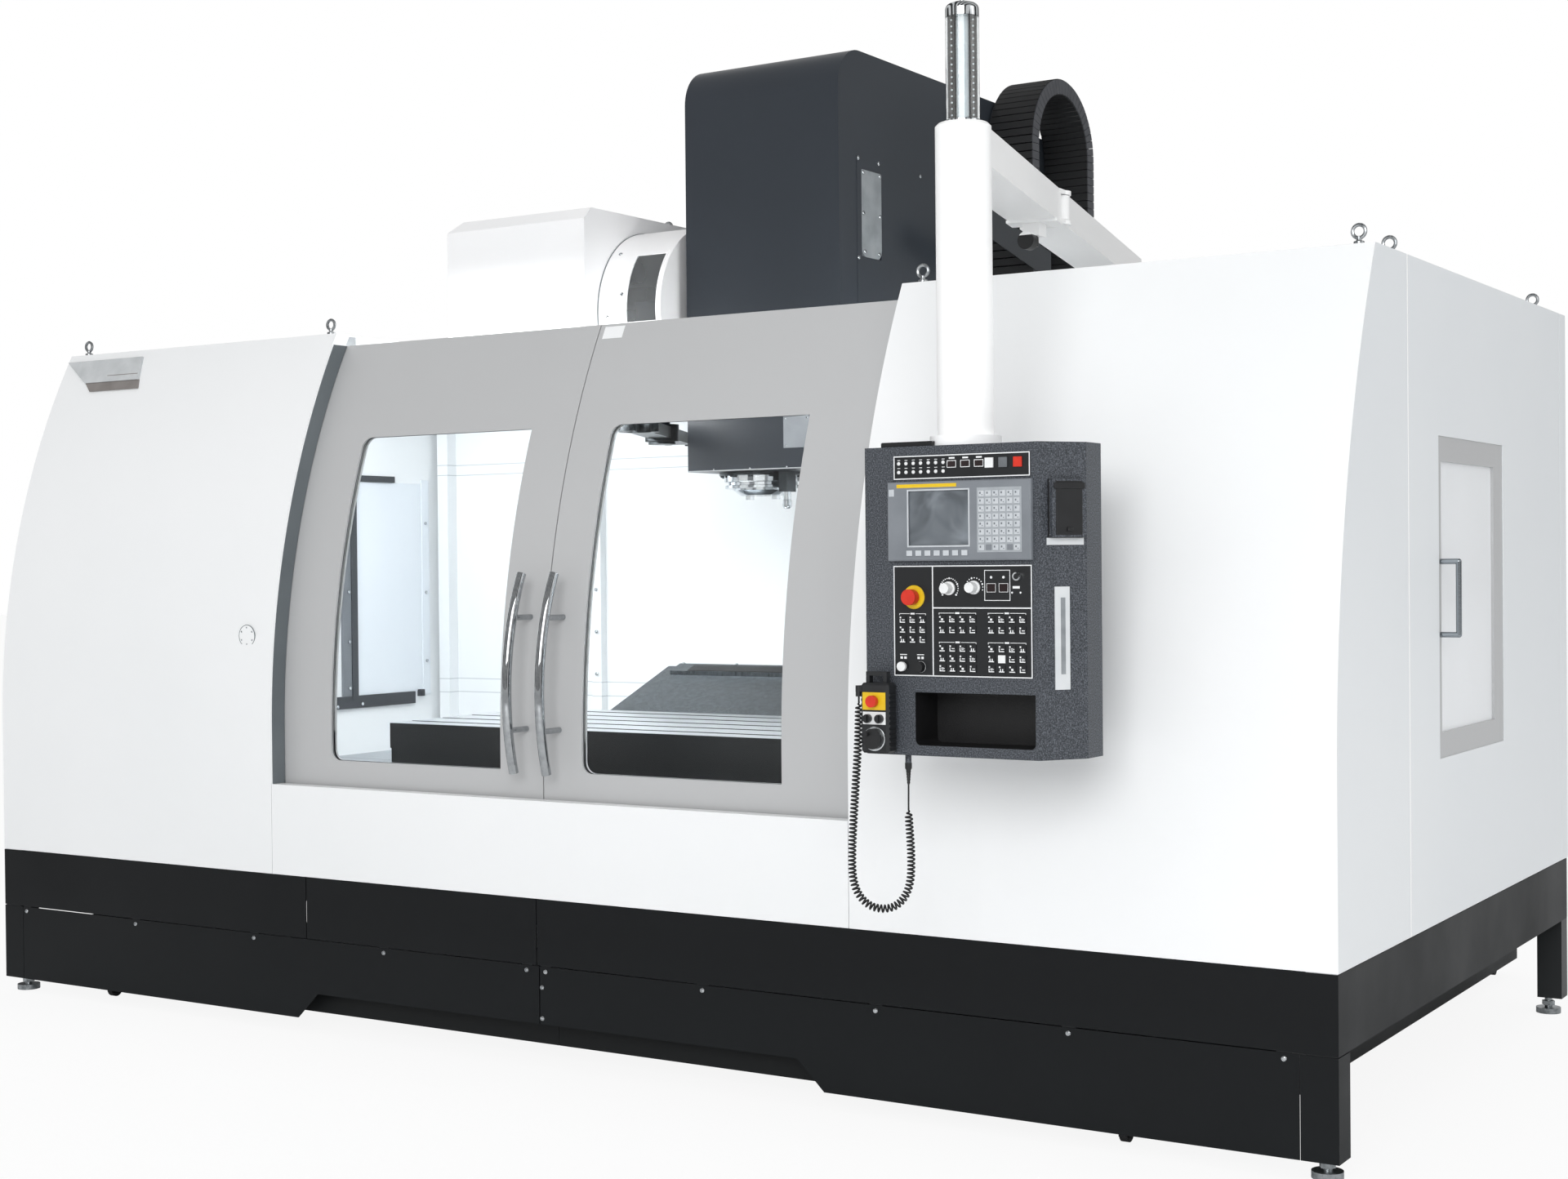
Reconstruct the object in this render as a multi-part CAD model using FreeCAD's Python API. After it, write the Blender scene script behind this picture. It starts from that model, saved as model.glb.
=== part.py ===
import FreeCAD, Part
import math
import os

# A large vertical machining center: an enclosed C-frame machine with a fixed
# column, a table on a saddle, a covered spindle head, a side tool magazine
# and a control console that hangs from a two-part arm on the roof.
# Millimetres, +Z up, +X to the right along the front. The origin is on the
# floor, on the spindle's centre plane, in the plane of the front skirt.

# ---------------------------------------------------------------- sizes
# enclosure
WIDTH = 5000.0
DEPTH = 2430.0
SKIRT_BOTTOM = 50.0
BAND_BOTTOM = 316.0
BAND_TOP = 520.0
ROOF_Z = 2352.0
ARC_START_Z = 1000.0
ARC_RADIUS = 2896.0
SHEET = 3.0
FOLD = 48.0
JAMB_DEPTH = 57.0
SEAL_THICK = 6.0
SEAL_INSET = 2.0
LEG_WIDTH = 98.0
LEG_DEPTH = 80.0
PANEL_JOINT = 4.0
FRAME_TUBE = 80.0

# front opening and its two sliding doors
OPENING_LEFT = -1131.0
OPENING_RIGHT = 1109.0
SILL_TOP = 820.0
DOOR_RECESS = 60.0
DOOR_THICK = 30.0
DOOR_TOP = 2311.0
DOOR_BOTTOM = 790.0
DOOR_JOINT_X = -20.0
DOOR_JOINT_GAP = 4.0
DOOR_OVERLAP = 40.0
WINDOW_BOTTOM = 904.0
WINDOW_TOP = 1977.0
WINDOW_WIDTH = 722.0
LEFT_WINDOW_X = -913.0
RIGHT_WINDOW_X = 130.0
WINDOW_CORNER = 35.0
GLASS_THICK = 10.0
RUN_GAP = 0.3
SEAT_GAP = 0.3
FIT_GAP = 0.1

# door handles: bowed tubes on two stand-offs each
HANDLE_RADIUS = 15.0
HANDLE_BOTTOM_Z = 903.0
HANDLE_TOP_Z = 1516.0
HANDLE_BOW = 52.0
HANDLE_INSET = 64.0
HANDLE_SPACE = 65.0
STANDOFF_LOW_Z = 1035.0
STANDOFF_HIGH_Z = 1381.0
STANDOFF_RADIUS = 9.0

# side door
SIDE_DOOR_Y = 903.0
SIDE_DOOR_WIDTH = 667.0
SIDE_DOOR_BOTTOM = 980.0
SIDE_DOOR_TOP = 1876.0
SIDE_DOOR_THICK = 24.0
SIDE_GRIP_RADIUS = 8.0
SIDE_GRIP_REACH = 52.0
SIDE_RECESS_STRIP = 30.0
SIDE_FRAME_MARGIN = 72.0
SIDE_HANDLE_LOW_Z = 1323.0
SIDE_HANDLE_HIGH_Z = 1528.0
SIDE_SEAM_Y = 612.0
REAR_SEAM_Y = DEPTH - 85

# castings and travels
SPINDLE_Y = 1295.0
TABLE_LENGTH = 2000.0
TABLE_DEPTH = 850.0
TABLE_TOP = 1000.0
TABLE_THICK = 150.0
TABLE_FRONT = 440.0
SLOT_WIDTH = 18.0
SLOT_FOOT = 32.0
SLOT_PITCH = 160.0
SLOT_COUNT = 5
SLOT_DEPTH = 32.0
SLOT_FOOT_HEIGHT = 14.0
TABLE_STEP = 6.0
TABLE_STEP_HEIGHT = 62.0
SADDLE_LENGTH = 2900.0
BED_TOP = 620.0
WAY_HEIGHT = 79.7
WAY_WIDTH = 120.0
WAY_SPREAD = 1000.0
WALL_SPACE = 100.0
INNER_WALL_Y = DEPTH - WALL_SPACE
COLUMN_SPACE = 20.0
COLUMN_FRONT = DEPTH + COLUMN_SPACE
COLUMN_WIDTH = 900.0
COLUMN_DEPTH = 760.0
COLUMN_TOP = 3120.0
RAIL_WIDTH = 70.0
RAIL_HEIGHT = 60.0
RAIL_FOOT = 900.0

# spindle head and its sheet cover
HEAD_FRONT = 1075.0
HEAD_LEFT = -170.0
HEAD_RIGHT = 456.0
HEAD_BOTTOM = 1863.0
HEAD_TOP = 3285.0
HEAD_REAR = INNER_WALL_Y
HEAD_CASTING_RIGHT = 330.0
NECK_FRONT = 1700.0
HATCH_FRONT = 1192.0
HATCH_TOP = 2926.0
HATCH_SLOT = (1222.0, 1356.0, 2586.0, 2884.0)
NOSE_FLANGE_Z = 1851.0
NOSE_RING_Z = 1828.0
NOSE_Z = 1805.0
ROTOR_Z = 1782.0
HEAD_NOSE_RADIUS = 140.0
NOSE_FLANGE_RADIUS = 155.0
NOSE_RING_RADIUS = 137.0
NOSE_RADIUS = 105.0
NOSE_BOLT_CIRCLE = 146.0
NOZZLE_X = 140.0
NOZZLE_FORWARD = 80.0
NOZZLE_Z = 1790.0
NOZZLE_RADIUS = 16.0
NOZZLE_LENGTH = 60.0
KEY_CENTRE = 55.0
ROTOR_RADIUS = 69.0
TAPER_RADIUS = 34.9
TAPER_DEPTH = 100.0

# tool magazine on the left of the head
CABINET_LEFT = -1121.0
CABINET_RIGHT = -489.0
CABINET_FRONT = 905.0
CABINET_REAR = 1750.0
CABINET_BOTTOM = 2100.0
CABINET_TOP = 2807.0
CABINET_BEVEL = 42.0
DRUM_Z = 2435.0
DRUM_RADIUS = 317.0
DRUM_END = -215.0
POT_COUNT = 12
POT_CIRCLE = 235.0
CHANGER_X = -438.0
CHANGER_ARM_Z = 2000.0
CHANGER_PARK_ANGLE = 25.0

# console arm, pole and signal tower
ARM_POST_X = 1031.0
ARM_POST_Y = 2072.0
ELBOW_X = 1452.0
ELBOW_Y = 683.0
POLE_X = 1644.0
POLE_Y = -300.0
POLE_RADIUS = 71.5
POLE_TOP = 2648.0
POLE_BOTTOM = 1858.0
BEAM_WIDTH = 143.0
BEAM_TOP = 2630.0
BEAM_HEIGHT = 95.0
TOWER_RADIUS = 43.0
TOWER_TOP = 2960.0
TOWER_CAP = 44.0
TOWER_WALL = 4.0

# console
CONSOLE_LEFT = 1406.0
CONSOLE_RIGHT = 1892.0
CONSOLE_SIDE_X = 1970.0
CONSOLE_SIDE_Y = -287.0
CONSOLE_FRONT = -400.0
CONSOLE_BACK = -200.0
CONSOLE_TOP = 1832.0
CONSOLE_BOTTOM = 1052.0
POCKET_LEFT = 1547.0
POCKET_RIGHT = 1882.0
POCKET_BOTTOM = 1078.0
POCKET_TOP = 1212.0
POCKET_DEPTH = 120.0

OUT = "parts"
X_AXIS = FreeCAD.Vector(1, 0, 0)
Y_AXIS = FreeCAD.Vector(0, 1, 0)
Z_AXIS = FreeCAD.Vector(0, 0, 1)
HALF = WIDTH / 2

# frame and feet
FOOT_X = HALF - LEG_WIDTH / 2 - 1
FOOT_FRONT_Y = 60.0
FOOT_REAR_Y = DEPTH - 70.0
BED_FOOT_ROWS = (520.0, 1250.0, 1980.0, 2780.0)
FOOT_PAD_RADIUS = 40.0
FOOT_PAD_HEIGHT = 18.0
FOOT_STUD_RADIUS = 12.0
FOOT_NUT_RADIUS = 21.0
FOOT_NUT_Z = 26.0
FOOT_NUT_HEIGHT = 14.0
BED_BASE = 70.0
BED_FRONT = 380.0
BED_WIDTH = 1800.0
BED_WALL = 60.0
DECK_WIDTH = 1280.0
DECK_STEP = 60.0
SEAT_WIDTH = 1120.0
BED_FOOT_X = BED_WIDTH / 2 - 32
COLUMN_FOOT_X = SEAT_WIDTH / 2 - 30
MAG_BEAM_LEFT = -720.0
MAG_BEAM_RIGHT = -500.0
MAG_BEAM_BOTTOM = 2400.0
MAG_BEAM_TOP = 2600.0
MAG_SLOT_BOTTOM = 2150.0
PANEL_SCREWS = (120 - HALF, -1801.0, -1220.0, -635.0, -46.0, 28.0, 609.0, 1191.0, 1775.0, HALF - 139)
RAIL_TOP = 2230.0
REAR_POST_X = 620.0
LOW_RAIL_Y = 104.0
LOW_RAIL_Z = 780.0
ROOF_HOLE_LEFT = -1160.0
ROOF_HOLE_RIGHT = 1112.0
ROOF_STEP_X = 680.0
ROOF_STEP_Y = 1950.0
ROOF_LIP = 60.0
PIVOT_RADIUS = 40.0

# skirts and tank
CUTOUT_LEFT = -1020.0
CUTOUT_RIGHT = 1023.0
CUTOUT_TOP = 136.0
CUTOUT_CHAMFER = 91.0
BAND_SEAM_X = -976.0
LOWER_JOINT_X = 4.0
TANK_LEFT = 350 - HALF
TANK_RIGHT = HALF - 550
TANK_FRONT = 72.0
TANK_STEP_Y = 360.0
TANK_ARM_LEFT = BED_WIDTH / 2 + 100
TANK_ARM_RIGHT = HALF - 310
TANK_REAR = DEPTH + 570
TANK_BOTTOM = 58.0
TANK_TOP = 290.0
WHEEL_RADIUS = 25.0
WHEEL_WIDTH = 22.0
CASTER_SPOTS = ((TANK_LEFT + 97, TANK_FRONT + 48), (TANK_RIGHT - 64, TANK_FRONT + 48),
                (TANK_ARM_RIGHT - 74, TANK_REAR - 63), (TANK_ARM_LEFT + 120, TANK_REAR - 63))

# white outer panels
ROUND_PLATE_X = -1251.0
ROUND_PLATE_Z = 1313.0
ROUND_PLATE_RADIUS = 36.0
ROUND_PLATE_PROUD = 2.5
LINER_X = HALF - 90
LINER_BOTTOM = 560.0
LINER_TOP = 2150.0
REAR_SLOT_LEFT = HEAD_LEFT - 30
REAR_SLOT_RIGHT = HEAD_RIGHT + 30
REAR_SLOT_BOTTOM = 1150.0
POST_X = -1504.0
WALL_TIES = (500 - HALF, -900.0, 900.0, HALF - 500)
FIXED_COVER_Y = 1900.0
FIXED_COVER_TOP = 950.0
MIDDLE_COVER_Y = 1605.0
MIDDLE_COVER_LENGTH = 415.0
MIDDLE_COVER_TOP = 960.0
PAN_HIGH = 560.0
PAN_LOW = 545.0
APRON_Y = 186.0
APRON_TOP = 880.0
APRON_FOOT_Z = 760.0
COVER_HALF = 700.0
EYE_COLLAR_RADIUS = 14.0
EYE_COLLAR_HEIGHT = 8.0
EYE_NECK_RADIUS = 7.0
EYE_Z = 34.0
EYE_RADIUS = 17.0
EYE_BAR_RADIUS = 5.0

# saddle, table, covers
COVER_DROP = 8.0
COVER_TOP = 1146.0
COVER_REAR = 1690.0

# spindle head
CHAIN_LEFT = 462.0
CHAIN_RIGHT = 650.0
CHAIN_FRONT_OUT = HEAD_REAR - 168
CHAIN_REAR_OUT = COLUMN_FRONT + 263
CHAIN_BAND = 60.0
CHAIN_TOP = 3384.0
CHAIN_FIXED_Z = 2560.0
CHAIN_PITCH = 30.0
CHAIN_NOTCH = 4.0

# tool magazine
DISC_X0 = -950.0
POT_X0 = -900.0
POT_RADIUS = 42.0
POT_LENGTH = 280.0
WINDOW_LEFT = -360.0
WINDOW_RIGHT = -235.0

# console arm and tower
ARM_ANGLE = math.degrees(math.atan2(POLE_Y - ARM_POST_Y, POLE_X - ARM_POST_X))
HINGE_RADIUS = 28.0
HINGE_PIN = 12.0
ELBOW_GAP = 45.0

# console
PANEL_PROUD = 3.0
SCREEN_UNIT = (1478.0, 1879.0, 1543.0, 1742.0)
SCREEN_PROUD = 14.0
SCREEN_LEFT = 1536.0
SCREEN_RIGHT = 1712.0
SCREEN_LOW = 1578.0
SCREEN_HIGH = 1722.0
SCREEN_SUNK = 5.0
SOFT_KEYS = 7
SOFT_KEY_X = 1534.0
SOFT_KEY_Z = 1556.0
SOFT_KEY_PITCH = 26.0
PAD_COLUMNS = 6
PAD_ROWS = 8
PAD_X = 1738.0
PAD_Z = 1568.0
PAD_PITCH_X = 19.5
PAD_PITCH_Z = 19.0
PAD_KEY_WIDTH = 15.0
PAD_KEY_HEIGHT = 14.0
KEY_PLATE = (1489.0, 1876.0, 1253.0, 1531.0)
LAMP_PLATE = (1492.0, 1873.0, 1749.0, 1808.0)
STRIP_BUTTONS = (1752.0, 1790.0, 1830.0)
STRIP_WINDOWS = (1646.0, 1684.0, 1722.0)
STRIP_Z = 1772.0
KEY_PITCH = 28.5
KEY_SIZE = 19.0
KNOB_GRIP_RADIUS = 13.0
KNOB_SIDES = 12
DISPLAY = (1747.0, 1818.0, 1443.0, 1519.0)
KEY_SWITCH = (1839.0, 1503.0)
ESTOP = (1548.0, 1452.0)
KNOBS = ((1648.0, 1474.0), (1718.0, 1476.0))
BUTTONS = ((1516.0, 1277.0), (1565.0, 1276.0))
# start and end along the slanted face, lowest and highest Z, and how far it stands out
PORT_COVER = (28.0, 122.0, 1598.0, 1740.0, 22.0)
PORT_PLATE = (24.0, 126.0, 1580.0, 1600.0, 3.0)
SIDE_STRIP = (45.0, 85.0, 1225.0, 1476.0, 3.0)

# pendant
PENDANT_X = 1457.0
PENDANT_Z0 = 1058.0
PENDANT_Z1 = 1236.0
PENDANT_BACK = CONSOLE_FRONT - 12
PENDANT_FRONT = CONSOLE_FRONT - 52
PENDANT_HALF = 40.0
PENDANT_EASE = 6.0
PENDANT_ESTOP_Z = 1190.0
PENDANT_SELECT_Z = 1146.0
PENDANT_WHEEL_Z = 1095.0

# curly cord
CORD_ROUTE = ((1404.0, -438.0, 1200.0), (1404.0, -438.0, 1120.0), (1394.0, -443.0, 960.0),
              (1384.0, -447.0, 800.0), (1387.0, -446.0, 717.0), (1414.0, -431.0, 670.0),
              (1452.0, -409.0, 655.0), (1490.0, -388.0, 668.0), (1514.0, -373.0, 715.0),
              (1516.0, -371.0, 800.0), (1510.0, -375.0, 900.0), (1511.0, -374.0, 960.0),
              (1511.0, -374.0, 1022.0))
CORD_TOP = CORD_ROUTE[0]
CORD_END = CORD_ROUTE[-1]
CORD_RADIUS = 2.4
COIL_RADIUS = 8.8
CORD_SIDES = 6
CURLS = 40
COIL_START = 14.0
COIL_STOP = 110.0
COIL_RAMP = 26.0
CORNER_SHARE = 0.45

# electrical cabinet
POWER_LEFT = 500 - HALF
POWER_WIDTH = 1240.0
POWER_RIGHT = POWER_LEFT + POWER_WIDTH
POWER_STANDOFF = 12.0
POWER_DEPTH = 520.0
POWER_BOTTOM = 480.0
POWER_TOP = 2280.0


# ------------------------------------------------------------ small helpers
def vec(x, y, z):
    return FreeCAD.Vector(x, y, z)


def box(x0, x1, y0, y1, z0, z1):
    return Part.makeBox(x1 - x0, y1 - y0, z1 - z0, vec(x0, y0, z0))


def rod(x, y, z, radius, length, axis=Z_AXIS):
    return Part.makeCylinder(radius, length, vec(x, y, z), axis)


def prism_x(points, x0, x1):
    """Extrude a closed outline of (y, z) points from x0 to x1."""
    wire = Part.makePolygon([vec(x0, y, z) for y, z in points + points[:1]])
    return Part.Face(wire).extrude(vec(x1 - x0, 0, 0))


def prism_y(points, y0, y1):
    """Extrude a closed outline of (x, z) points from y0 to y1."""
    wire = Part.makePolygon([vec(x, y0, z) for x, z in points + points[:1]])
    return Part.Face(wire).extrude(vec(0, y1 - y0, 0))


def prism_z(points, z0, z1):
    """Extrude a closed outline of (x, y) points from z0 to z1."""
    wire = Part.makePolygon([vec(x, y, z0) for x, y in points + points[:1]])
    return Part.Face(wire).extrude(vec(0, 0, z1 - z0))


def polygon(x, y, radius, sides):
    """Corners of a regular outline round a centre."""
    turns = [2 * math.pi * side / sides for side in range(sides)]
    return [(x + radius * math.cos(turn), y + radius * math.sin(turn)) for turn in turns]


def fuse(shapes):
    """Join touching solids into one and drop the seams."""
    joined = shapes[0]
    for shape in shapes[1:]:
        joined = joined.fuse(shape)
    return joined.removeSplitter()


def cut(shape, tools):
    for tool in tools:
        shape = shape.cut(tool)
    return shape


def group(shapes):
    return Part.makeCompound(shapes)


def save(name, shape):
    shape.exportStep(os.path.join(OUT, name + ".step"))


def edges_where(shape, test):
    return [edge for edge in shape.Edges if test(edge.CenterOfMass)]


# --------------------------------------------- the curved front of the machine
def front_y(z, inset=0.0):
    """Depth of the front face at height z, moved inwards by inset."""
    rise = max(z - ARC_START_Z, 0.0)
    radius = ARC_RADIUS - inset
    return ARC_RADIUS - math.sqrt(radius * radius - rise * rise)


def front_slab(x0, x1, z0, z1, inset, thick):
    """A sheet that follows the front's upright foot and arc."""
    outer = ARC_RADIUS - inset
    inner = outer - thick
    turn = ARC_START_Z

    def on_arc(radius, z):
        return vec(x0, ARC_RADIUS - math.sqrt(radius * radius - (z - turn) ** 2), z)

    if z0 < turn:
        low_out = vec(x0, inset, z0)
        low_in = vec(x0, inset + thick, z0)
        bend_out = vec(x0, inset, turn)
        bend_in = vec(x0, inset + thick, turn)
    else:
        low_out = on_arc(outer, z0)
        low_in = on_arc(inner, z0)
        bend_out = low_out
        bend_in = low_in
    top_out = on_arc(outer, z1)
    top_in = on_arc(inner, z1)
    mid_z = (max(z0, turn) + z1) / 2
    edges = []
    if z0 < turn:
        edges.append(Part.makeLine(low_out, bend_out))
    edges.append(Part.Arc(bend_out, on_arc(outer, mid_z), top_out).toShape())
    edges.append(Part.makeLine(top_out, top_in))
    edges.append(Part.Arc(top_in, on_arc(inner, mid_z), bend_in).toShape())
    if z0 < turn:
        edges.append(Part.makeLine(bend_in, low_in))
    edges.append(Part.makeLine(low_in, low_out))
    return Part.Face(Part.Wire(edges)).extrude(vec(x1 - x0, 0, 0))


# ------------------------------------------------------------- frame and feet


def foot(x, y, top):
    """Round pad, threaded stud and hexagonal jam nut."""
    pad = rod(x, y, 0, FOOT_PAD_RADIUS, FOOT_PAD_HEIGHT)
    stud = rod(x, y, FOOT_PAD_HEIGHT, FOOT_STUD_RADIUS, top - FOOT_PAD_HEIGHT)
    nut = prism_z(polygon(x, y, FOOT_NUT_RADIUS, 6), FOOT_NUT_Z, FOOT_NUT_Z + FOOT_NUT_HEIGHT)
    return fuse([pad, stud, nut])


def build_feet():
    feet = []
    for x in (-FOOT_X, FOOT_X):
        for y in (FOOT_FRONT_Y, FOOT_REAR_Y):
            feet.append(foot(x, y, SKIRT_BOTTOM))
    for row, y in enumerate(BED_FOOT_ROWS):
        reach = COLUMN_FOOT_X if row == len(BED_FOOT_ROWS) - 1 else BED_FOOT_X
        for x in (-reach, reach):
            feet.append(foot(x, y, BED_BASE))
    save("leveling_feet", group(feet))


def build_bed():
    """T-shaped bed casting: the saddle's ways in front, the column's seat behind."""
    half = BED_WIDTH / 2
    front = box(-half, half, BED_FRONT + 20, INNER_WALL_Y, BED_BASE, BED_TOP - DECK_STEP)
    deck = box(-DECK_WIDTH / 2, DECK_WIDTH / 2, BED_FRONT, INNER_WALL_Y, BED_TOP - DECK_STEP, BED_TOP)
    seat = box(-SEAT_WIDTH / 2, SEAT_WIDTH / 2, INNER_WALL_Y, COLUMN_FRONT + COLUMN_DEPTH + 40,
               BED_BASE, BED_TOP)
    ways = []
    for side in (-1, 1):
        centre = side * WAY_SPREAD / 2
        ways.append(box(centre - WAY_WIDTH / 2, centre + WAY_WIDTH / 2, BED_FRONT,
                        INNER_WALL_Y - 20, BED_TOP, BED_TOP + WAY_HEIGHT))
    bed = fuse([front, deck, seat] + ways)
    hollows = [box(-SEAT_WIDTH / 2 + BED_WALL, SEAT_WIDTH / 2 - BED_WALL, INNER_WALL_Y + BED_WALL,
                   COLUMN_FRONT + COLUMN_DEPTH - 20, BED_BASE - 1, BED_TOP - BED_WALL)]
    bay_x = (BED_WIDTH - 4 * BED_WALL) / 3
    bay_y = (INNER_WALL_Y - BED_FRONT - 20 - 4 * BED_WALL) / 3
    for column in range(3):
        x = -half + BED_WALL + column * (bay_x + BED_WALL)
        hollows.append(box(x + 60, x + bay_x - 60, BED_FRONT - 10, BED_FRONT + 40 + BED_WALL, 180, 440))
        for row in range(3):
            y = BED_FRONT + 20 + BED_WALL + row * (bay_y + BED_WALL)
            hollows.append(box(x, x + bay_x, y, y + bay_y, BED_BASE - 1, BED_TOP - DECK_STEP - BED_WALL))
    save("bed_casting", cut(bed, hollows))


def build_column():
    """Hollow column with a raked back, two rails and the magazine's side beam."""
    half = COLUMN_WIDTH / 2
    back = COLUMN_FRONT + COLUMN_DEPTH
    side = [(COLUMN_FRONT, BED_TOP), (back, BED_TOP), (back, 1500.0),
            (back - 180, COLUMN_TOP), (COLUMN_FRONT, COLUMN_TOP)]
    column = prism_x(side, -half, half)
    hollow = [(COLUMN_FRONT + 120, BED_TOP + 120), (back - 110, BED_TOP + 120),
              (back - 110, 1500.0), (back - 280, COLUMN_TOP - 80), (COLUMN_FRONT + 120, COLUMN_TOP - 80)]
    column = column.cut(prism_x(hollow, -half + 90, half - 90))
    rails = [box(side * 300 - RAIL_WIDTH / 2, side * 300 + RAIL_WIDTH / 2,
                 COLUMN_FRONT - RAIL_HEIGHT, COLUMN_FRONT, RAIL_FOOT, COLUMN_TOP - 20) for side in (-1, 1)]
    beam = box(MAG_BEAM_LEFT, MAG_BEAM_RIGHT, CABINET_REAR, COLUMN_FRONT + 250,
               MAG_BEAM_BOTTOM, MAG_BEAM_TOP)
    pad = box(MAG_BEAM_RIGHT - 1, -half + 1, COLUMN_FRONT + 20, COLUMN_FRONT + 250,
              MAG_BEAM_BOTTOM, MAG_BEAM_TOP)
    chain_bracket = box(half - 1, CHAIN_RIGHT, CHAIN_REAR_OUT - CHAIN_BAND, CHAIN_REAR_OUT,
                        CHAIN_FIXED_Z - 30, CHAIN_FIXED_Z)
    save("column_casting", fuse([column] + rails + [beam, pad, chain_bracket]))


def build_frame():
    """Welded tube frame: legs, base ring, posts, top ring, door rails, arm post."""
    tube = FRAME_TUBE
    x_out = HALF - SHEET - SEAT_GAP
    y_front = SHEET + SEAT_GAP
    y_rear = DEPTH - SHEET - SEAT_GAP
    z_top = ROOF_Z - SHEET - SEAT_GAP
    parts = []
    for side in (-1, 1):
        x_near = side * x_out
        x_far = side * (x_out - tube)
        x0 = min(x_near, x_far)
        x1 = max(x_near, x_far)
        parts.append(box(x0, x1, y_front, y_front + tube, SKIRT_BOTTOM, ARC_START_Z - 100))
        parts.append(box(x0, x1, front_y(ROOF_Z) + 60, front_y(ROOF_Z) + 60 + tube, BAND_TOP - tube,
                         z_top))
        parts.append(box(x0, x1, y_rear - tube, y_rear, SKIRT_BOTTOM, z_top))
        parts.append(box(x0, x1, y_front, y_rear, BAND_TOP - tube, BAND_TOP - 4))
        parts.append(box(x0, x1, front_y(ROOF_Z) + 60, y_rear, z_top - tube,
                         z_top))
    parts.append(box(-x_out, x_out, y_front, y_front + tube, BAND_TOP - tube, BAND_TOP - 4))
    for side in (-1, 1):
        x_in = side * REAR_POST_X
        x_near = side * x_out
        parts.append(box(min(x_in, x_near), max(x_in, x_near), y_rear - tube, y_rear,
                         BAND_TOP - tube, BAND_TOP - 4))
        parts.append(box(min(x_in, x_near), max(x_in, x_near), y_rear - tube, y_rear,
                         z_top - tube, z_top))
        parts.append(box(min(x_in, x_in + side * tube), max(x_in, x_in + side * tube), y_rear - tube,
                         y_rear, BAND_TOP - tube, z_top))
    for x in PANEL_SCREWS:
        parts.append(box(x - 20, x + 20, y_front, y_front + 6, BAND_BOTTOM - 40, BAND_TOP - tube + 1))
    # upper door rail behind the door tops, lower rail behind the sill
    rail_y = front_y(RAIL_TOP) + DOOR_RECESS + DOOR_THICK + 12
    parts.append(box(-x_out, x_out, rail_y, rail_y + 50, RAIL_TOP - 70, RAIL_TOP))
    for side in (-1, 1):
        x_near = side * x_out
        x_far = side * (x_out - tube)
        parts.append(box(min(x_near, x_far), max(x_near, x_far), rail_y, front_y(ROOF_Z) + 70,
                         RAIL_TOP - 70, RAIL_TOP))
    parts.append(box(-x_out, x_out, LOW_RAIL_Y, LOW_RAIL_Y + 40, LOW_RAIL_Z - 40, LOW_RAIL_Z))
    for x in (-x_out, -60, x_out - tube):
        parts.append(box(x, x + tube, y_front, LOW_RAIL_Y + 40, BAND_TOP - tube, BAND_TOP - 4))
        parts.append(box(x, x + tube, LOW_RAIL_Y, LOW_RAIL_Y + 40, BAND_TOP - 5, LOW_RAIL_Z))
    # beam over the roof's right half, with the arm's pivot post
    parts.append(box(ROOF_STEP_X, x_out, ARM_POST_Y - 60, ARM_POST_Y + 60, ROOF_Z - 90, ROOF_Z - 5))
    parts.append(box(ROOF_STEP_X, ROOF_STEP_X + tube, ARM_POST_Y - 60, y_rear,
                     ROOF_Z - 90, ROOF_Z - 5))
    parts.append(rod(ARM_POST_X, ARM_POST_Y, ROOF_Z - 6, 70, BEAM_TOP - BEAM_HEIGHT - ROOF_Z + 6 - RUN_GAP))
    parts.append(rod(ARM_POST_X, ARM_POST_Y, ROOF_Z - 6, PIVOT_RADIUS, BEAM_TOP + 6 - ROOF_Z + 6))
    save("enclosure_frame", fuse(parts))


# --------------------------------------------------------- skirts and tank


def folded_panel(x0, x1, z0, z1, fold):
    """A flat front sheet with its edges folded back."""
    outer = box(x0, x1, 0, fold, z0, z1)
    inner = box(x0 + SHEET, x1 - SHEET, SHEET, fold + 1, z0 + SHEET, z1 - SHEET)
    return outer.cut(inner)


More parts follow.
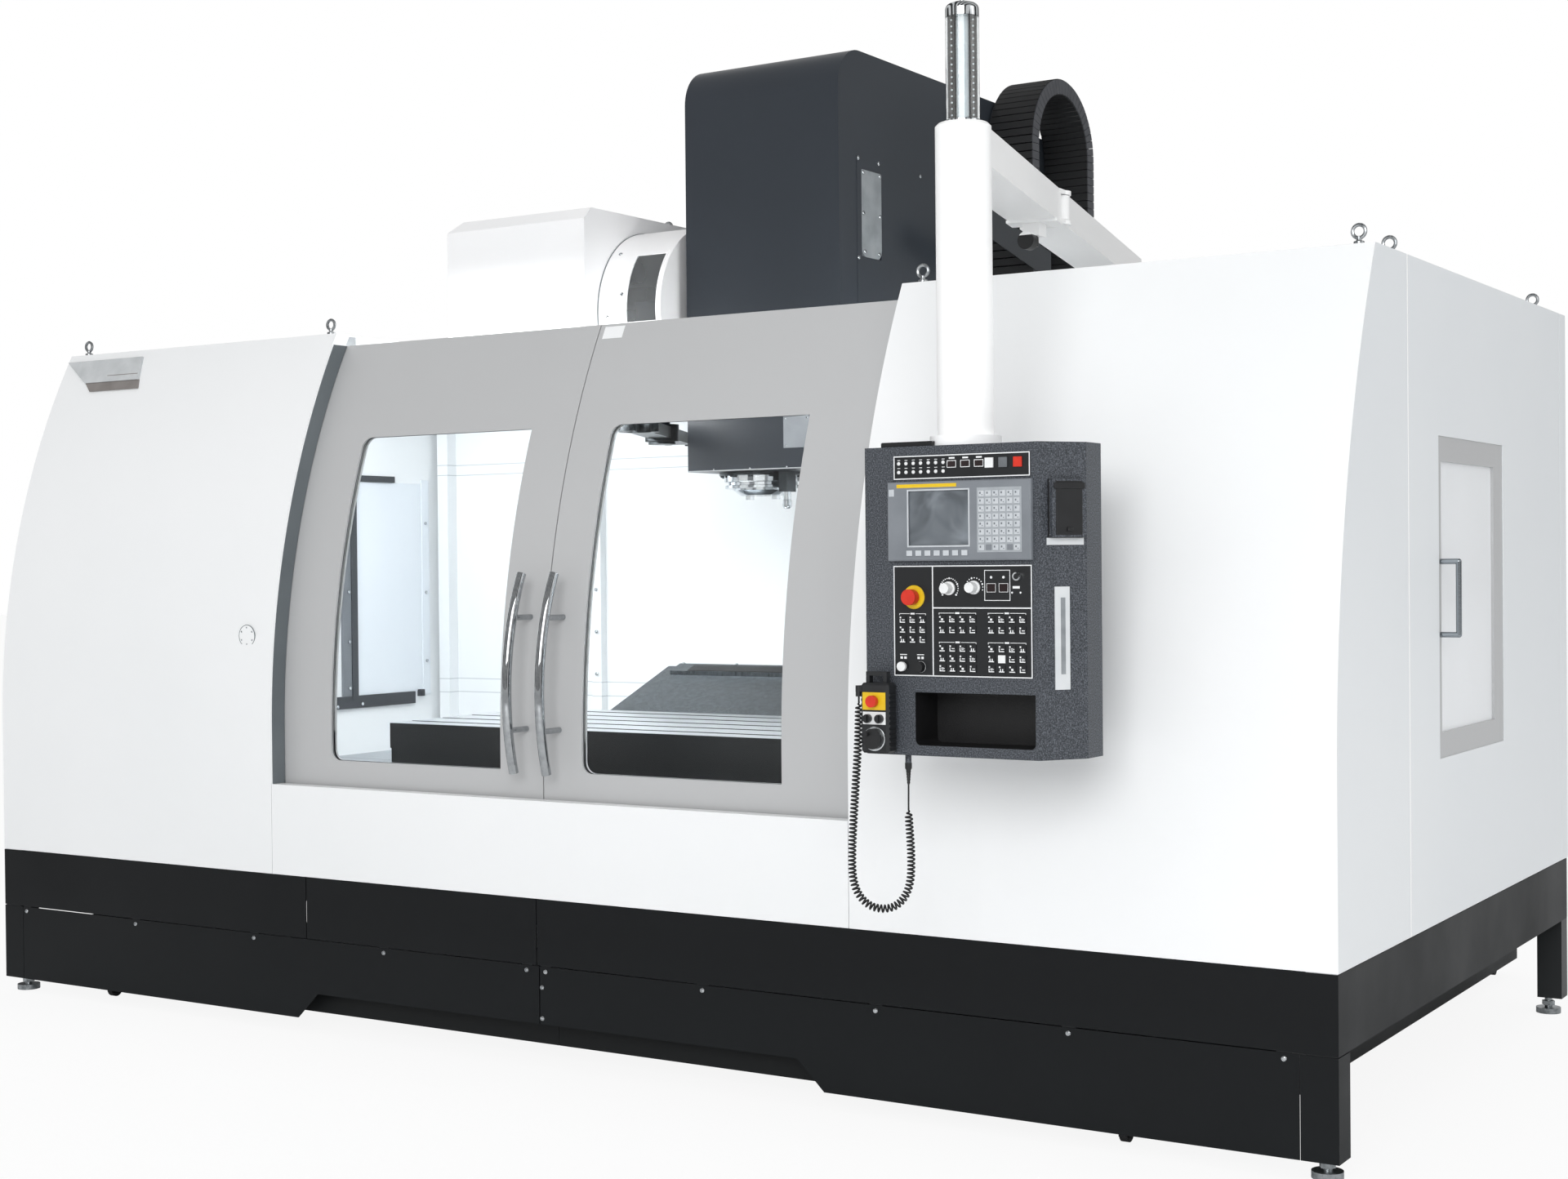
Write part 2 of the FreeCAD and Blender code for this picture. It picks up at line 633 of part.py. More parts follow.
def build_skirts():
    """Dark front band in three panels, two lower panels and the side bands."""
    joint = PANEL_JOINT / 2
    band_edges = (-HALF, BAND_SEAM_X, LOWER_JOINT_X - 10, HALF)
    panels = []
    for x0, x1 in zip(band_edges[:-1], band_edges[1:]):
        left = x0 if x0 == -HALF else x0 + joint
        right = x1 if x1 == HALF else x1 - joint
        panels.append(box(left, right, 0, SHEET, BAND_BOTTOM, BAND_TOP - 2))
    leg = HALF - LEG_WIDTH - 2
    cutout = prism_y([(CUTOUT_LEFT, SKIRT_BOTTOM - 1), (CUTOUT_LEFT + CUTOUT_CHAMFER, CUTOUT_TOP),
                      (CUTOUT_RIGHT - CUTOUT_CHAMFER, CUTOUT_TOP), (CUTOUT_RIGHT, SKIRT_BOTTOM - 1)],
                     -1, SHEET + 1)
    for x0, x1 in ((-leg, LOWER_JOINT_X - joint), (LOWER_JOINT_X + joint, leg)):
        panels.append(box(x0, x1, 0, SHEET, SKIRT_BOTTOM, BAND_BOTTOM - 3).cut(cutout))
    for side in (-1, 1):
        x_out = side * HALF
        x_in = side * (HALF - SHEET)
        panels.append(box(min(x_out, x_in), max(x_out, x_in), SHEET + SEAT_GAP, DEPTH - 26,
                          BAND_BOTTOM, BAND_TOP - 2))
        corner = box(min(x_out, side * (HALF - LEG_WIDTH)), max(x_out, side * (HALF - LEG_WIDTH)),
                     0, LEG_DEPTH + 8, SKIRT_BOTTOM, BAND_BOTTOM - 3)
        inside = box(min(x_in, side * (HALF - LEG_WIDTH - 1)), max(x_in, side * (HALF - LEG_WIDTH - 1)),
                     SHEET, LEG_DEPTH + 9, SKIRT_BOTTOM - 1, BAND_BOTTOM)
        panels.append(corner.cut(inside))
    save("skirt_panels", group(panels))


def build_tank():
    """L-shaped coolant tank that rolls in under the front and the right side."""
    outline = [(TANK_LEFT, TANK_FRONT), (TANK_RIGHT, TANK_FRONT), (TANK_RIGHT, 420.0),
               (TANK_ARM_RIGHT, 420.0), (TANK_ARM_RIGHT, TANK_REAR), (TANK_ARM_LEFT, TANK_REAR),
               (TANK_ARM_LEFT, TANK_STEP_Y), (TANK_LEFT, TANK_STEP_Y)]
    tank = prism_z(outline, TANK_BOTTOM, TANK_TOP)
    wall = 4.0
    hollow = [box(TANK_LEFT + wall, TANK_RIGHT - wall, TANK_FRONT + wall, TANK_STEP_Y - wall,
                  TANK_BOTTOM + wall, TANK_TOP - wall),
              box(TANK_ARM_LEFT + wall, TANK_RIGHT - wall, TANK_STEP_Y - wall - 1, 420.0,
                  TANK_BOTTOM + wall, TANK_TOP - wall),
              box(TANK_ARM_LEFT + wall, TANK_ARM_RIGHT - wall, 420.0 + wall, TANK_REAR - wall,
                  TANK_BOTTOM + wall, TANK_TOP - wall)]
    seam = box(20, 24, TANK_FRONT - 2, TANK_FRONT + 1, TANK_BOTTOM - 1, TANK_TOP + 1)
    tank = cut(tank, hollow + [seam])
    brackets = []
    for x, y in CASTER_SPOTS:
        for side in (-1, 1):
            face = x + side * (WHEEL_WIDTH / 2 + 1 + RUN_GAP)
            brackets.append(box(min(face, face + side * 3), max(face, face + side * 3),
                                y - 18, y + 18, WHEEL_RADIUS - 10, TANK_BOTTOM + 1))
        brackets.append(rod(x - WHEEL_WIDTH / 2 - 6, y, WHEEL_RADIUS, 4, WHEEL_WIDTH + 12, X_AXIS))
        brackets.append(box(x - 30, x + 30, y - 28, y + 28, TANK_BOTTOM - 4, TANK_BOTTOM + 1))
    save("coolant_tank", fuse([tank] + brackets))


def build_caster_wheels():
    for number, (x, y) in enumerate(CASTER_SPOTS, 1):
        left = x - WHEEL_WIDTH / 2
        wheel = rod(left, y, WHEEL_RADIUS, WHEEL_RADIUS, WHEEL_WIDTH, X_AXIS)
        bore = rod(left - 1, y, WHEEL_RADIUS, 4 + FIT_GAP, WHEEL_WIDTH + 2, X_AXIS)
        save("caster_wheel_%d" % number, wheel.cut(bore))


# ------------------------------------------------------- white outer panels


def front_panel(x0, x1, jamb_side):
    """Curved white sheet with a folded jamb beside the doors and a folded top."""
    sheet = front_slab(x0, x1, BAND_TOP, ROOF_Z, 0, SHEET)
    jamb_out = x1 if jamb_side > 0 else x0
    jamb_in = jamb_out - jamb_side * SHEET
    jamb = front_slab(min(jamb_out, jamb_in), max(jamb_out, jamb_in), BAND_TOP, ROOF_Z, 0, JAMB_DEPTH)
    top_y = front_y(ROOF_Z)
    edge = HALF - SHEET - SEAT_GAP
    top = box(max(x0, -edge), min(x1, edge), top_y + 1, top_y + JAMB_DEPTH, ROOF_Z - SHEET, ROOF_Z)
    return fuse([sheet, jamb, top])


def build_front_panels():
    left = front_panel(-HALF, OPENING_LEFT, 1)
    plate_y = front_y(ROUND_PLATE_Z) - ROUND_PLATE_PROUD
    plate = rod(ROUND_PLATE_X, plate_y, ROUND_PLATE_Z, ROUND_PLATE_RADIUS, 2 * ROUND_PLATE_PROUD, Y_AXIS)
    seal = front_slab(OPENING_LEFT, OPENING_LEFT + SEAL_THICK, SILL_TOP, DOOR_TOP, SEAL_INSET,
                      JAMB_DEPTH - SEAL_INSET - 1)
    save("left_front_panel", group([left.fuse(plate).removeSplitter(), seal]))
    save("right_front_panel", front_panel(OPENING_RIGHT, HALF, -1))
    sill = folded_panel(OPENING_LEFT + PANEL_JOINT / 2, OPENING_RIGHT - PANEL_JOINT / 2,
                        BAND_TOP, SILL_TOP, FOLD)
    save("door_sill", sill)


def side_profile(x0, x1, inset, z0, z1, y_rear):
    """A side sheet bounded in front by the machine's curved profile."""
    mid_z = (ARC_START_Z + z1) / 2
    bend = vec(x0, inset, ARC_START_Z)
    middle = vec(x0, front_y(mid_z, inset), mid_z)
    top = vec(x0, front_y(z1, inset), z1)
    corners = [top, vec(x0, y_rear, z1), vec(x0, y_rear, z0), vec(x0, inset, z0), bend]
    edges = [Part.Arc(bend, middle, top).toShape()]
    for start, end in zip(corners[:-1], corners[1:]):
        edges.append(Part.makeLine(start, end))
    return Part.Face(Part.Wire(edges)).extrude(vec(x1 - x0, 0, 0))


def build_side_walls():
    opening_y1 = SIDE_DOOR_Y + SIDE_DOOR_WIDTH + SIDE_RECESS_STRIP
    for name, side in (("left_side_wall", -1), ("right_side_wall", 1)):
        x_out = side * HALF
        x_in = side * (HALF - SHEET)
        x0 = min(x_out, x_in)
        x1 = max(x_out, x_in)
        opening = box(x0 - 9, x1 + 9, SIDE_DOOR_Y - 4, opening_y1, SIDE_DOOR_BOTTOM - 4, SIDE_DOOR_TOP + 4)
        sheet = side_profile(x0, x1, SHEET + SEAT_GAP, BAND_TOP, ROOF_Z, DEPTH)
        liner0 = min(side * LINER_X, side * (LINER_X - SHEET))
        liner1 = max(side * LINER_X, side * (LINER_X - SHEET))
        liner = side_profile(liner0, liner1, 150, LINER_BOTTOM, LINER_TOP, INNER_WALL_Y - SHEET - SEAT_GAP)
        liner = liner.cut(box(liner0 - 9, liner1 + 9, SIDE_DOOR_Y + 30, opening_y1 - 40,
                              SIDE_DOOR_BOTTOM + 30, SIDE_DOOR_TOP - 30))
        sheet = sheet.cut(opening)
        seams = [box(x0 - 5 if side < 0 else x1 - 1, x0 + 1 if side < 0 else x1 + 5,
                     y - 1.5, y + 1.5, BAND_TOP - 1, ROOF_Z + 1) for y in (SIDE_SEAM_Y, REAR_SEAM_Y)]
        sheet = cut(sheet, seams)
        ties = [box(min(x_in, side * LINER_X), max(x_in, side * LINER_X), y, y + SHEET, LINER_BOTTOM + 60,
                    LINER_TOP - 20) for y in (700.0, REAR_SEAM_Y - 60)]
        wall = fuse([sheet, liner] + ties)
        if side > 0:
            rails = [box(x_in - 30, x_in, SIDE_DOOR_Y - 20, REAR_SEAM_Y - 100, z, z + 6)
                     for z in (SIDE_DOOR_BOTTOM - 16 - RUN_GAP - 6, SIDE_DOOR_TOP + 16 + FIT_GAP)]
            wall = fuse([wall] + rails)
        if side < 0:
            pane = box(x_in, x_in + GLASS_THICK, SIDE_DOOR_Y - 20, opening_y1 + 16,
                       SIDE_DOOR_BOTTOM - 20, SIDE_DOOR_TOP + 20)
            wall = group([wall, pane])
        save(name, wall)


def build_rear_wall():
    """Rear sheet and inner white wall, open where the head and column pass."""
    outer = box(-HALF + SHEET, HALF - SHEET, DEPTH - SHEET, DEPTH, BAND_BOTTOM, ROOF_Z)
    outer = outer.cut(box(-COLUMN_WIDTH / 2 - 110, COLUMN_WIDTH / 2 + 110, DEPTH - 20, DEPTH + 20,
                          BAND_BOTTOM - 1, ROOF_Z + 1))
    inner_y = INNER_WALL_Y
    inner = box(-LINER_X + SEAT_GAP, LINER_X - SEAT_GAP, inner_y - SHEET, inner_y, LINER_BOTTOM, ROOF_Z - 130)
    inner = inner.cut(box(REAR_SLOT_LEFT, REAR_SLOT_RIGHT, inner_y - 30, inner_y + 30,
                          REAR_SLOT_BOTTOM, ROOF_Z))
    inner = inner.cut(box(MAG_BEAM_LEFT - 20, MAG_BEAM_RIGHT + 20, inner_y - 30, inner_y + 30,
                          MAG_SLOT_BOTTOM, ROOF_Z))
    inner = inner.cut(box(-660, 660, inner_y - 30, inner_y + 30, LINER_BOTTOM - 1, BED_TOP + WAY_HEIGHT + 2))
    ties = [box(x, x + SHEET, inner_y - 1, DEPTH - SHEET + 1, LINER_BOTTOM + 60, ROOF_Z - 150)
            for x in WALL_TIES]
    posts = [box(x - 25, x + 25, inner_y - SHEET - 40, inner_y - SHEET + 1, LINER_BOTTOM + 10, ROOF_Z - 140)
             for x in (POST_X, -POST_X)]
    corner = [box(x - 30, x + 30, inner_y - SHEET - 60, inner_y - SHEET + 1, LINER_BOTTOM + 10,
                  ROOF_Z - 140) for x in (-LINER_X + 60, LINER_X - 60)]
    save("rear_wall", fuse([outer, inner] + ties + posts + corner))


def build_roof():
    """Flat roof sheets round the opening for the head and the magazine."""
    y0 = front_y(ROOF_Z, JAMB_DEPTH) + 1
    z0 = ROOF_Z - SHEET
    edge = HALF - SHEET - SEAT_GAP
    rear = DEPTH - SHEET - SEAT_GAP
    left = box(-edge, ROOF_HOLE_LEFT, y0, rear, z0, ROOF_Z)
    right = [box(ROOF_HOLE_RIGHT, edge, y0, rear, z0, ROOF_Z),
             box(ROOF_STEP_X, ROOF_HOLE_RIGHT + 1, ROOF_STEP_Y, rear, z0, ROOF_Z)]
    lip_y = y0 + 60
    lip_z = z0 - ROOF_LIP
    left_lip = box(ROOF_HOLE_LEFT - SHEET, ROOF_HOLE_LEFT, lip_y, DEPTH - FRAME_TUBE - 10, lip_z, ROOF_Z)
    right_lips = [box(ROOF_HOLE_RIGHT, ROOF_HOLE_RIGHT + SHEET, lip_y, ROOF_STEP_Y + SHEET, lip_z, ROOF_Z),
                  box(ROOF_STEP_X, ROOF_HOLE_RIGHT + SHEET, ROOF_STEP_Y, ROOF_STEP_Y + SHEET, lip_z, ROOF_Z),
                  box(ROOF_STEP_X, ROOF_STEP_X + SHEET, ROOF_STEP_Y, ARM_POST_Y - 62, lip_z, ROOF_Z)]
    post_hole = rod(ARM_POST_X, ARM_POST_Y, z0 - 1, 72, SHEET + 2)
    save("roof_panels", group([fuse([left, left_lip]), fuse(right + right_lips).cut(post_hole)]))


def build_guards():
    """Chip pans each side of the bed, the front apron and the fixed way cover."""
    pans = []
    for side in (-1, 1):
        outer = (side * (LINER_X - SHEET - SEAT_GAP), PAN_HIGH)
        inner = (side * (BED_WIDTH / 2 + SEAT_GAP), PAN_LOW)
        points = [outer, inner, (inner[0], inner[1] - SHEET), (outer[0], outer[1] - SHEET)]
        pans.append(prism_y(points, APRON_Y + SHEET + 1, INNER_WALL_Y - SHEET - SEAT_GAP))
    reach = LINER_X - SHEET - SEAT_GAP
    apron = box(-reach, reach, APRON_Y, APRON_Y + SHEET, PAN_HIGH, APRON_TOP)
    apron_foot = box(-reach, reach, LOW_RAIL_Y + 40, APRON_Y + SHEET, APRON_FOOT_Z, APRON_FOOT_Z + SHEET)
    low = BED_TOP + 2
    fixed_half = COVER_HALF - 18
    fixed = box(-fixed_half, fixed_half, FIXED_COVER_Y, INNER_WALL_Y - SHEET - SEAT_GAP, low, FIXED_COVER_TOP)
    inside = box(-fixed_half + SHEET, fixed_half - SHEET, FIXED_COVER_Y - 1, INNER_WALL_Y,
                 low - 1, FIXED_COVER_TOP - SHEET)
    save("inner_guards", group(pans + [fuse([apron, apron_foot]), fixed.cut(inside)]))


def eyebolt(x, y, z):
    """Lifting eye: collar, neck and ring."""
    collar = rod(x, y, z, EYE_COLLAR_RADIUS, EYE_COLLAR_HEIGHT)
    neck = rod(x, y, z + EYE_COLLAR_HEIGHT - 1, EYE_NECK_RADIUS, EYE_Z - EYE_RADIUS - EYE_COLLAR_HEIGHT + 2)
    front = y - EYE_BAR_RADIUS
    disc = rod(x, front, z + EYE_Z, EYE_RADIUS + EYE_BAR_RADIUS, 2 * EYE_BAR_RADIUS, Y_AXIS)
    hole = rod(x, front - 1, z + EYE_Z, EYE_RADIUS - EYE_BAR_RADIUS, 2 * EYE_BAR_RADIUS + 2, Y_AXIS)
    return fuse([collar, neck, disc]).cut(hole)


def build_eyebolts():
    lip_y = front_y(ROOF_Z) + FOLD / 2
    side_x = HALF - 50
    spots = [(20 - side_x, lip_y), (OPENING_LEFT - 49, lip_y), (OPENING_RIGHT + 56, lip_y),
             (side_x, lip_y), (side_x, SIDE_SEAM_Y + 8), (side_x, DEPTH - 240), (-side_x, DEPTH - 240)]
    bolts = [eyebolt(x, y, ROOF_Z) for x, y in spots]
    bolts.append(eyebolt(CABINET_LEFT + 461, CABINET_REAR - 90, CABINET_TOP))
    save("lifting_eyebolts", group(bolts))


# --------------------------------------------------------------- front doors
def window_cut(x0, x1, corner):
    """Window opening through a door; the corners next to x0 are rounded."""
    outline = box(x0, x1, -200, 700, WINDOW_BOTTOM, WINDOW_TOP)
    round_edges = edges_where(outline, lambda c: abs(c.x - x0) < 1 and abs(c.y - 250) < 1)
    return outline.makeFillet(corner, round_edges)


def build_front_door(name, x0, x1, window_x, handle_x):
    frame = front_slab(x0, x1, DOOR_BOTTOM, DOOR_TOP, DOOR_RECESS, DOOR_THICK)
    hollow = front_slab(x0 + SHEET, x1 - SHEET, DOOR_BOTTOM + SHEET, DOOR_TOP - SHEET,
                        DOOR_RECESS + SHEET, DOOR_THICK)
    window_x1 = window_x + WINDOW_WIDTH
    border = front_slab(window_x - 20, window_x1 + 20, WINDOW_BOTTOM - 20, WINDOW_TOP + 20,
                        DOOR_RECESS + SHEET, DOOR_THICK - SHEET)
    stiles = [front_slab(x0 + 1, x0 + 31, DOOR_BOTTOM + 1, DOOR_TOP - 1, DOOR_RECESS + SHEET - 1,
                         DOOR_THICK - SHEET),
              front_slab(x1 - 31, x1 - 1, DOOR_BOTTOM + 1, DOOR_TOP - 1, DOOR_RECESS + SHEET - 1,
                         DOOR_THICK - SHEET)]
    door = fuse([frame.cut(hollow), border] + stiles)
    rollers = []
    for x in (x0 + 90, x1 - 140):
        hanger_y = front_y(RAIL_TOP) + DOOR_RECESS + 10
        rail_back = front_y(RAIL_TOP) + DOOR_RECESS + DOOR_THICK + 12
        rollers.append(box(x, x + 50, hanger_y, rail_back + 56, RAIL_TOP + 1, RAIL_TOP + 7))
        rollers.append(box(x, x + 50, rail_back + 51, rail_back + 56, RAIL_TOP - 40, RAIL_TOP + 7))
        rollers.append(box(x, x + 50, LOW_RAIL_Y - 15, LOW_RAIL_Y + 30, LOW_RAIL_Z + RUN_GAP,
                           LOW_RAIL_Z + 9))
        rollers.append(box(x, x + 50, DOOR_RECESS + 20, LOW_RAIL_Y - 2, LOW_RAIL_Z + RUN_GAP,
                           LOW_RAIL_Z + 16))
    door = fuse([door] + rollers)
    door = door.cut(window_cut(window_x, window_x1, WINDOW_CORNER))
    rebate = front_slab(window_x - 12, window_x1 + 12, WINDOW_BOTTOM - 12, WINDOW_TOP + 12,
                        DOOR_RECESS + 12, GLASS_THICK)
    save(name, door.cut(rebate))
    save(name + "_glass", rebate)
    save(name + "_handle", door_handle(handle_x))


def door_handle(x):
    """Bowed tube through three points, on two stand-offs."""
    low = vec(x, front_y(HANDLE_BOTTOM_Z, DOOR_RECESS) - HANDLE_SPACE, HANDLE_BOTTOM_Z)
    high = vec(x, front_y(HANDLE_TOP_Z, DOOR_RECESS) - HANDLE_SPACE, HANDLE_TOP_Z)
    middle = vec(x, (low.y + high.y) / 2 - HANDLE_BOW, (low.z + high.z) / 2)
    bow = Part.Arc(low, middle, high).toShape()
    start = bow.tangentAt(bow.FirstParameter)
    section = Part.Face(Part.Wire([Part.makeCircle(HANDLE_RADIUS, low, start)]))
    centre = bow.Curve.Center
    turn = math.degrees(bow.LastParameter - bow.FirstParameter)
    bar = section.revolve(centre, bow.Curve.Axis, turn)
    posts = []
    for z in (STANDOFF_LOW_Z, STANDOFF_HIGH_Z):
        reach = math.sqrt(bow.Curve.Radius ** 2 - (z - centre.z) ** 2)
        bar_y = centre.y - reach
        face_y = front_y(z, DOOR_RECESS)
        posts.append(rod(x, bar_y, z, STANDOFF_RADIUS, face_y - bar_y + 10, Y_AXIS))
    skin = front_slab(x - 60, x + 60, DOOR_BOTTOM, DOOR_TOP, DOOR_RECESS, 3 * DOOR_THICK)
    return fuse([bar] + posts).cut(skin)


def build_front_doors():
    left_x0 = OPENING_LEFT - DOOR_OVERLAP
    right_x1 = OPENING_RIGHT + DOOR_OVERLAP
    middle_left = DOOR_JOINT_X - DOOR_JOINT_GAP / 2
    middle_right = DOOR_JOINT_X + DOOR_JOINT_GAP / 2
    build_front_door("left_door", left_x0, middle_left, LEFT_WINDOW_X, DOOR_JOINT_X - HANDLE_INSET)
    build_front_door("right_door", middle_right, right_x1, RIGHT_WINDOW_X, DOOR_JOINT_X + HANDLE_INSET)


# ----------------------------------------------------------------- side door
def build_side_door():
    """Framed pane that slides back inside the right wall, with a D-handle."""
    x_face = HALF - SHEET - RUN_GAP
    thick = SIDE_DOOR_THICK
    y0 = SIDE_DOOR_Y
    y1 = SIDE_DOOR_Y + SIDE_DOOR_WIDTH
    plate = box(x_face - thick, x_face, y0 - 14, y1 + 36, SIDE_DOOR_BOTTOM - 16, SIDE_DOOR_TOP + 16)
    glass = (y0 + 29, y1 - SIDE_FRAME_MARGIN, SIDE_DOOR_BOTTOM + 68, SIDE_DOOR_TOP - 66)
    hole = box(x_face - thick - 1, x_face + 1, glass[0], glass[1], glass[2], glass[3])
    pocket = box(x_face - thick / 2 - 4, x_face - thick / 2 + 4, glass[0] - 10, glass[1] + 10,
                 glass[2] - 10, glass[3] + 10)
    frame = plate.cut(hole).cut(pocket)
    handle_y = y0 + 16
    grip_x = x_face + SIDE_GRIP_REACH
    reach = grip_x - x_face
    radius = SIDE_GRIP_RADIUS
    heights = (SIDE_HANDLE_LOW_Z, SIDE_HANDLE_HIGH_Z)
    bar = rod(grip_x, handle_y, SIDE_HANDLE_LOW_Z, radius, SIDE_HANDLE_HIGH_Z - SIDE_HANDLE_LOW_Z)
    ends = [rod(x_face - 1, handle_y, z, radius, reach + 1, X_AXIS) for z in heights]
    balls = [Part.makeSphere(radius, vec(grip_x, handle_y, z)) for z in heights]
    save("side_door", fuse([frame, bar] + ends + balls))
    save("side_door_glass", pocket)


# ------------------------------------------------------ saddle, table, covers
def build_saddle():
    half_x = SADDLE_LENGTH / 2
    y0 = TABLE_FRONT + 25
    y1 = TABLE_FRONT + TABLE_DEPTH - 25
    z0 = BED_TOP + WAY_HEIGHT + RUN_GAP
    z1 = TABLE_TOP - TABLE_THICK - RUN_GAP
    body = box(-half_x, half_x, y0, y1, z0, z1)
    belly = [box(-half_x + 60, -660, y0 + 60, y1 - 60, z0 - 1, z1 - 50),
             box(660, half_x - 60, y0 + 60, y1 - 60, z0 - 1, z1 - 50)]
    grooves = [box(-half_x - 1, half_x + 1, y - 2, y + 2, z1 - 12, z1 + 1) for y in (y0 + 150, y1 - 150)]
    save("saddle", cut(body, belly + grooves))
    build_way_covers(y1, z0)


def build_way_covers(saddle_rear, saddle_bottom):
    """Sloped cover on the saddle, and the middle cover that slides under it."""
    front_y0 = TABLE_FRONT + TABLE_DEPTH + 5
    lip_z = TABLE_TOP - COVER_DROP
    slope_outline = [(front_y0, lip_z - 24), (front_y0 + SHEET, lip_z - 24),
                     (front_y0 + SHEET, lip_z - SHEET), (COVER_REAR, COVER_TOP - SHEET),
                     (COVER_REAR, COVER_TOP), (front_y0, lip_z)]
    slope = prism_x(slope_outline, -COVER_HALF, COVER_HALF)
    cheek_foot = saddle_bottom + 30
    table_foot = TABLE_TOP - TABLE_THICK - 6
    cheek_outline = [(saddle_rear, cheek_foot), (COVER_REAR, cheek_foot),
                     (COVER_REAR, COVER_TOP - 1), (front_y0 + 1, lip_z - 1),
                     (front_y0 + 1, table_foot), (saddle_rear, table_foot)]
    cheeks = [prism_x(cheek_outline, x, x + SHEET) for x in (-COVER_HALF, COVER_HALF - SHEET)]
    tail = box(-COVER_HALF, COVER_HALF, COVER_REAR - SHEET, COVER_REAR,
               MIDDLE_COVER_TOP + RUN_GAP, COVER_TOP - 1)
    flanges = [box(min(x, x + side * 40), max(x, x + side * 40), saddle_rear, saddle_rear + SHEET,
                   cheek_foot, table_foot)
               for side, x in ((1, COVER_HALF - SHEET - 1), (-1, -COVER_HALF + SHEET + 1))]
    rise = (COVER_TOP - lip_z) / (COVER_REAR - front_y0)
    strip = prism_x([(COVER_REAR - 75, COVER_TOP - 75 * rise - 1), (COVER_REAR - 8, COVER_TOP - 8 * rise - 1),
                     (COVER_REAR - 8, COVER_TOP + 12), (COVER_REAR - 75, COVER_TOP - 75 * rise + 16)],
                    -COVER_HALF + 60, COVER_HALF - 60)
    save("way_cover", fuse([slope] + cheeks + [tail] + flanges + [strip]))
    half = COVER_HALF - 9
    middle_end = MIDDLE_COVER_Y + MIDDLE_COVER_LENGTH
    shell = box(-half, half, MIDDLE_COVER_Y, middle_end, BED_TOP + 2, MIDDLE_COVER_TOP)
    inside = box(-half + SHEET, half - SHEET, MIDDLE_COVER_Y - 1, middle_end + 1, BED_TOP + 1,
                 MIDDLE_COVER_TOP - SHEET)
    wiper = box(-half + SHEET - 1, half - SHEET + 1, middle_end - 6, middle_end, FIXED_COVER_TOP + RUN_GAP,
                MIDDLE_COVER_TOP - SHEET + 1)
    save("middle_way_cover", fuse([shell.cut(inside), wiper]))


def build_table():
    half = TABLE_LENGTH / 2
    y1 = TABLE_FRONT + TABLE_DEPTH
    z0 = TABLE_TOP - TABLE_THICK
    table = box(-half, half, TABLE_FRONT, y1, z0, TABLE_TOP)
    step_top = z0 + TABLE_STEP_HEIGHT
    table = table.cut(box(-half - 1, half + 1, TABLE_FRONT - 1, TABLE_FRONT + TABLE_STEP, z0 - 1, step_top))
    tools = []
    first = TABLE_FRONT + (TABLE_DEPTH - SLOT_PITCH * (SLOT_COUNT - 1)) / 2
    for index in range(SLOT_COUNT):
        y = first + index * SLOT_PITCH
        foot_top = TABLE_TOP - SLOT_DEPTH + SLOT_FOOT_HEIGHT
        for width, low, high in ((SLOT_WIDTH, foot_top - 1, TABLE_TOP + 1),
                                 (SLOT_FOOT, TABLE_TOP - SLOT_DEPTH, foot_top)):
            tools.append(box(-half - 1, half + 1, y - width / 2, y + width / 2, low, high))
    tools.append(box(-half + 60, half - 60, TABLE_FRONT + 70, y1 - 70, z0 - 1, z0 + 60))
    save("worktable", cut(table, tools))


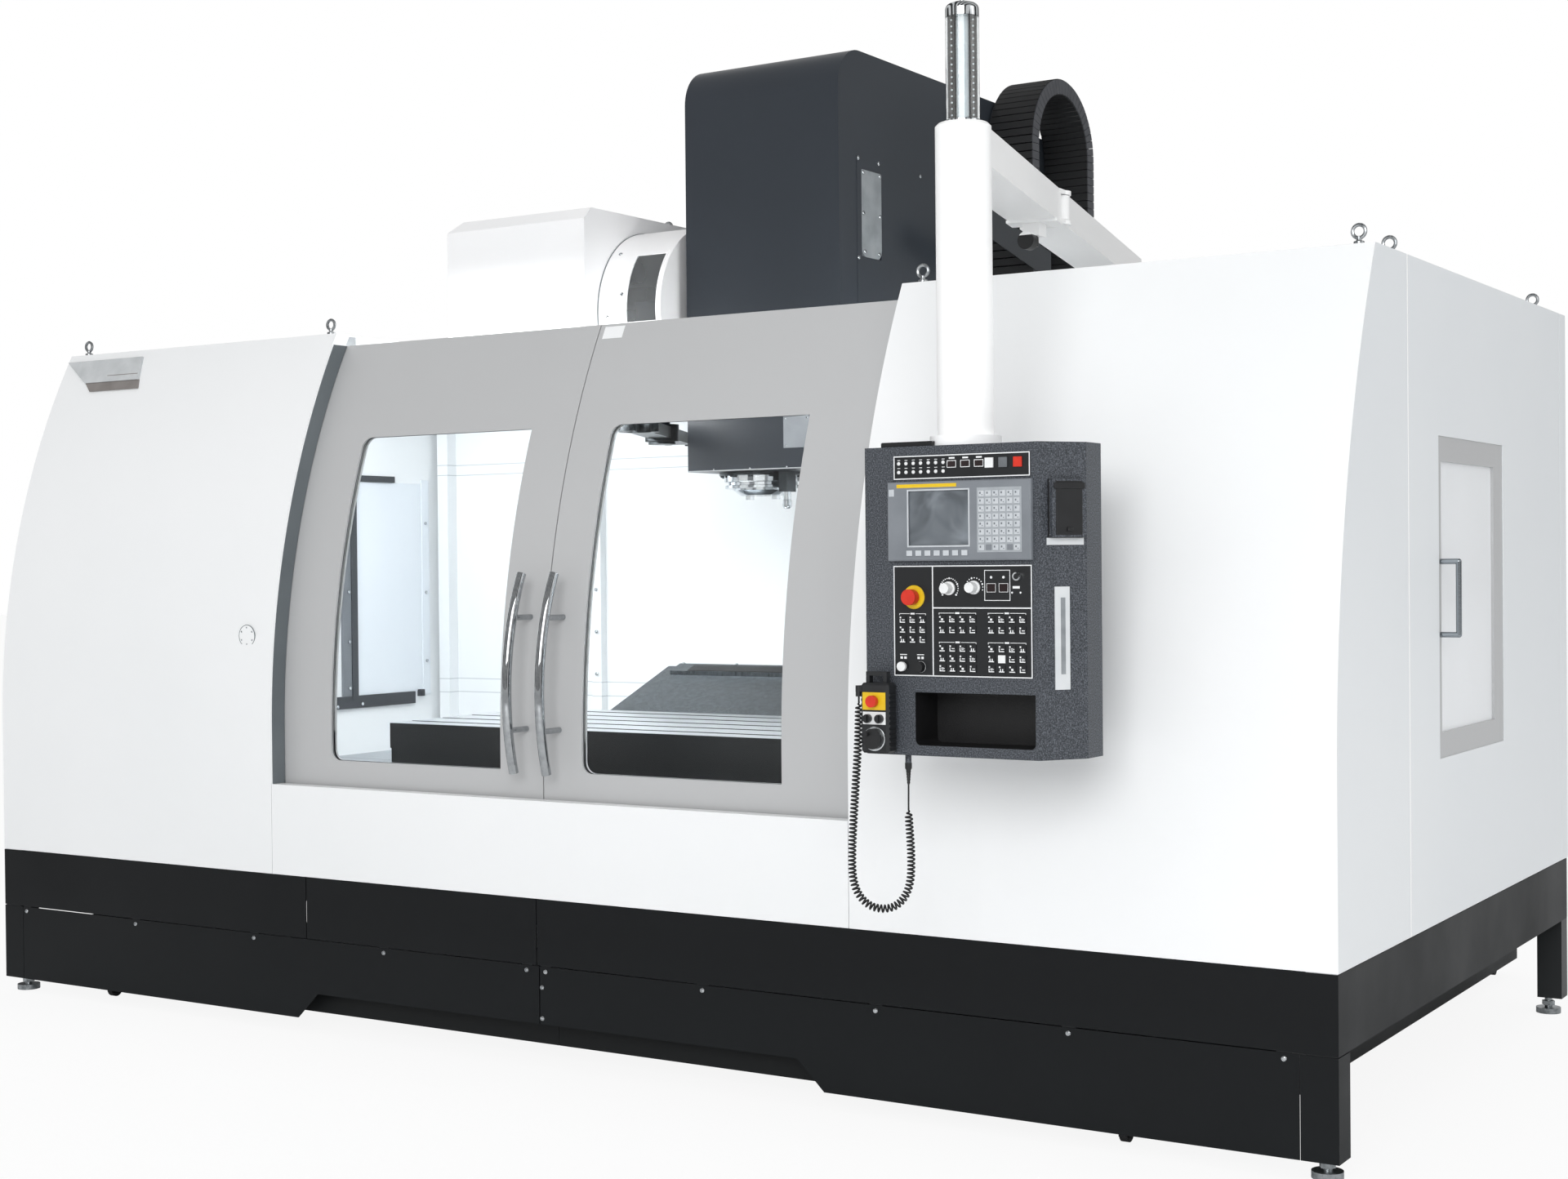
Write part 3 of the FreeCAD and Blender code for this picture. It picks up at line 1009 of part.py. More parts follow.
# --------------------------------------------------------------- spindle head
def build_head():
    """Head casting with four runner blocks, the sheet cover and the spindle."""
    casting_right = HEAD_CASTING_RIGHT
    casting_left = HEAD_LEFT + 8
    y_back = COLUMN_FRONT - RAIL_HEIGHT - 22
    casting = box(casting_left, casting_right, HEAD_FRONT + 40, y_back,
                  HEAD_BOTTOM + SHEET, HEAD_BOTTOM + 420)
    neck = box(casting_left, casting_right, NECK_FRONT, y_back, HEAD_BOTTOM + 400, HEAD_BOTTOM + 900)
    motor = box(-110, 110, SPINDLE_Y - 110, SPINDLE_Y + 110, HEAD_BOTTOM + 400, HEAD_TOP - 260)
    slide = box(-400, 400, INNER_WALL_Y + 8, y_back, HEAD_BOTTOM + 120, HEAD_BOTTOM + 860)
    runners = []
    for x in (-300, 300):
        for z in (HEAD_BOTTOM + 130, HEAD_BOTTOM + 700):
            block = box(x - 60, x + 60, y_back - 1, COLUMN_FRONT - 12, z, z + 150)
            rail = box(x - RAIL_WIDTH / 2 - RUN_GAP, x + RAIL_WIDTH / 2 + RUN_GAP,
                       COLUMN_FRONT - RAIL_HEIGHT - RUN_GAP, COLUMN_FRONT, z - 1, z + 151)
            runners.append(block.cut(rail))
    bore = rod(0, SPINDLE_Y, HEAD_BOTTOM, NOSE_RADIUS - 10, 260)
    casting = fuse([casting, neck, motor, slide] + runners).cut(bore)
    save("head_casting", casting)

    outer = box(HEAD_LEFT, HEAD_RIGHT, HEAD_FRONT, HEAD_REAR, HEAD_BOTTOM, HEAD_TOP)
    nose = edges_where(outer, lambda c: abs(c.y - HEAD_FRONT) < 1 and abs(c.z - HEAD_TOP) < 1)
    outer = outer.makeFillet(HEAD_NOSE_RADIUS, nose)
    inner = box(HEAD_LEFT + SHEET, HEAD_RIGHT - SHEET, HEAD_FRONT + SHEET, HEAD_REAR + 1,
                HEAD_BOTTOM + SHEET, HEAD_TOP - SHEET)
    inner_nose = edges_where(inner, lambda c: abs(c.y - HEAD_FRONT - SHEET) < 1
                             and abs(c.z - HEAD_TOP + SHEET) < 1)
    inner = inner.makeFillet(HEAD_NOSE_RADIUS - SHEET, inner_nose)
    cover = outer.cut(inner)
    cover = cover.cut(rod(0, SPINDLE_Y, HEAD_BOTTOM - 5, NOSE_FLANGE_RADIUS + 1, 12))
    hatch = box(HEAD_RIGHT - 1, HEAD_RIGHT + 2, HATCH_FRONT, HEAD_REAR, HEAD_BOTTOM + 2, HATCH_TOP)
    slot = box(HEAD_RIGHT - 9, HEAD_RIGHT + 9, *HATCH_SLOT)
    bracket = box(HEAD_RIGHT - 1, CHAIN_RIGHT, CHAIN_FRONT_OUT, CHAIN_FRONT_OUT + CHAIN_BAND,
                  CHAIN_FIXED_Z - 30, CHAIN_FIXED_Z)
    save("head_cover", fuse([cover, hatch, bracket]).cut(slot))

    flange = rod(0, SPINDLE_Y, NOSE_FLANGE_Z, NOSE_FLANGE_RADIUS, HEAD_BOTTOM + SHEET - NOSE_FLANGE_Z)
    sleeve = rod(0, SPINDLE_Y, NOSE_FLANGE_Z + 5, NOSE_RADIUS - 12, 240)
    ring = rod(0, SPINDLE_Y, NOSE_RING_Z, NOSE_RING_RADIUS, 24)
    collar = rod(0, SPINDLE_Y, NOSE_Z, NOSE_RADIUS, 24)
    bolts = []
    for index in range(6):
        angle = math.radians(60 * index + 30)
        x = NOSE_BOLT_CIRCLE * math.cos(angle)
        y = SPINDLE_Y + NOSE_BOLT_CIRCLE * math.sin(angle)
        bolts.append(prism_z(polygon(x, y, 8, 6), NOSE_FLANGE_Z - 8, NOSE_FLANGE_Z + 1))
    nozzle_y = SPINDLE_Y - NOZZLE_FORWARD
    nozzle_block = box(NOZZLE_X - 28, NOZZLE_X + 30, nozzle_y - 30, nozzle_y + 30,
                       NOZZLE_Z, NOSE_FLANGE_Z + 1)
    nozzle_tip = rod(NOZZLE_X, nozzle_y, NOZZLE_Z - NOZZLE_LENGTH + 1, NOZZLE_RADIUS, NOZZLE_LENGTH)
    seat = rod(0, SPINDLE_Y, NOZZLE_Z - 90, ROTOR_RADIUS + FIT_GAP, 420)
    housing = fuse([flange, sleeve, ring, collar] + bolts + [nozzle_block, nozzle_tip])
    save("spindle_housing", housing.cut(seat))

    rotor = rod(0, SPINDLE_Y, ROTOR_Z, ROTOR_RADIUS, 300)
    keys = [box(x - 10, x + 10, SPINDLE_Y - 12, SPINDLE_Y + 12, ROTOR_Z - 14, ROTOR_Z + 2)
            for x in (-KEY_CENTRE, KEY_CENTRE)]
    taper = Part.makeCone(TAPER_RADIUS, TAPER_RADIUS - TAPER_DEPTH * 7 / 48, TAPER_DEPTH,
                          vec(0, SPINDLE_Y, ROTOR_Z))
    save("spindle_rotor", fuse([rotor] + keys).cut(taper))


def build_chain():
    """Cable carrier in an upright arch: slatted outside, plain inside."""
    radius = (CHAIN_REAR_OUT - CHAIN_FRONT_OUT) / 2
    centre_y = (CHAIN_REAR_OUT + CHAIN_FRONT_OUT) / 2
    centre_z = CHAIN_TOP - radius

    def at(distance, depth):
        """Point of the outline, measured along the outside from the front foot."""
        leg = centre_z - CHAIN_FIXED_Z
        bend = math.pi * radius
        inner = radius - depth
        if distance < leg:
            return (centre_y - inner, CHAIN_FIXED_Z + distance)
        if distance < leg + bend:
            angle = math.pi - (distance - leg) / radius
            return (centre_y + inner * math.cos(angle), centre_z + inner * math.sin(angle))
        return (centre_y + inner, centre_z - (distance - leg - bend))

    total = 2 * (centre_z - CHAIN_FIXED_Z) + math.pi * radius
    count = int(total / CHAIN_PITCH)
    pitch = total / count
    outer = []
    inner = []
    for index in range(count):
        start = index * pitch
        outer.append(at(start, CHAIN_NOTCH))
        outer.append(at(start + 5, 0))
        outer.append(at(start + pitch - 1, 0))
        inner.append(at(start, CHAIN_BAND))
    outer.append(at(total, CHAIN_NOTCH))
    inner.append(at(total, CHAIN_BAND))
    save("cable_chain", prism_x(outer + inner[::-1], CHAIN_LEFT, CHAIN_RIGHT))


# ------------------------------------------------------------- tool magazine
def build_magazine():
    """Bevelled sheet cabinet, round drum cover, tool disc and tool changer."""
    bevel = CABINET_BEVEL

    def shell(inset):
        x0 = CABINET_LEFT + inset
        x1 = CABINET_RIGHT - inset
        y0 = CABINET_FRONT + inset
        y1 = CABINET_REAR - inset
        body = box(x0, x1, y0, y1, CABINET_BOTTOM + inset, CABINET_TOP - inset)
        top = CABINET_TOP - inset
        rim = edges_where(body, lambda c: abs(c.z - top) < 1
                          and (abs(c.y - y0) < 1 or abs(c.x - x0) < 1))
        return body.makeChamfer(bevel, rim)

    doorway = rod(CABINET_RIGHT - 20, SPINDLE_Y, DRUM_Z, DRUM_RADIUS - 12, 40, X_AXIS)
    pot_gap = box(POT_X0 - 30, CABINET_RIGHT - 120, SPINDLE_Y - 70, SPINDLE_Y + 70, CABINET_BOTTOM - 9,
                  CABINET_BOTTOM + 9)
    axle = fuse([rod(CABINET_LEFT + 1, SPINDLE_Y, DRUM_Z, 40, DISC_X0 - CABINET_LEFT - 1 - RUN_GAP, X_AXIS),
                 rod(CABINET_LEFT + 1, SPINDLE_Y, DRUM_Z, 25, POT_X0 + 40 - CABINET_LEFT, X_AXIS)])
    cabinet = shell(0).cut(shell(SHEET)).cut(doorway).cut(pot_gap)
    save("magazine_cabinet", fuse([cabinet, axle]))

    outer = rod(CABINET_RIGHT, SPINDLE_Y, DRUM_Z, DRUM_RADIUS, DRUM_END - CABINET_RIGHT, X_AXIS)
    inner = rod(CABINET_RIGHT - 1, SPINDLE_Y, DRUM_Z, DRUM_RADIUS - SHEET,
                DRUM_END - CABINET_RIGHT - SHEET + 1, X_AXIS)
    drum = outer.cut(inner)
    opening = box(WINDOW_LEFT, WINDOW_RIGHT, SPINDLE_Y - DRUM_RADIUS - 9, SPINDLE_Y - 200, DRUM_Z - 40,
                  DRUM_Z + 200)
    under = box(CABINET_RIGHT - 1, DRUM_END - 25, SPINDLE_Y - 150, SPINDLE_Y + 150,
                DRUM_Z - DRUM_RADIUS - 9, DRUM_Z - 200)
    save("drum_cover", drum.cut(opening).cut(under))

    disc = rod(DISC_X0, SPINDLE_Y, DRUM_Z, 285, POT_X0 - DISC_X0, X_AXIS)
    disc = disc.cut(rod(DISC_X0 - 1, SPINDLE_Y, DRUM_Z, 25 + FIT_GAP, 400, X_AXIS))
    pots = []
    for index in range(POT_COUNT):
        angle = 2 * math.pi * index / POT_COUNT
        y = SPINDLE_Y + POT_CIRCLE * math.cos(angle)
        z = DRUM_Z + POT_CIRCLE * math.sin(angle)
        pots.append(rod(POT_X0 - 1, y, z, POT_RADIUS, POT_LENGTH, X_AXIS))
    save("tool_disc", fuse([disc] + pots))

    gearbox = box(CABINET_RIGHT + 1, CHANGER_X + 62, SPINDLE_Y - 90, SPINDLE_Y + 90, CABINET_BOTTOM - 1,
                  DRUM_Z + 60)
    plate = box(CABINET_RIGHT - 110, CHANGER_X + 62, SPINDLE_Y - 90, SPINDLE_Y + 90, CABINET_BOTTOM - 22,
                CABINET_BOTTOM)
    bore = rod(CHANGER_X, SPINDLE_Y, CHANGER_ARM_Z, 30 + FIT_GAP, 420)
    save("changer_gearbox", fuse([gearbox, plate]).cut(bore))

    save("changer_shaft", rod(CHANGER_X, SPINDLE_Y, CHANGER_ARM_Z - 8, 30, 326))
    build_changer_arm()


def build_changer_arm():
    """Double-ended arm with two open grippers, parked off the line of centres."""
    half = -CHANGER_X
    z0 = CHANGER_ARM_Z
    hub = rod(0, 0, z0 - 10, 62, 62)
    bar = box(-half, half, -42, 42, z0, z0 + 42)
    tips = [rod(side * half, 0, z0, 70, 42) for side in (-1, 1)]
    mouths = []
    for side in (-1, 1):
        mouths.append(rod(side * half, 0, z0 - 1, 44, 60))
        mouths.append(box(min(side * half, side * (half + 90)), max(side * half, side * (half + 90)),
                          0, 90, z0 - 1, z0 + 60) if side > 0 else
                      box(-half - 90, -half, -90, 0, z0 - 1, z0 + 60))
    arm = cut(fuse([hub, bar] + tips), mouths)
    arm = arm.cut(rod(0, 0, z0 - 20, 30 + FIT_GAP, 100))
    cap = rod(0, 0, z0 - 20, 50, 11)
    arm = fuse([arm, cap])
    arm.rotate(vec(0, 0, 0), Z_AXIS, 90 - CHANGER_PARK_ANGLE + 2 * CHANGER_PARK_ANGLE)
    arm.translate(vec(CHANGER_X, SPINDLE_Y, 0))
    save("changer_arm", arm)


# ----------------------------------------------------- console arm and tower


def along(x, y, distance, sideways):
    """Point at a distance along the straight arm from (x, y), and to its right."""
    angle = math.radians(ARM_ANGLE)
    return (x + distance * math.cos(angle) - sideways * math.sin(angle),
            y + distance * math.sin(angle) + sideways * math.cos(angle))


def beam(x, y, start, end, z0, z1, half_width, wall):
    """Rectangular tube laid along the arm's direction."""
    def outline(inset, extra):
        side = half_width - inset
        return [along(x, y, start - extra, -side), along(x, y, end + extra, -side),
                along(x, y, end + extra, side), along(x, y, start - extra, side)]
    outer = prism_z(outline(0, 0), z0, z1)
    inner = prism_z(outline(wall, -wall), z0 + wall, z1 - wall)
    return outer.cut(inner)


def build_arm():
    z0 = BEAM_TOP - BEAM_HEIGHT
    half = BEAM_WIDTH / 2
    length = math.hypot(POLE_X - ARM_POST_X, POLE_Y - ARM_POST_Y)
    elbow = (ELBOW_X - ARM_POST_X) * math.cos(math.radians(ARM_ANGLE)) \
        + (ELBOW_Y - ARM_POST_Y) * math.sin(math.radians(ARM_ANGLE))

    rear = beam(ARM_POST_X, ARM_POST_Y, -70, elbow - ELBOW_GAP, z0, BEAM_TOP, half, 6)
    boss = rod(ARM_POST_X, ARM_POST_Y, z0, 62, BEAM_HEIGHT)
    rear_bore = rod(ARM_POST_X, ARM_POST_Y, z0 - 1, PIVOT_RADIUS + FIT_GAP, BEAM_HEIGHT + 2)
    barrel = rod(ELBOW_X, ELBOW_Y, z0 + 12, HINGE_RADIUS, BEAM_HEIGHT - 24)
    lug_points = [along(ELBOW_X, ELBOW_Y, -ELBOW_GAP - 14, -24), along(ELBOW_X, ELBOW_Y, 0, -22),
                  along(ELBOW_X, ELBOW_Y, 0, 22), along(ELBOW_X, ELBOW_Y, -ELBOW_GAP - 14, 8)]
    lug = prism_z(lug_points, z0 + 12, BEAM_TOP - 12)
    pin_hole = rod(ELBOW_X, ELBOW_Y, z0, HINGE_PIN + FIT_GAP, BEAM_HEIGHT)
    save("rear_arm", cut(fuse([rear, boss, lug, barrel]), [rear_bore, pin_hole]))

    front = beam(ARM_POST_X, ARM_POST_Y, elbow + ELBOW_GAP, length, z0, BEAM_TOP, half, 6)
    pole = rod(POLE_X, POLE_Y, POLE_BOTTOM, POLE_RADIUS, POLE_TOP - POLE_BOTTOM)
    rim = edges_where(pole, lambda c: abs(c.z - POLE_TOP) < 1)
    pole = pole.makeChamfer(8, rim)
    bore = rod(POLE_X, POLE_Y, POLE_BOTTOM - 1, POLE_RADIUS - 8, 650)
    ears = []
    for z in (z0 - 2, BEAM_TOP - 10):
        ears.append(rod(ELBOW_X, ELBOW_Y, z, HINGE_RADIUS + 4, 12))
        ear_points = [along(ELBOW_X, ELBOW_Y, 0, -26), along(ELBOW_X, ELBOW_Y, ELBOW_GAP + 20, -26),
                      along(ELBOW_X, ELBOW_Y, ELBOW_GAP + 20, 12), along(ELBOW_X, ELBOW_Y, 0, 26)]
        ears.append(prism_z(ear_points, z, z + 12))
    pin = rod(ELBOW_X, ELBOW_Y, z0 - 1, HINGE_PIN, BEAM_HEIGHT + 2)
    plate = prism_z([along(ARM_POST_X, ARM_POST_Y, elbow + ELBOW_GAP, -half - 4),
                     along(ARM_POST_X, ARM_POST_Y, elbow + ELBOW_GAP + 90, -half - 4),
                     along(ARM_POST_X, ARM_POST_Y, elbow + ELBOW_GAP + 90, half + 4),
                     along(ARM_POST_X, ARM_POST_Y, elbow + ELBOW_GAP, half + 4)], z0 - 8, z0)
    clamp_x, clamp_y = along(ARM_POST_X, ARM_POST_Y, elbow + ELBOW_GAP + 45, 0)
    clamp = box(clamp_x - 26, clamp_x + 26, clamp_y - 26, clamp_y + 26, z0 - 46, z0 - 7)
    knob = rod(clamp_x, clamp_y - 60, z0 - 62, 26, 34, Y_AXIS)
    stem = rod(clamp_x, clamp_y - 30, z0 - 62, 9, 40, Y_AXIS)
    drop = rod(clamp_x, clamp_y, z0 - 74, 12, 40)
    save("front_arm", fuse([cut(fuse([front, pole]), [bore]), pin, plate, clamp, knob, stem, drop] + ears))


def build_tower():
    """Clear signal tower with its lit core and cap, on top of the pole."""
    base = rod(POLE_X, POLE_Y, POLE_TOP, TOWER_RADIUS + 4, 8)
    core = rod(POLE_X, POLE_Y, POLE_TOP + 7, 20, TOWER_TOP - POLE_TOP - 50)
    cap = rod(POLE_X, POLE_Y, TOWER_TOP - TOWER_CAP, TOWER_RADIUS, 26)
    crown = rod(POLE_X, POLE_Y, TOWER_TOP - 19, TOWER_RADIUS - 8, 11)
    knob = rod(POLE_X, POLE_Y, TOWER_TOP - 9, 7, 9)
    lens = rod(POLE_X, POLE_Y, POLE_TOP + 8, TOWER_RADIUS, TOWER_TOP - TOWER_CAP - POLE_TOP - 8)
    inside = rod(POLE_X, POLE_Y, POLE_TOP + 7, TOWER_RADIUS - TOWER_WALL, TOWER_TOP - POLE_TOP)
    save("signal_tower", group([fuse([base, core, cap, crown, knob]), lens.cut(inside)]))


# ------------------------------------------------------------------- console


def panel_plate(outline):
    x0, x1, z0, z1 = outline
    return box(x0, x1, CONSOLE_FRONT - PANEL_PROUD, CONSOLE_FRONT, z0, z1)


def build_console():
    outline = [(CONSOLE_LEFT, CONSOLE_FRONT), (CONSOLE_RIGHT, CONSOLE_FRONT),
               (CONSOLE_SIDE_X, CONSOLE_SIDE_Y), (CONSOLE_SIDE_X, CONSOLE_BACK), (CONSOLE_LEFT, CONSOLE_BACK)]
    body = prism_z(outline, CONSOLE_BOTTOM, CONSOLE_TOP)
    inner = [(CONSOLE_LEFT + SHEET, CONSOLE_FRONT + SHEET), (CONSOLE_RIGHT - SHEET, CONSOLE_FRONT + SHEET),
             (CONSOLE_SIDE_X - SHEET - 2, CONSOLE_SIDE_Y + SHEET / 2),
             (CONSOLE_SIDE_X - SHEET - 2, CONSOLE_BACK - SHEET), (CONSOLE_LEFT + SHEET, CONSOLE_BACK - SHEET)]
    body = body.cut(prism_z(inner, CONSOLE_BOTTOM + SHEET, CONSOLE_TOP - SHEET))
    pocket_wall = box(POCKET_LEFT - SHEET, POCKET_RIGHT + SHEET, CONSOLE_FRONT + 1,
                      CONSOLE_FRONT + POCKET_DEPTH, POCKET_BOTTOM - SHEET, POCKET_TOP + SHEET)
    pocket_wall = pocket_wall.common(prism_z(outline, CONSOLE_BOTTOM, CONSOLE_TOP))
    pocket = box(POCKET_LEFT, POCKET_RIGHT, CONSOLE_FRONT - 1, CONSOLE_FRONT + POCKET_DEPTH - SHEET,
                 POCKET_BOTTOM, POCKET_TOP)
    lower = [e for e in pocket.Edges if abs(e.CenterOfMass.z - POCKET_BOTTOM) < 1
             and (abs(e.CenterOfMass.x - POCKET_LEFT) < 1 or abs(e.CenterOfMass.x - POCKET_RIGHT) < 1)]
    pocket = pocket.makeFillet(14, lower)
    body = fuse([body, pocket_wall]).cut(pocket)
    flange = rod(POLE_X, POLE_Y, CONSOLE_TOP - 1, 91, POLE_BOTTOM - CONSOLE_TOP + 1 - RUN_GAP)
    spigot = rod(POLE_X, POLE_Y, CONSOLE_TOP - 1, POLE_RADIUS - 8 - FIT_GAP, 90)
    cover = prism_z([(CONSOLE_LEFT + 40, CONSOLE_FRONT + 14), (CONSOLE_LEFT + 190, CONSOLE_FRONT + 14),
                     (CONSOLE_LEFT + 190, CONSOLE_BACK - 20), (CONSOLE_LEFT + 40, CONSOLE_BACK - 20)],
                    CONSOLE_TOP - 1, CONSOLE_TOP + 12)
    cover = cover.cut(rod(POLE_X, POLE_Y, CONSOLE_TOP + 0.5, 92, 40))
    relief = rod(CORD_END[0], CORD_END[1], CORD_END[2], 8, CONSOLE_BOTTOM - CORD_END[2] + 1)
    box_shape = fuse([body, flange, spigot, cover, relief] + side_face_parts())
    sockets = [rod(ESTOP[0], CONSOLE_FRONT - 1, ESTOP[1], 10 + FIT_GAP, 60, Y_AXIS)]
    for x, z in KNOBS:
        sockets.append(rod(x, CONSOLE_FRONT - 1, z, 5 + FIT_GAP, 60, Y_AXIS))
    for x, z in BUTTONS:
        sockets.append(rod(x, CONSOLE_FRONT - 1, z, 10 + FIT_GAP, 60, Y_AXIS))
    save("control_box", cut(box_shape, sockets))

    plate = panel_plate(KEY_PLATE)
    raised = []
    face = CONSOLE_FRONT - PANEL_PROUD
    for x0, columns, rows in key_blocks():
        for column in range(columns):
            for z in rows:
                x = x0 + column * KEY_PITCH
                raised.append(box(x, x + KEY_SIZE, face - 2, face + 1, z - KEY_SIZE / 2, z + KEY_SIZE / 2))
    display = box(DISPLAY[0], DISPLAY[1], face - 1.5, face + 1, DISPLAY[2], DISPLAY[3])
    raised.append(display)
    raised.append(rod(KEY_SWITCH[0], face - 12, KEY_SWITCH[1], 11, 13, Y_AXIS))
    raised.append(rod(ESTOP[0], face - 4, ESTOP[1], 26, 5, Y_AXIS))
    for x, z in BUTTONS:
        raised.append(rod(x, face - 3, z, 14, 4, Y_AXIS))
    keys = fuse([plate] + raised)
    holes = [rod(ESTOP[0], face - 20, ESTOP[1], 10 + FIT_GAP, 60, Y_AXIS)]
    for x, z in KNOBS:
        holes.append(rod(x, face - 20, z, 5 + FIT_GAP, 60, Y_AXIS))
    for x, z in BUTTONS:
        holes.append(rod(x, face - 20, z, 10 + FIT_GAP, 60, Y_AXIS))
    strip = [panel_plate(LAMP_PLATE)]
    strip += [box(x, x + 22, face - 4, face + 1, STRIP_Z, STRIP_Z + 24) for x in STRIP_BUTTONS]
    strip += [box(x, x + 24, face - 1.5, face + 1, STRIP_Z + 4, STRIP_Z + 20) for x in STRIP_WINDOWS]
    save("operator_panel", group([cut(keys, holes), fuse(strip)]))
    build_screen()
    build_controls(face)


def key_blocks():
    """First column's left edge, column count and row heights of each key field."""
    upper = (1397.0, 1370.0)
    lower = (1324.0, 1299.0, 1274.0)
    return ((1505.0, 3, (1395.0, 1370.0, 1345.0)), (1618.0, 4, upper), (1755.0, 4, upper),
            (1618.0, 4, lower), (1755.0, 4, lower))


def side_face_parts():
    """Port cover and slotted strip on the console's slanted right face."""
    dx = CONSOLE_SIDE_X - CONSOLE_RIGHT
    dy = CONSOLE_SIDE_Y - CONSOLE_FRONT
    length = math.hypot(dx, dy)
    ux = dx / length
    uy = dy / length

    def slab(start, end, z0, z1, proud):
        points = []
        for distance, depth in ((start, -1.0), (end, -1.0), (end, proud), (start, proud)):
            points.append((CONSOLE_RIGHT + ux * distance + uy * depth,
                           CONSOLE_FRONT + uy * distance - ux * depth))
        return prism_z(points, z0, z1)

    return [slab(*PORT_COVER), slab(*PORT_PLATE), slab(*SIDE_STRIP)]


def build_screen():
    x0, x1, z0, z1 = SCREEN_UNIT
    front = CONSOLE_FRONT - SCREEN_PROUD
    bezel = box(x0, x1, front, CONSOLE_FRONT, z0, z1)
    bezel = bezel.makeChamfer(3, edges_where(bezel, lambda c: abs(c.y - front) < 1))
    recess = box(SCREEN_LEFT, SCREEN_RIGHT, front - 1, front + SCREEN_SUNK, SCREEN_LOW, SCREEN_HIGH)
    keys = []
    for column in range(SOFT_KEYS):
        x = SOFT_KEY_X + column * SOFT_KEY_PITCH
        keys.append(box(x, x + 16, front - 2, front + 1, SOFT_KEY_Z, SOFT_KEY_Z + 13))
    for column in range(PAD_COLUMNS):
        for row in range(PAD_ROWS):
            x = PAD_X + column * PAD_PITCH_X
            z = PAD_Z + row * PAD_PITCH_Z
            keys.append(box(x, x + PAD_KEY_WIDTH, front - 2, front + 1, z, z + PAD_KEY_HEIGHT))
    save("screen_unit", fuse([bezel.cut(recess)] + keys))


def button(x, z, face, stem, head, head_length, name):
    shaft = rod(x, face - 8, z, stem, 30, Y_AXIS)
    cap = rod(x, face - 8 - head_length, z, head, head_length, Y_AXIS)
    save(name, fuse([shaft, cap]))


def build_controls(face):
    button(ESTOP[0], ESTOP[1], face - 3, 10, 20, 22, "estop_button")
    for name, (x, z) in zip(("start_button", "stop_button"), BUTTONS):
        button(x, z, face + 1, 10, 12, 8, name)
    for name, (x, z) in zip(("feed_knob", "speed_knob"), KNOBS):
        shaft = rod(x, face - 2, z, 5, 22, Y_AXIS)
        skirt = rod(x, face - 5, z, 17, 4, Y_AXIS)
        grip = prism_y(polygon(x, z, KNOB_GRIP_RADIUS, KNOB_SIDES), face - 30, face - 4)
        mark = box(x - 1, x + 1, face - 31, face - 6, z + 8, z + 14)
        save(name, fuse([shaft, skirt, grip, mark]))


# ------------------------------------------------------------------ pendant


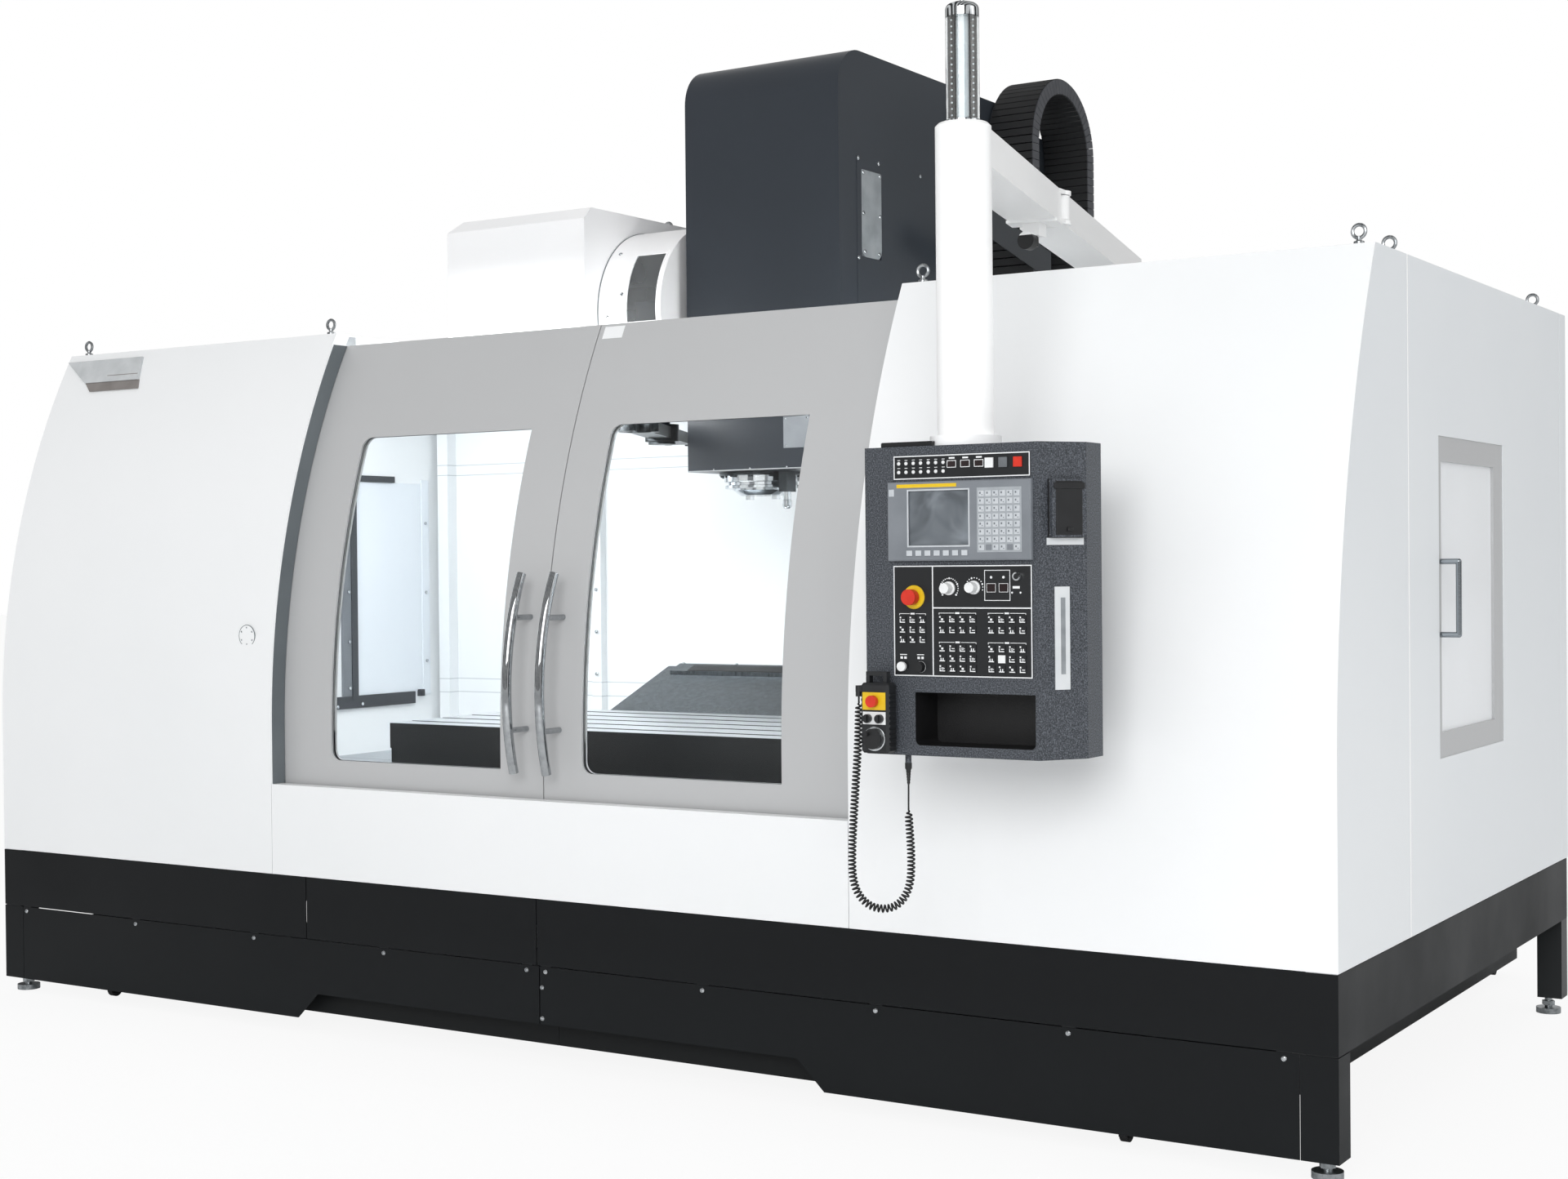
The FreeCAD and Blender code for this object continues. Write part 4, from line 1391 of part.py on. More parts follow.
def build_pendant():
    """Hand unit hooked on the console's lower left corner."""
    body = box(PENDANT_X - PENDANT_HALF, PENDANT_X + PENDANT_HALF, PENDANT_FRONT, PENDANT_BACK,
               PENDANT_Z0, PENDANT_Z1)
    middle_y = (PENDANT_FRONT + PENDANT_BACK) / 2
    body = body.makeChamfer(PENDANT_EASE, edges_where(body, lambda c: abs(c.y - PENDANT_FRONT) < 1
                                                      or abs(c.y - middle_y) < 1))
    hook = box(PENDANT_X - 24, PENDANT_X + 24, PENDANT_BACK - 1, CONSOLE_FRONT,
               PENDANT_Z1 - 60, PENDANT_Z1 - 10)
    rest = box(PENDANT_X - 24, PENDANT_X + 24, PENDANT_BACK - 1, CONSOLE_FRONT, PENDANT_Z0 + 14,
               PENDANT_Z0 + 40)
    handle = fuse([box(PENDANT_X - 30, PENDANT_X - 20, PENDANT_FRONT + 12, PENDANT_BACK - 10, PENDANT_Z1 - 2,
                       PENDANT_Z1 + 26),
                   box(PENDANT_X + 20, PENDANT_X + 30, PENDANT_FRONT + 12, PENDANT_BACK - 10, PENDANT_Z1 - 2,
                       PENDANT_Z1 + 26),
                   box(PENDANT_X - 30, PENDANT_X + 30, PENDANT_FRONT + 12, PENDANT_BACK - 10,
                       PENDANT_Z1 + 18, PENDANT_Z1 + 28)])
    gland = rod(CORD_TOP[0], CORD_TOP[1], CORD_TOP[2], 8, 28)
    gland_arm = box(CORD_TOP[0] - 6, PENDANT_X - PENDANT_HALF + 6, CORD_TOP[1] - 6, CORD_TOP[1] + 6,
                    CORD_TOP[2] + 12, CORD_TOP[2] + 26)
    holes = [rod(PENDANT_X, PENDANT_FRONT - 5, PENDANT_ESTOP_Z, 7 + FIT_GAP, 30, Y_AXIS),
             rod(PENDANT_X - 17, PENDANT_FRONT - 5, PENDANT_SELECT_Z, 4 + FIT_GAP, 30, Y_AXIS),
             rod(PENDANT_X + 17, PENDANT_FRONT - 5, PENDANT_SELECT_Z, 4 + FIT_GAP, 30, Y_AXIS),
             rod(PENDANT_X, PENDANT_FRONT - 5, PENDANT_WHEEL_Z, 6 + FIT_GAP, 30, Y_AXIS)]
    plate = box(PENDANT_X - 33, PENDANT_X + 33, PENDANT_FRONT - 1.5, PENDANT_FRONT + 1, PENDANT_ESTOP_Z - 22,
                PENDANT_ESTOP_Z + 22)
    save("pendant_body", cut(fuse([body, hook, rest, handle, gland, gland_arm, plate]), holes))
    face = PENDANT_FRONT - 1.5
    stop = fuse([rod(PENDANT_X, face - 5, PENDANT_ESTOP_Z, 7, 22, Y_AXIS),
                 rod(PENDANT_X, face - 18, PENDANT_ESTOP_Z, 15, 13, Y_AXIS)])
    save("pendant_estop", stop)
    face = PENDANT_FRONT
    for name, x in (("axis_selector", PENDANT_X - 17), ("step_selector", PENDANT_X + 17)):
        knob = fuse([rod(x, face - 3, PENDANT_SELECT_Z, 4, 20, Y_AXIS),
                     rod(x, face - 12, PENDANT_SELECT_Z, 11, 11, Y_AXIS),
                     box(x - 2.5, x + 2.5, face - 16, face - 11,
                         PENDANT_SELECT_Z - 10, PENDANT_SELECT_Z + 10)])
        save(name, knob)
    wheel = fuse([rod(PENDANT_X, face - 3, PENDANT_WHEEL_Z, 6, 22, Y_AXIS),
                  rod(PENDANT_X, face - 14, PENDANT_WHEEL_Z, 26, 12, Y_AXIS),
                  rod(PENDANT_X - 12, face - 26, PENDANT_WHEEL_Z + 12, 5, 14, Y_AXIS)])
    save("handwheel", wheel)


# --------------------------------------------------------------- curly cord


def rounded_route(points):
    """Straight runs joined by tangent arcs, each as large as its two runs allow."""
    places = [vec(*point) for point in points]
    edges = []
    start = places[0]
    for before, corner, after in zip(places[:-2], places[1:-1], places[2:]):
        run_in = before - corner
        run_out = after - corner
        reach = CORNER_SHARE * min(run_in.Length, run_out.Length)
        run_in.normalize()
        run_out.normalize()
        entry = corner + run_in * reach
        leave = corner + run_out * reach
        edges.append(Part.makeLine(start, entry))
        edges.append(tangent_arc(entry, corner, leave))
        start = leave
    edges.append(Part.makeLine(start, places[-1]))
    return edges


def tangent_arc(start, corner, end):
    """Arc from start to end that is tangent to the lines through corner."""
    middle = (start + end) * 0.5
    to_corner = corner - middle
    if to_corner.Length < 1e-6:
        return Part.makeLine(start, end)
    half_chord = (end - start).Length / 2
    half_turn = math.atan2(to_corner.Length, half_chord)
    to_corner.normalize()
    crown = middle + to_corner * (half_chord * math.tan(half_turn / 2))
    return Part.Arc(start, crown, end).toShape()


def along_route(edges, distance):
    """Place and heading at a distance along a chain of edges."""
    for edge in edges:
        if distance <= edge.Length or edge is edges[-1]:
            parameter = edge.getParameterByLength(min(distance, edge.Length))
            return edge.valueAt(parameter), edge.tangentAt(parameter)
        distance -= edge.Length


def coil_point(edges, distance, start, stop, pitch):
    """Point of the curled cord above its centre line."""
    centre, heading = along_route(edges, distance)
    side = vec(CORD_END[1] - CORD_TOP[1], CORD_TOP[0] - CORD_END[0], 0).normalize()
    normal = side.cross(heading).normalize()
    side = heading.cross(normal)
    ramp = min((distance - start) / COIL_RAMP, (stop - distance) / COIL_RAMP, 1.0)
    ramp = max(ramp, 0.0)
    radius = COIL_RADIUS * ramp * ramp * (3 - 2 * ramp)
    angle = 2 * math.pi * (distance - start) / pitch
    return centre + normal * (radius * math.cos(angle)) + side * (radius * math.sin(angle))


def biarc(start, start_heading, end, end_heading):
    """Two arcs that join two places and keep both headings."""
    chord = end - start
    both = start_heading + end_heading
    spread = 2 * (1 - start_heading.dot(end_heading))
    along_both = chord.dot(both)
    if spread < 1e-9:
        reach = chord.dot(chord) / (2 * along_both)
    else:
        reach = (math.sqrt(along_both ** 2 + spread * chord.dot(chord)) - along_both) / spread
    first = start + start_heading * reach
    second = end - end_heading * reach
    joint = (first + second) * 0.5
    return [tangent_arc(start, first, joint), tangent_arc(joint, second, end)]


def build_cord():
    """Curly cord from the pendant's gland to the strain relief under the box."""
    edges = rounded_route(CORD_ROUTE)
    total = sum(edge.Length for edge in edges)
    start = COIL_START
    stop = total - COIL_STOP
    pitch = (stop - start) / CURLS
    step = pitch / 2
    small = pitch / 400
    knots = []
    for index in range(2 * CURLS + 1):
        distance = start + index * step
        place = coil_point(edges, distance, start, stop, pitch)
        ahead = coil_point(edges, distance + small, start, stop, pitch)
        behind = coil_point(edges, distance - small, start, stop, pitch)
        knots.append((place, (ahead - behind).normalize()))
    first_place, first_heading = along_route(edges, start)
    last_place, last_heading = along_route(edges, stop)
    knots[0] = (first_place, first_heading)
    knots[-1] = (last_place, last_heading)
    path = [Part.makeLine(vec(*CORD_TOP), first_place)]
    for one, two in zip(knots[:-1], knots[1:]):
        path.extend(biarc(one[0], one[1], two[0], two[1]))
    path.extend(tail_of(edges, stop))
    corners = [vec(x, y, CORD_TOP[2]) for x, y in polygon(CORD_TOP[0], CORD_TOP[1], CORD_RADIUS, CORD_SIDES)]
    section = Part.makePolygon(corners + corners[:1])
    cord = Part.Wire(path).makePipeShell([section], True, False)
    print_cord_gap(edges, start, stop, pitch)
    save("pendant_cord", cord)


def tail_of(edges, distance):
    """The rest of a chain of edges from a distance on."""
    rest = []
    for edge in edges:
        if distance >= edge.Length:
            distance -= edge.Length
            continue
        if distance > 0:
            cut_at = edge.getParameterByLength(distance)
            rest.append(edge.Curve.toShape(cut_at, edge.LastParameter))
            distance = 0
        else:
            rest.append(edge)
    return rest


def print_cord_gap(edges, start, stop, pitch):
    samples = 24
    count = CURLS * samples
    points = [coil_point(edges, start + index * pitch / samples, start, stop, pitch)
              for index in range(count + 1)]
    least = min((points[index] - points[other]).Length
                for index in range(0, count, 2)
                for other in range(index + samples // 2, min(index + 2 * samples, count)))
    print("least gap between curls: %.2f mm" % (least - 2 * CORD_RADIUS))


# -------------------------------------------------------- electrical cabinet


def build_electrical_cabinet():
    """Plain steel cabinet behind the left half of the rear wall."""
    x0 = POWER_LEFT
    x1 = POWER_RIGHT
    y0 = DEPTH + POWER_STANDOFF
    y1 = y0 + POWER_DEPTH
    z0 = POWER_BOTTOM
    z1 = POWER_TOP
    shell = box(x0, x1, y0, y1, z0, z1)
    hollow = box(x0 + SHEET, x1 - SHEET, y0 + SHEET, y1 - SHEET, z0 + SHEET, z1 - SHEET)
    doors = [box(x0 + 8, (x0 + x1) / 2 - 2, y1, y1 + 18, z0 + 8, z1 - 8),
             box((x0 + x1) / 2 + 2, x1 - 8, y1, y1 + 18, z0 + 8, z1 - 8)]
    brackets = [box(x, x + 60, DEPTH, y0 + 1, z, z + 60) for x in (x0 + 60, x1 - 120)
                for z in (z0 + 60, z1 - 160)]
    save("electrical_cabinet", fuse([shell.cut(hollow)] + doors + brackets))


os.makedirs(OUT, exist_ok=True)
build_feet()
build_bed()
build_column()
build_frame()
build_skirts()
build_tank()
build_caster_wheels()
build_front_panels()
build_side_walls()
build_rear_wall()
build_roof()
build_guards()
build_eyebolts()
build_front_doors()
build_side_door()
build_saddle()
build_table()
build_head()
build_chain()
build_magazine()
build_arm()
build_tower()
build_console()
build_pendant()
build_cord()
build_electrical_cabinet()
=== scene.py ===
import math
import bmesh
import bpy
from mathutils import Matrix, Vector


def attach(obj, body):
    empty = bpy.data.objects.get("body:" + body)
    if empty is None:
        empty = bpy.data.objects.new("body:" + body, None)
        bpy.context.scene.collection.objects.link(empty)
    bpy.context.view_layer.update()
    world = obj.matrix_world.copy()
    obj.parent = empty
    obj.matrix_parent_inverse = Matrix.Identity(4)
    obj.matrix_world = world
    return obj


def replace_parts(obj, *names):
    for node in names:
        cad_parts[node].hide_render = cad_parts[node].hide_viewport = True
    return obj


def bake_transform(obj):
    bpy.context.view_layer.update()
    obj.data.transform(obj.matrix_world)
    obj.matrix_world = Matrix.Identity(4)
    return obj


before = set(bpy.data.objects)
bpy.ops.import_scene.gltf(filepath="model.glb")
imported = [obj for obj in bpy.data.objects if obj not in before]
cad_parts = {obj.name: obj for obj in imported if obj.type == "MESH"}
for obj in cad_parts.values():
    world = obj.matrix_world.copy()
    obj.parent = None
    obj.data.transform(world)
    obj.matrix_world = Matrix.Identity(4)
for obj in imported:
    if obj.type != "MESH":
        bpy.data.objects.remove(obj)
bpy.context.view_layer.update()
scene = bpy.context.scene


# ---------------------------------------------------------------- photo studio
# The machine stands in a plain studio: a pale floor, a white surround and large
# soft lamps. A 50 mm lens at eye height looks at it from the right front corner.
LENS = 50.0
SENSOR = 36.0
VIEW_END = 200.0
CAMERA_PLACE = (4.210, -5.215, 1.5395)
CAMERA_YAW = 32.371
CAMERA_DOWN = 0.68
CAMERA_ROLL = -0.549

camera = bpy.data.objects.new("studio_camera", bpy.data.cameras.new("studio_camera"))
scene.collection.objects.link(camera)
camera.data.lens = LENS
camera.data.sensor_width = SENSOR
camera.data.clip_end = VIEW_END
camera.matrix_world = (Matrix.Translation(CAMERA_PLACE)
                       @ Matrix.Rotation(math.radians(CAMERA_YAW), 4, "Z")
                       @ Matrix.Rotation(math.radians(90 - CAMERA_DOWN), 4, "X")
                       @ Matrix.Rotation(math.radians(CAMERA_ROLL), 4, "Z"))
scene.camera = camera
scene.view_settings.view_transform = "Standard"


def linear(code):
    """Linear colour of an sRGB hex code."""
    channels = [int(code[place:place + 2], 16) / 255 for place in (1, 3, 5)]
    return [c / 12.92 if c <= 0.04045 else ((c + 0.055) / 1.055) ** 2.4 for c in channels] + [1.0]


def add(tree, kind, inputs=(), **settings):
    """A node with its settings, and for each input a value or the socket that feeds it."""
    node = tree.nodes.new("ShaderNode" + kind)
    for name, value in settings.items():
        setattr(node, name, value)
    for name, value in dict(inputs).items():
        if isinstance(value, bpy.types.NodeSocket):
            tree.links.new(value, node.inputs[name])
        else:
            node.inputs[name].default_value = value
    return node


# Metal mirrors broad bright and dark strips, as the walls and lamps of a studio
# give it. The rest is lit evenly, and the camera and clear sheets see plain white.
ROOM_LIGHT = 0.66
STRIP_DARK = 0.05
STRIP_BRIGHT = 0.80
WHITE = linear("#FFFFFF")

studio = bpy.data.worlds.new("studio_surround")
scene.world = studio
studio.use_nodes = True
tree = studio.node_tree
tree.nodes.clear()
ray = add(tree, "LightPath")
seen = add(tree, "Math", {0: ray.outputs["Is Camera Ray"], 1: ray.outputs["Is Transmission Ray"]},
           operation="MAXIMUM")
way = add(tree, "TexCoord")
strips = add(tree, "TexWave", {"Vector": way.outputs["Generated"], "Scale": 0.9,
                               "Distortion": 1.5}, bands_direction="X")
mirror = add(tree, "MapRange", {"Value": strips.outputs["Fac"], "From Min": 0.45,
                                "From Max": 0.75, "To Min": STRIP_DARK, "To Max": STRIP_BRIGHT})
fill = add(tree, "Mix", {0: ray.outputs["Is Glossy Ray"], 2: ROOM_LIGHT,
                         3: mirror.outputs["Result"]})
lit = add(tree, "Background", {"Color": WHITE, "Strength": fill.outputs[0]})
white = add(tree, "Background", {"Color": WHITE, "Strength": 1.0})
sky = add(tree, "MixShader", {0: seen.outputs[0], 1: lit.outputs[0], 2: white.outputs[0]})
add(tree, "OutputWorld", {"Surface": sky.outputs[0]})


def lamp(name, place, aim, size, power):
    """A rectangular soft box that points from its place to what it lights."""
    light = bpy.data.objects.new(name, bpy.data.lights.new(name, "AREA"))
    light.data.shape = "RECTANGLE"
    light.data.size, light.data.size_y = size
    light.data.energy = power
    light.location = place
    light.rotation_euler = (Vector(aim) - Vector(place)).to_track_quat("-Z", "Y").to_euler()
    scene.collection.objects.link(light)


lamp("key_lamp", (4.5, -8.8, 4.6), (0.6, 0.0, 1.2), (7.0, 4.0), 455)
lamp("side_lamp", (9.5, 1.0, 4.0), (2.5, 1.2, 1.2), (4.0, 4.0), 60)
lamp("work_lamp_left", (-1.3, 0.62, 2.20), (-1.3, 2.2, 1.2), (1.8, 0.3), 36)
lamp("work_lamp_right", (1.6, 0.62, 2.20), (1.2, 2.2, 1.2), (1.4, 0.3), 36)

FLOOR_REACH = 60.0
FLOOR_DROP = 0.001
floor_mesh = bpy.data.meshes.new("studio_floor")
floor_mesh.from_pydata([(x * FLOOR_REACH, y * FLOOR_REACH, -FLOOR_DROP)
                        for x, y in ((-1, -1), (1, -1), (1, 1), (-1, 1))], [], [(0, 1, 2, 3)])
floor = bpy.data.objects.new("studio_floor", floor_mesh)
scene.collection.objects.link(floor)


def new_material(name):
    """An empty node material and its tree."""
    material = bpy.data.materials.new(name)
    material.use_nodes = True
    material.node_tree.nodes.clear()
    return material, material.node_tree


# Matt backdrop paper: the camera sees it nearly white, and shadows still show.
PAPER_GLOW = 0.9
floor_paper, tree = new_material("studio_paper")
ray = add(tree, "LightPath")
paper = add(tree, "BsdfDiffuse", {"Color": linear("#F4F5F6")})
bright = add(tree, "Emission", {"Color": WHITE, "Strength": 1.0})
share = add(tree, "Math", {0: ray.outputs["Is Camera Ray"], 1: PAPER_GLOW}, operation="MULTIPLY")
both = add(tree, "MixShader", {0: share.outputs[0], 1: paper.outputs[0], 2: bright.outputs[0]})
add(tree, "OutputMaterial", {"Surface": both.outputs[0]})
floor.data.materials.append(floor_paper)


# ------------------------------------------------------------------ curly cord
# The pendant's cord is black rubber hose wire wound into a curl and baked, so it
# springs back. It hangs from the pendant's gland in a long loop and goes back up
# into a tapered rubber boot under the console.
CORD_ROUTE = ((1.404, -0.438, 1.200), (1.404, -0.438, 1.120), (1.394, -0.443, 0.960),
              (1.384, -0.447, 0.800), (1.387, -0.446, 0.717), (1.414, -0.431, 0.670),
              (1.452, -0.409, 0.655), (1.490, -0.388, 0.668), (1.514, -0.373, 0.715),
              (1.516, -0.371, 0.800), (1.510, -0.375, 0.900), (1.511, -0.374, 0.960),
              (1.511, -0.374, 1.022))
WIRE_RADIUS = 0.0024
CURL_RADIUS = 0.0088
CURL_COUNT = 84
CURL_STEPS = 16
CURL_START = 0.014
CURL_STOP = 0.110
CURL_RAMP = 0.020
STRAIGHT_STEPS = 5


def strand(name, kind, places, closed=False):
    """A curve through places in metres, as an object in the scene."""
    curve = bpy.data.curves.new(name, "CURVE")
    curve.dimensions = "3D"
    line = curve.splines.new(kind)
    line.points.add(len(places) - 1)
    for point, place in zip(line.points, places):
        point.co = (*place, 1.0)
    if kind == "NURBS":
        line.order_u = 3
        line.use_endpoint_u = True
    line.use_cyclic_u = closed
    thing = bpy.data.objects.new(name, curve)
    scene.collection.objects.link(thing)
    return thing


route = strand("cord_route", "NURBS", CORD_ROUTE)
route.data.resolution_u = 24
bpy.context.view_layer.update()
route_mesh = bpy.data.meshes.new_from_object(route)
route_points = [vertex.co.copy() for vertex in route_mesh.vertices]
bpy.data.objects.remove(route)
gland = Vector(CORD_ROUTE[0])
if (route_points[0] - gland).length > (route_points[-1] - gland).length:
    route_points.reverse()
route_marks = [0.0]
for one, two in zip(route_points[:-1], route_points[1:]):
    route_marks.append(route_marks[-1] + (two - one).length)
route_length = route_marks[-1]


def on_route(distance):
    """Place and heading at a distance along the cord's centre line."""
    index = 0
    while index < len(route_marks) - 2 and route_marks[index + 1] < distance:
        index += 1
    one, two = route_points[index], route_points[index + 1]
    part = (distance - route_marks[index]) / (route_marks[index + 1] - route_marks[index])
    return one.lerp(two, part), (two - one).normalized()


loop_side = Vector((CORD_ROUTE[-1][1] - CORD_ROUTE[0][1],
                    CORD_ROUTE[0][0] - CORD_ROUTE[-1][0], 0)).normalized()
curl_end = route_length - CURL_STOP
curl_total = CURL_COUNT * CURL_STEPS
wire_places = [route_points[0].copy(), on_route(CURL_START / 2)[0]]
for step in range(curl_total + 1):
    mark = CURL_START + (curl_end - CURL_START) * step / curl_total
    centre, heading = on_route(mark)
    across = loop_side.cross(heading).normalized()
    aside = heading.cross(across)
    ramp = max(min((mark - CURL_START) / CURL_RAMP, (curl_end - mark) / CURL_RAMP, 1.0), 0.0)
    reach = CURL_RADIUS * ramp * ramp * (3 - 2 * ramp)
    angle = 2 * math.pi * step / CURL_STEPS
    wire_places.append(centre + across * (reach * math.cos(angle))
                       + aside * (reach * math.sin(angle)))
for step in range(1, STRAIGHT_STEPS + 1):
    wire_places.append(on_route(curl_end + step / STRAIGHT_STEPS * CURL_STOP)[0])

curly_cord = strand("curly_cord", "NURBS", wire_places)
curly_cord.data.resolution_u = 1
curly_cord.data.bevel_depth = WIRE_RADIUS
curly_cord.data.bevel_resolution = 2
curly_cord.data.use_fill_caps = True


def new_skin(name):
    """An empty material, its tree, and places on the piece in metres for its patterns."""
    material, tree = new_material(name)
    return material, tree, add(tree, "TexCoord").outputs["Object"]


def drift(tree, place, scale, detail, shade, colour, **more):
    """Clouds, so many to a metre, from a shade to a colour: their pattern and their colours."""
    cloud = add(tree, "TexNoise", {"Vector": place, "Scale": scale, "Detail": detail, **more})
    blend = add(tree, "ValToRGB", {"Fac": cloud.outputs["Fac"]})
    for stop, (position, code) in zip(blend.color_ramp.elements, (shade, colour)):
        stop.position = position
        stop.color = linear(code)
    return cloud.outputs["Fac"], blend.outputs["Color"]


def surfaced(tree, inputs):
    """Ends a material with its surface."""
    surface = add(tree, "BsdfPrincipled", inputs)
    add(tree, "OutputMaterial", {"Surface": surface.outputs[0]})


# Neoprene rubber: deep black and half matt, greyed by dust in patches of 17 mm,
# with a moulded grain of 0.9 mm.
cord_rubber, tree, place = new_skin("black_neoprene_cord")
tint = drift(tree, place, 60.0, 3.0, (0.35, "#0E0F10"), (0.75, "#1B1C1E"))[1]
grip = add(tree, "TexNoise", {"Vector": place, "Scale": 1100.0, "Detail": 2.0})
skin = add(tree, "Bump", {"Height": grip.outputs["Fac"], "Strength": 0.25, "Distance": 0.0002})
surfaced(tree, {"Base Color": tint, "Roughness": 0.38, "Normal": skin.outputs["Normal"]})
curly_cord.data.materials.append(cord_rubber)

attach(curly_cord, "console")
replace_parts(curly_cord, "pendant_cord")


def piece(name, shape, material, body, round_mm=0.0, smooth=True):
    """A mesh drawn in millimetres, made an object that rides on a body if one is named."""
    bmesh.ops.scale(shape, vec=(0.001, 0.001, 0.001), verts=shape.verts)
    bmesh.ops.recalc_face_normals(shape, faces=shape.faces)
    data = bpy.data.meshes.new(name)
    shape.to_mesh(data)
    shape.free()
    thing = bpy.data.objects.new(name, data)
    scene.collection.objects.link(thing)
    data.materials.append(material)
    if smooth:
        data.shade_smooth()
        data.set_sharp_from_angle(angle=math.radians(35))
    if round_mm:
        edge = thing.modifiers.new("eased_edges", "BEVEL")
        edge.width = round_mm * 0.001
        edge.segments = 2
        edge.limit_method = "ANGLE"
        edge.harden_normals = True
    if body:
        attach(thing, body)
    return thing


def skinned(shape, rows, ring=False):
    """Adds a bar through rows of corners, joined into a ring or capped at its ends."""
    rings = [[shape.verts.new(spot) for spot in row] for row in rows]
    for low, high in zip(rings if ring else rings[:-1], rings[1:] + rings[:1]):
        for corner in range(len(low)):
            after = (corner + 1) % len(low)
            shape.faces.new((low[corner], low[after], high[after], high[corner]))
    if not ring:
        shape.faces.new(rings[0][::-1])
        shape.faces.new(rings[-1])


UP = (0, 0, 1)


def turned(shape, profile, base, axis, sides=32, hollow=False):
    """Adds a turned form: (radius, height) pairs round an axis from a base point."""
    turn = Vector(axis).normalized().to_track_quat("Z", "Y").to_matrix()
    angles = [2 * math.pi * side / sides for side in range(sides)]
    skinned(shape, [[turn @ Vector((radius * math.cos(angle), radius * math.sin(angle), height))
                     + Vector(base) for angle in angles] for radius, height in profile], hollow)


BOOT_TOP = (1511.0, -374.0, 1030.0)
BOOT_RIBS = 5
RIB_PITCH = 7.0
RIB_TAPER = 0.55
boot_profile = [(9.0, 0.0), (9.0, -14.0), (7.0, -17.0)]
for rib in range(BOOT_RIBS):
    height = -20.0 - rib * RIB_PITCH
    girth = 6.2 - rib * RIB_TAPER
    boot_profile.extend([(girth, height), (girth, height - 4.0), (girth - 0.9, height - 4.8),
                         (girth - 0.9, height - 6.4)])
boot = bmesh.new()
turned(boot, boot_profile, BOOT_TOP, UP, 24)
cord_boot = piece("cord_boot", boot, cord_rubber, "console")


# -------------------------------------------------------------- iron castings
# The bed, the column and the saddle are grey iron castings, filled, rubbed down
# and sprayed with two-pack machine enamel: smooth, a little wavy and half gloss.
def dress(material, *names):
    """Gives CAD nodes their material."""
    for name in names:
        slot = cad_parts[name].material_slots[0]
        slot.link = "OBJECT"
        slot.material = material


GLOSS_SWING = 0.008


def coated(name, colour, shade, gloss, wave_mm, wave_depth_mm, spot_mm=700.0, shine=0.5):
    """Sprayed coating: colour that drifts to a shade, and the fine skin of its spray."""
    material, tree, place = new_skin(name)
    colours = drift(tree, place, 1000 / spot_mm, 4.0, (0.3, shade), (0.7, colour))[1]
    spray = add(tree, "TexNoise", {"Vector": place, "Scale": 1000 / wave_mm, "Detail": 2.0})
    skin = add(tree, "Bump", {"Height": spray.outputs["Fac"], "Strength": 0.6,
                              "Distance": wave_depth_mm * 0.001})
    sheen = add(tree, "MapRange", {"Value": spray.outputs["Fac"], "From Min": 0.3, "From Max": 0.7,
                                   "To Min": gloss - GLOSS_SWING, "To Max": gloss + GLOSS_SWING})
    surfaced(tree, {"Base Color": colours, "Roughness": sheen.outputs["Result"],
                    "Specular IOR Level": shine, "Normal": skin.outputs["Normal"]})
    return material


# The enamel's brush and filler waves are about 22 mm long and half a millimetre deep.
ENAMEL_WAVE = (22.0, 0.5)
casting_enamel = coated("grey_machine_enamel", "#C9CCCE", "#BFC3C5", 0.38, *ENAMEL_WAVE)
column_enamel = coated("white_machine_enamel", "#E2E4E5", "#D6D9DA", 0.36, *ENAMEL_WAVE)
saddle_enamel = coated("mid_grey_saddle_enamel", "#8F959A", "#858B90", 0.38, *ENAMEL_WAVE)
dress(casting_enamel, "bed_casting", "head_casting")
dress(column_enamel, "column_casting")
dress(saddle_enamel, "saddle")


# --------------------------------------------------------------- leveling feet
# Forged steel pads with threaded studs and jam nuts, bright zinc plated, which
# gives them a cold, slightly cloudy shine.
def plated(name, colour, shade, rough, streak_mm, relief=0.2):
    """Metal finish: clouds of colour about 18 mm wide, and fine drawn streaks."""
    material, tree, place = new_skin(name)
    colours = drift(tree, place, 55.0, 5.0, (0.35, shade), (0.65, colour))[1]
    drawn = add(tree, "Mapping", {"Vector": place, "Scale": (1.0, 1.0, 0.06)})
    streak = add(tree, "TexNoise", {"Vector": drawn.outputs["Vector"], "Scale": 1000 / streak_mm,
                                    "Detail": 3.0})
    rub = add(tree, "MapRange", {"Value": streak.outputs["Fac"], "From Min": 0.3, "From Max": 0.7,
                                 "To Min": rough * 0.8, "To Max": rough * 1.25})
    line = add(tree, "Bump", {"Height": streak.outputs["Fac"], "Strength": relief,
                              "Distance": 0.0002})
    surfaced(tree, {"Base Color": colours, "Metallic": 1.0, "Roughness": rub.outputs["Result"],
                    "Normal": line.outputs["Normal"]})
    return material


zinc_steel = plated("zinc_plated_steel", "#B9BDC0", "#8F9496", 0.32, 2.0)
dress(zinc_steel, "leveling_feet")


# ------------------------------------------------------------- enclosure frame
# Square steel tube, welded and powder coated half matt: dark at the machine's foot,
# white above it. It shows through the roof opening, behind the doors and from below.
def between(tree, axis, low, high):
    """A mask that is 1 where a piece lies between two places along an axis, in metres."""
    place = add(tree, "TexCoord")
    split = add(tree, "SeparateXYZ", {"Vector": place.outputs["Object"]})
    mask = add(tree, "Math", {0: split.outputs[axis], 1: (low + high) / 2, 2: (high - low) / 2},
               operation="COMPARE")
    return mask.outputs[0]


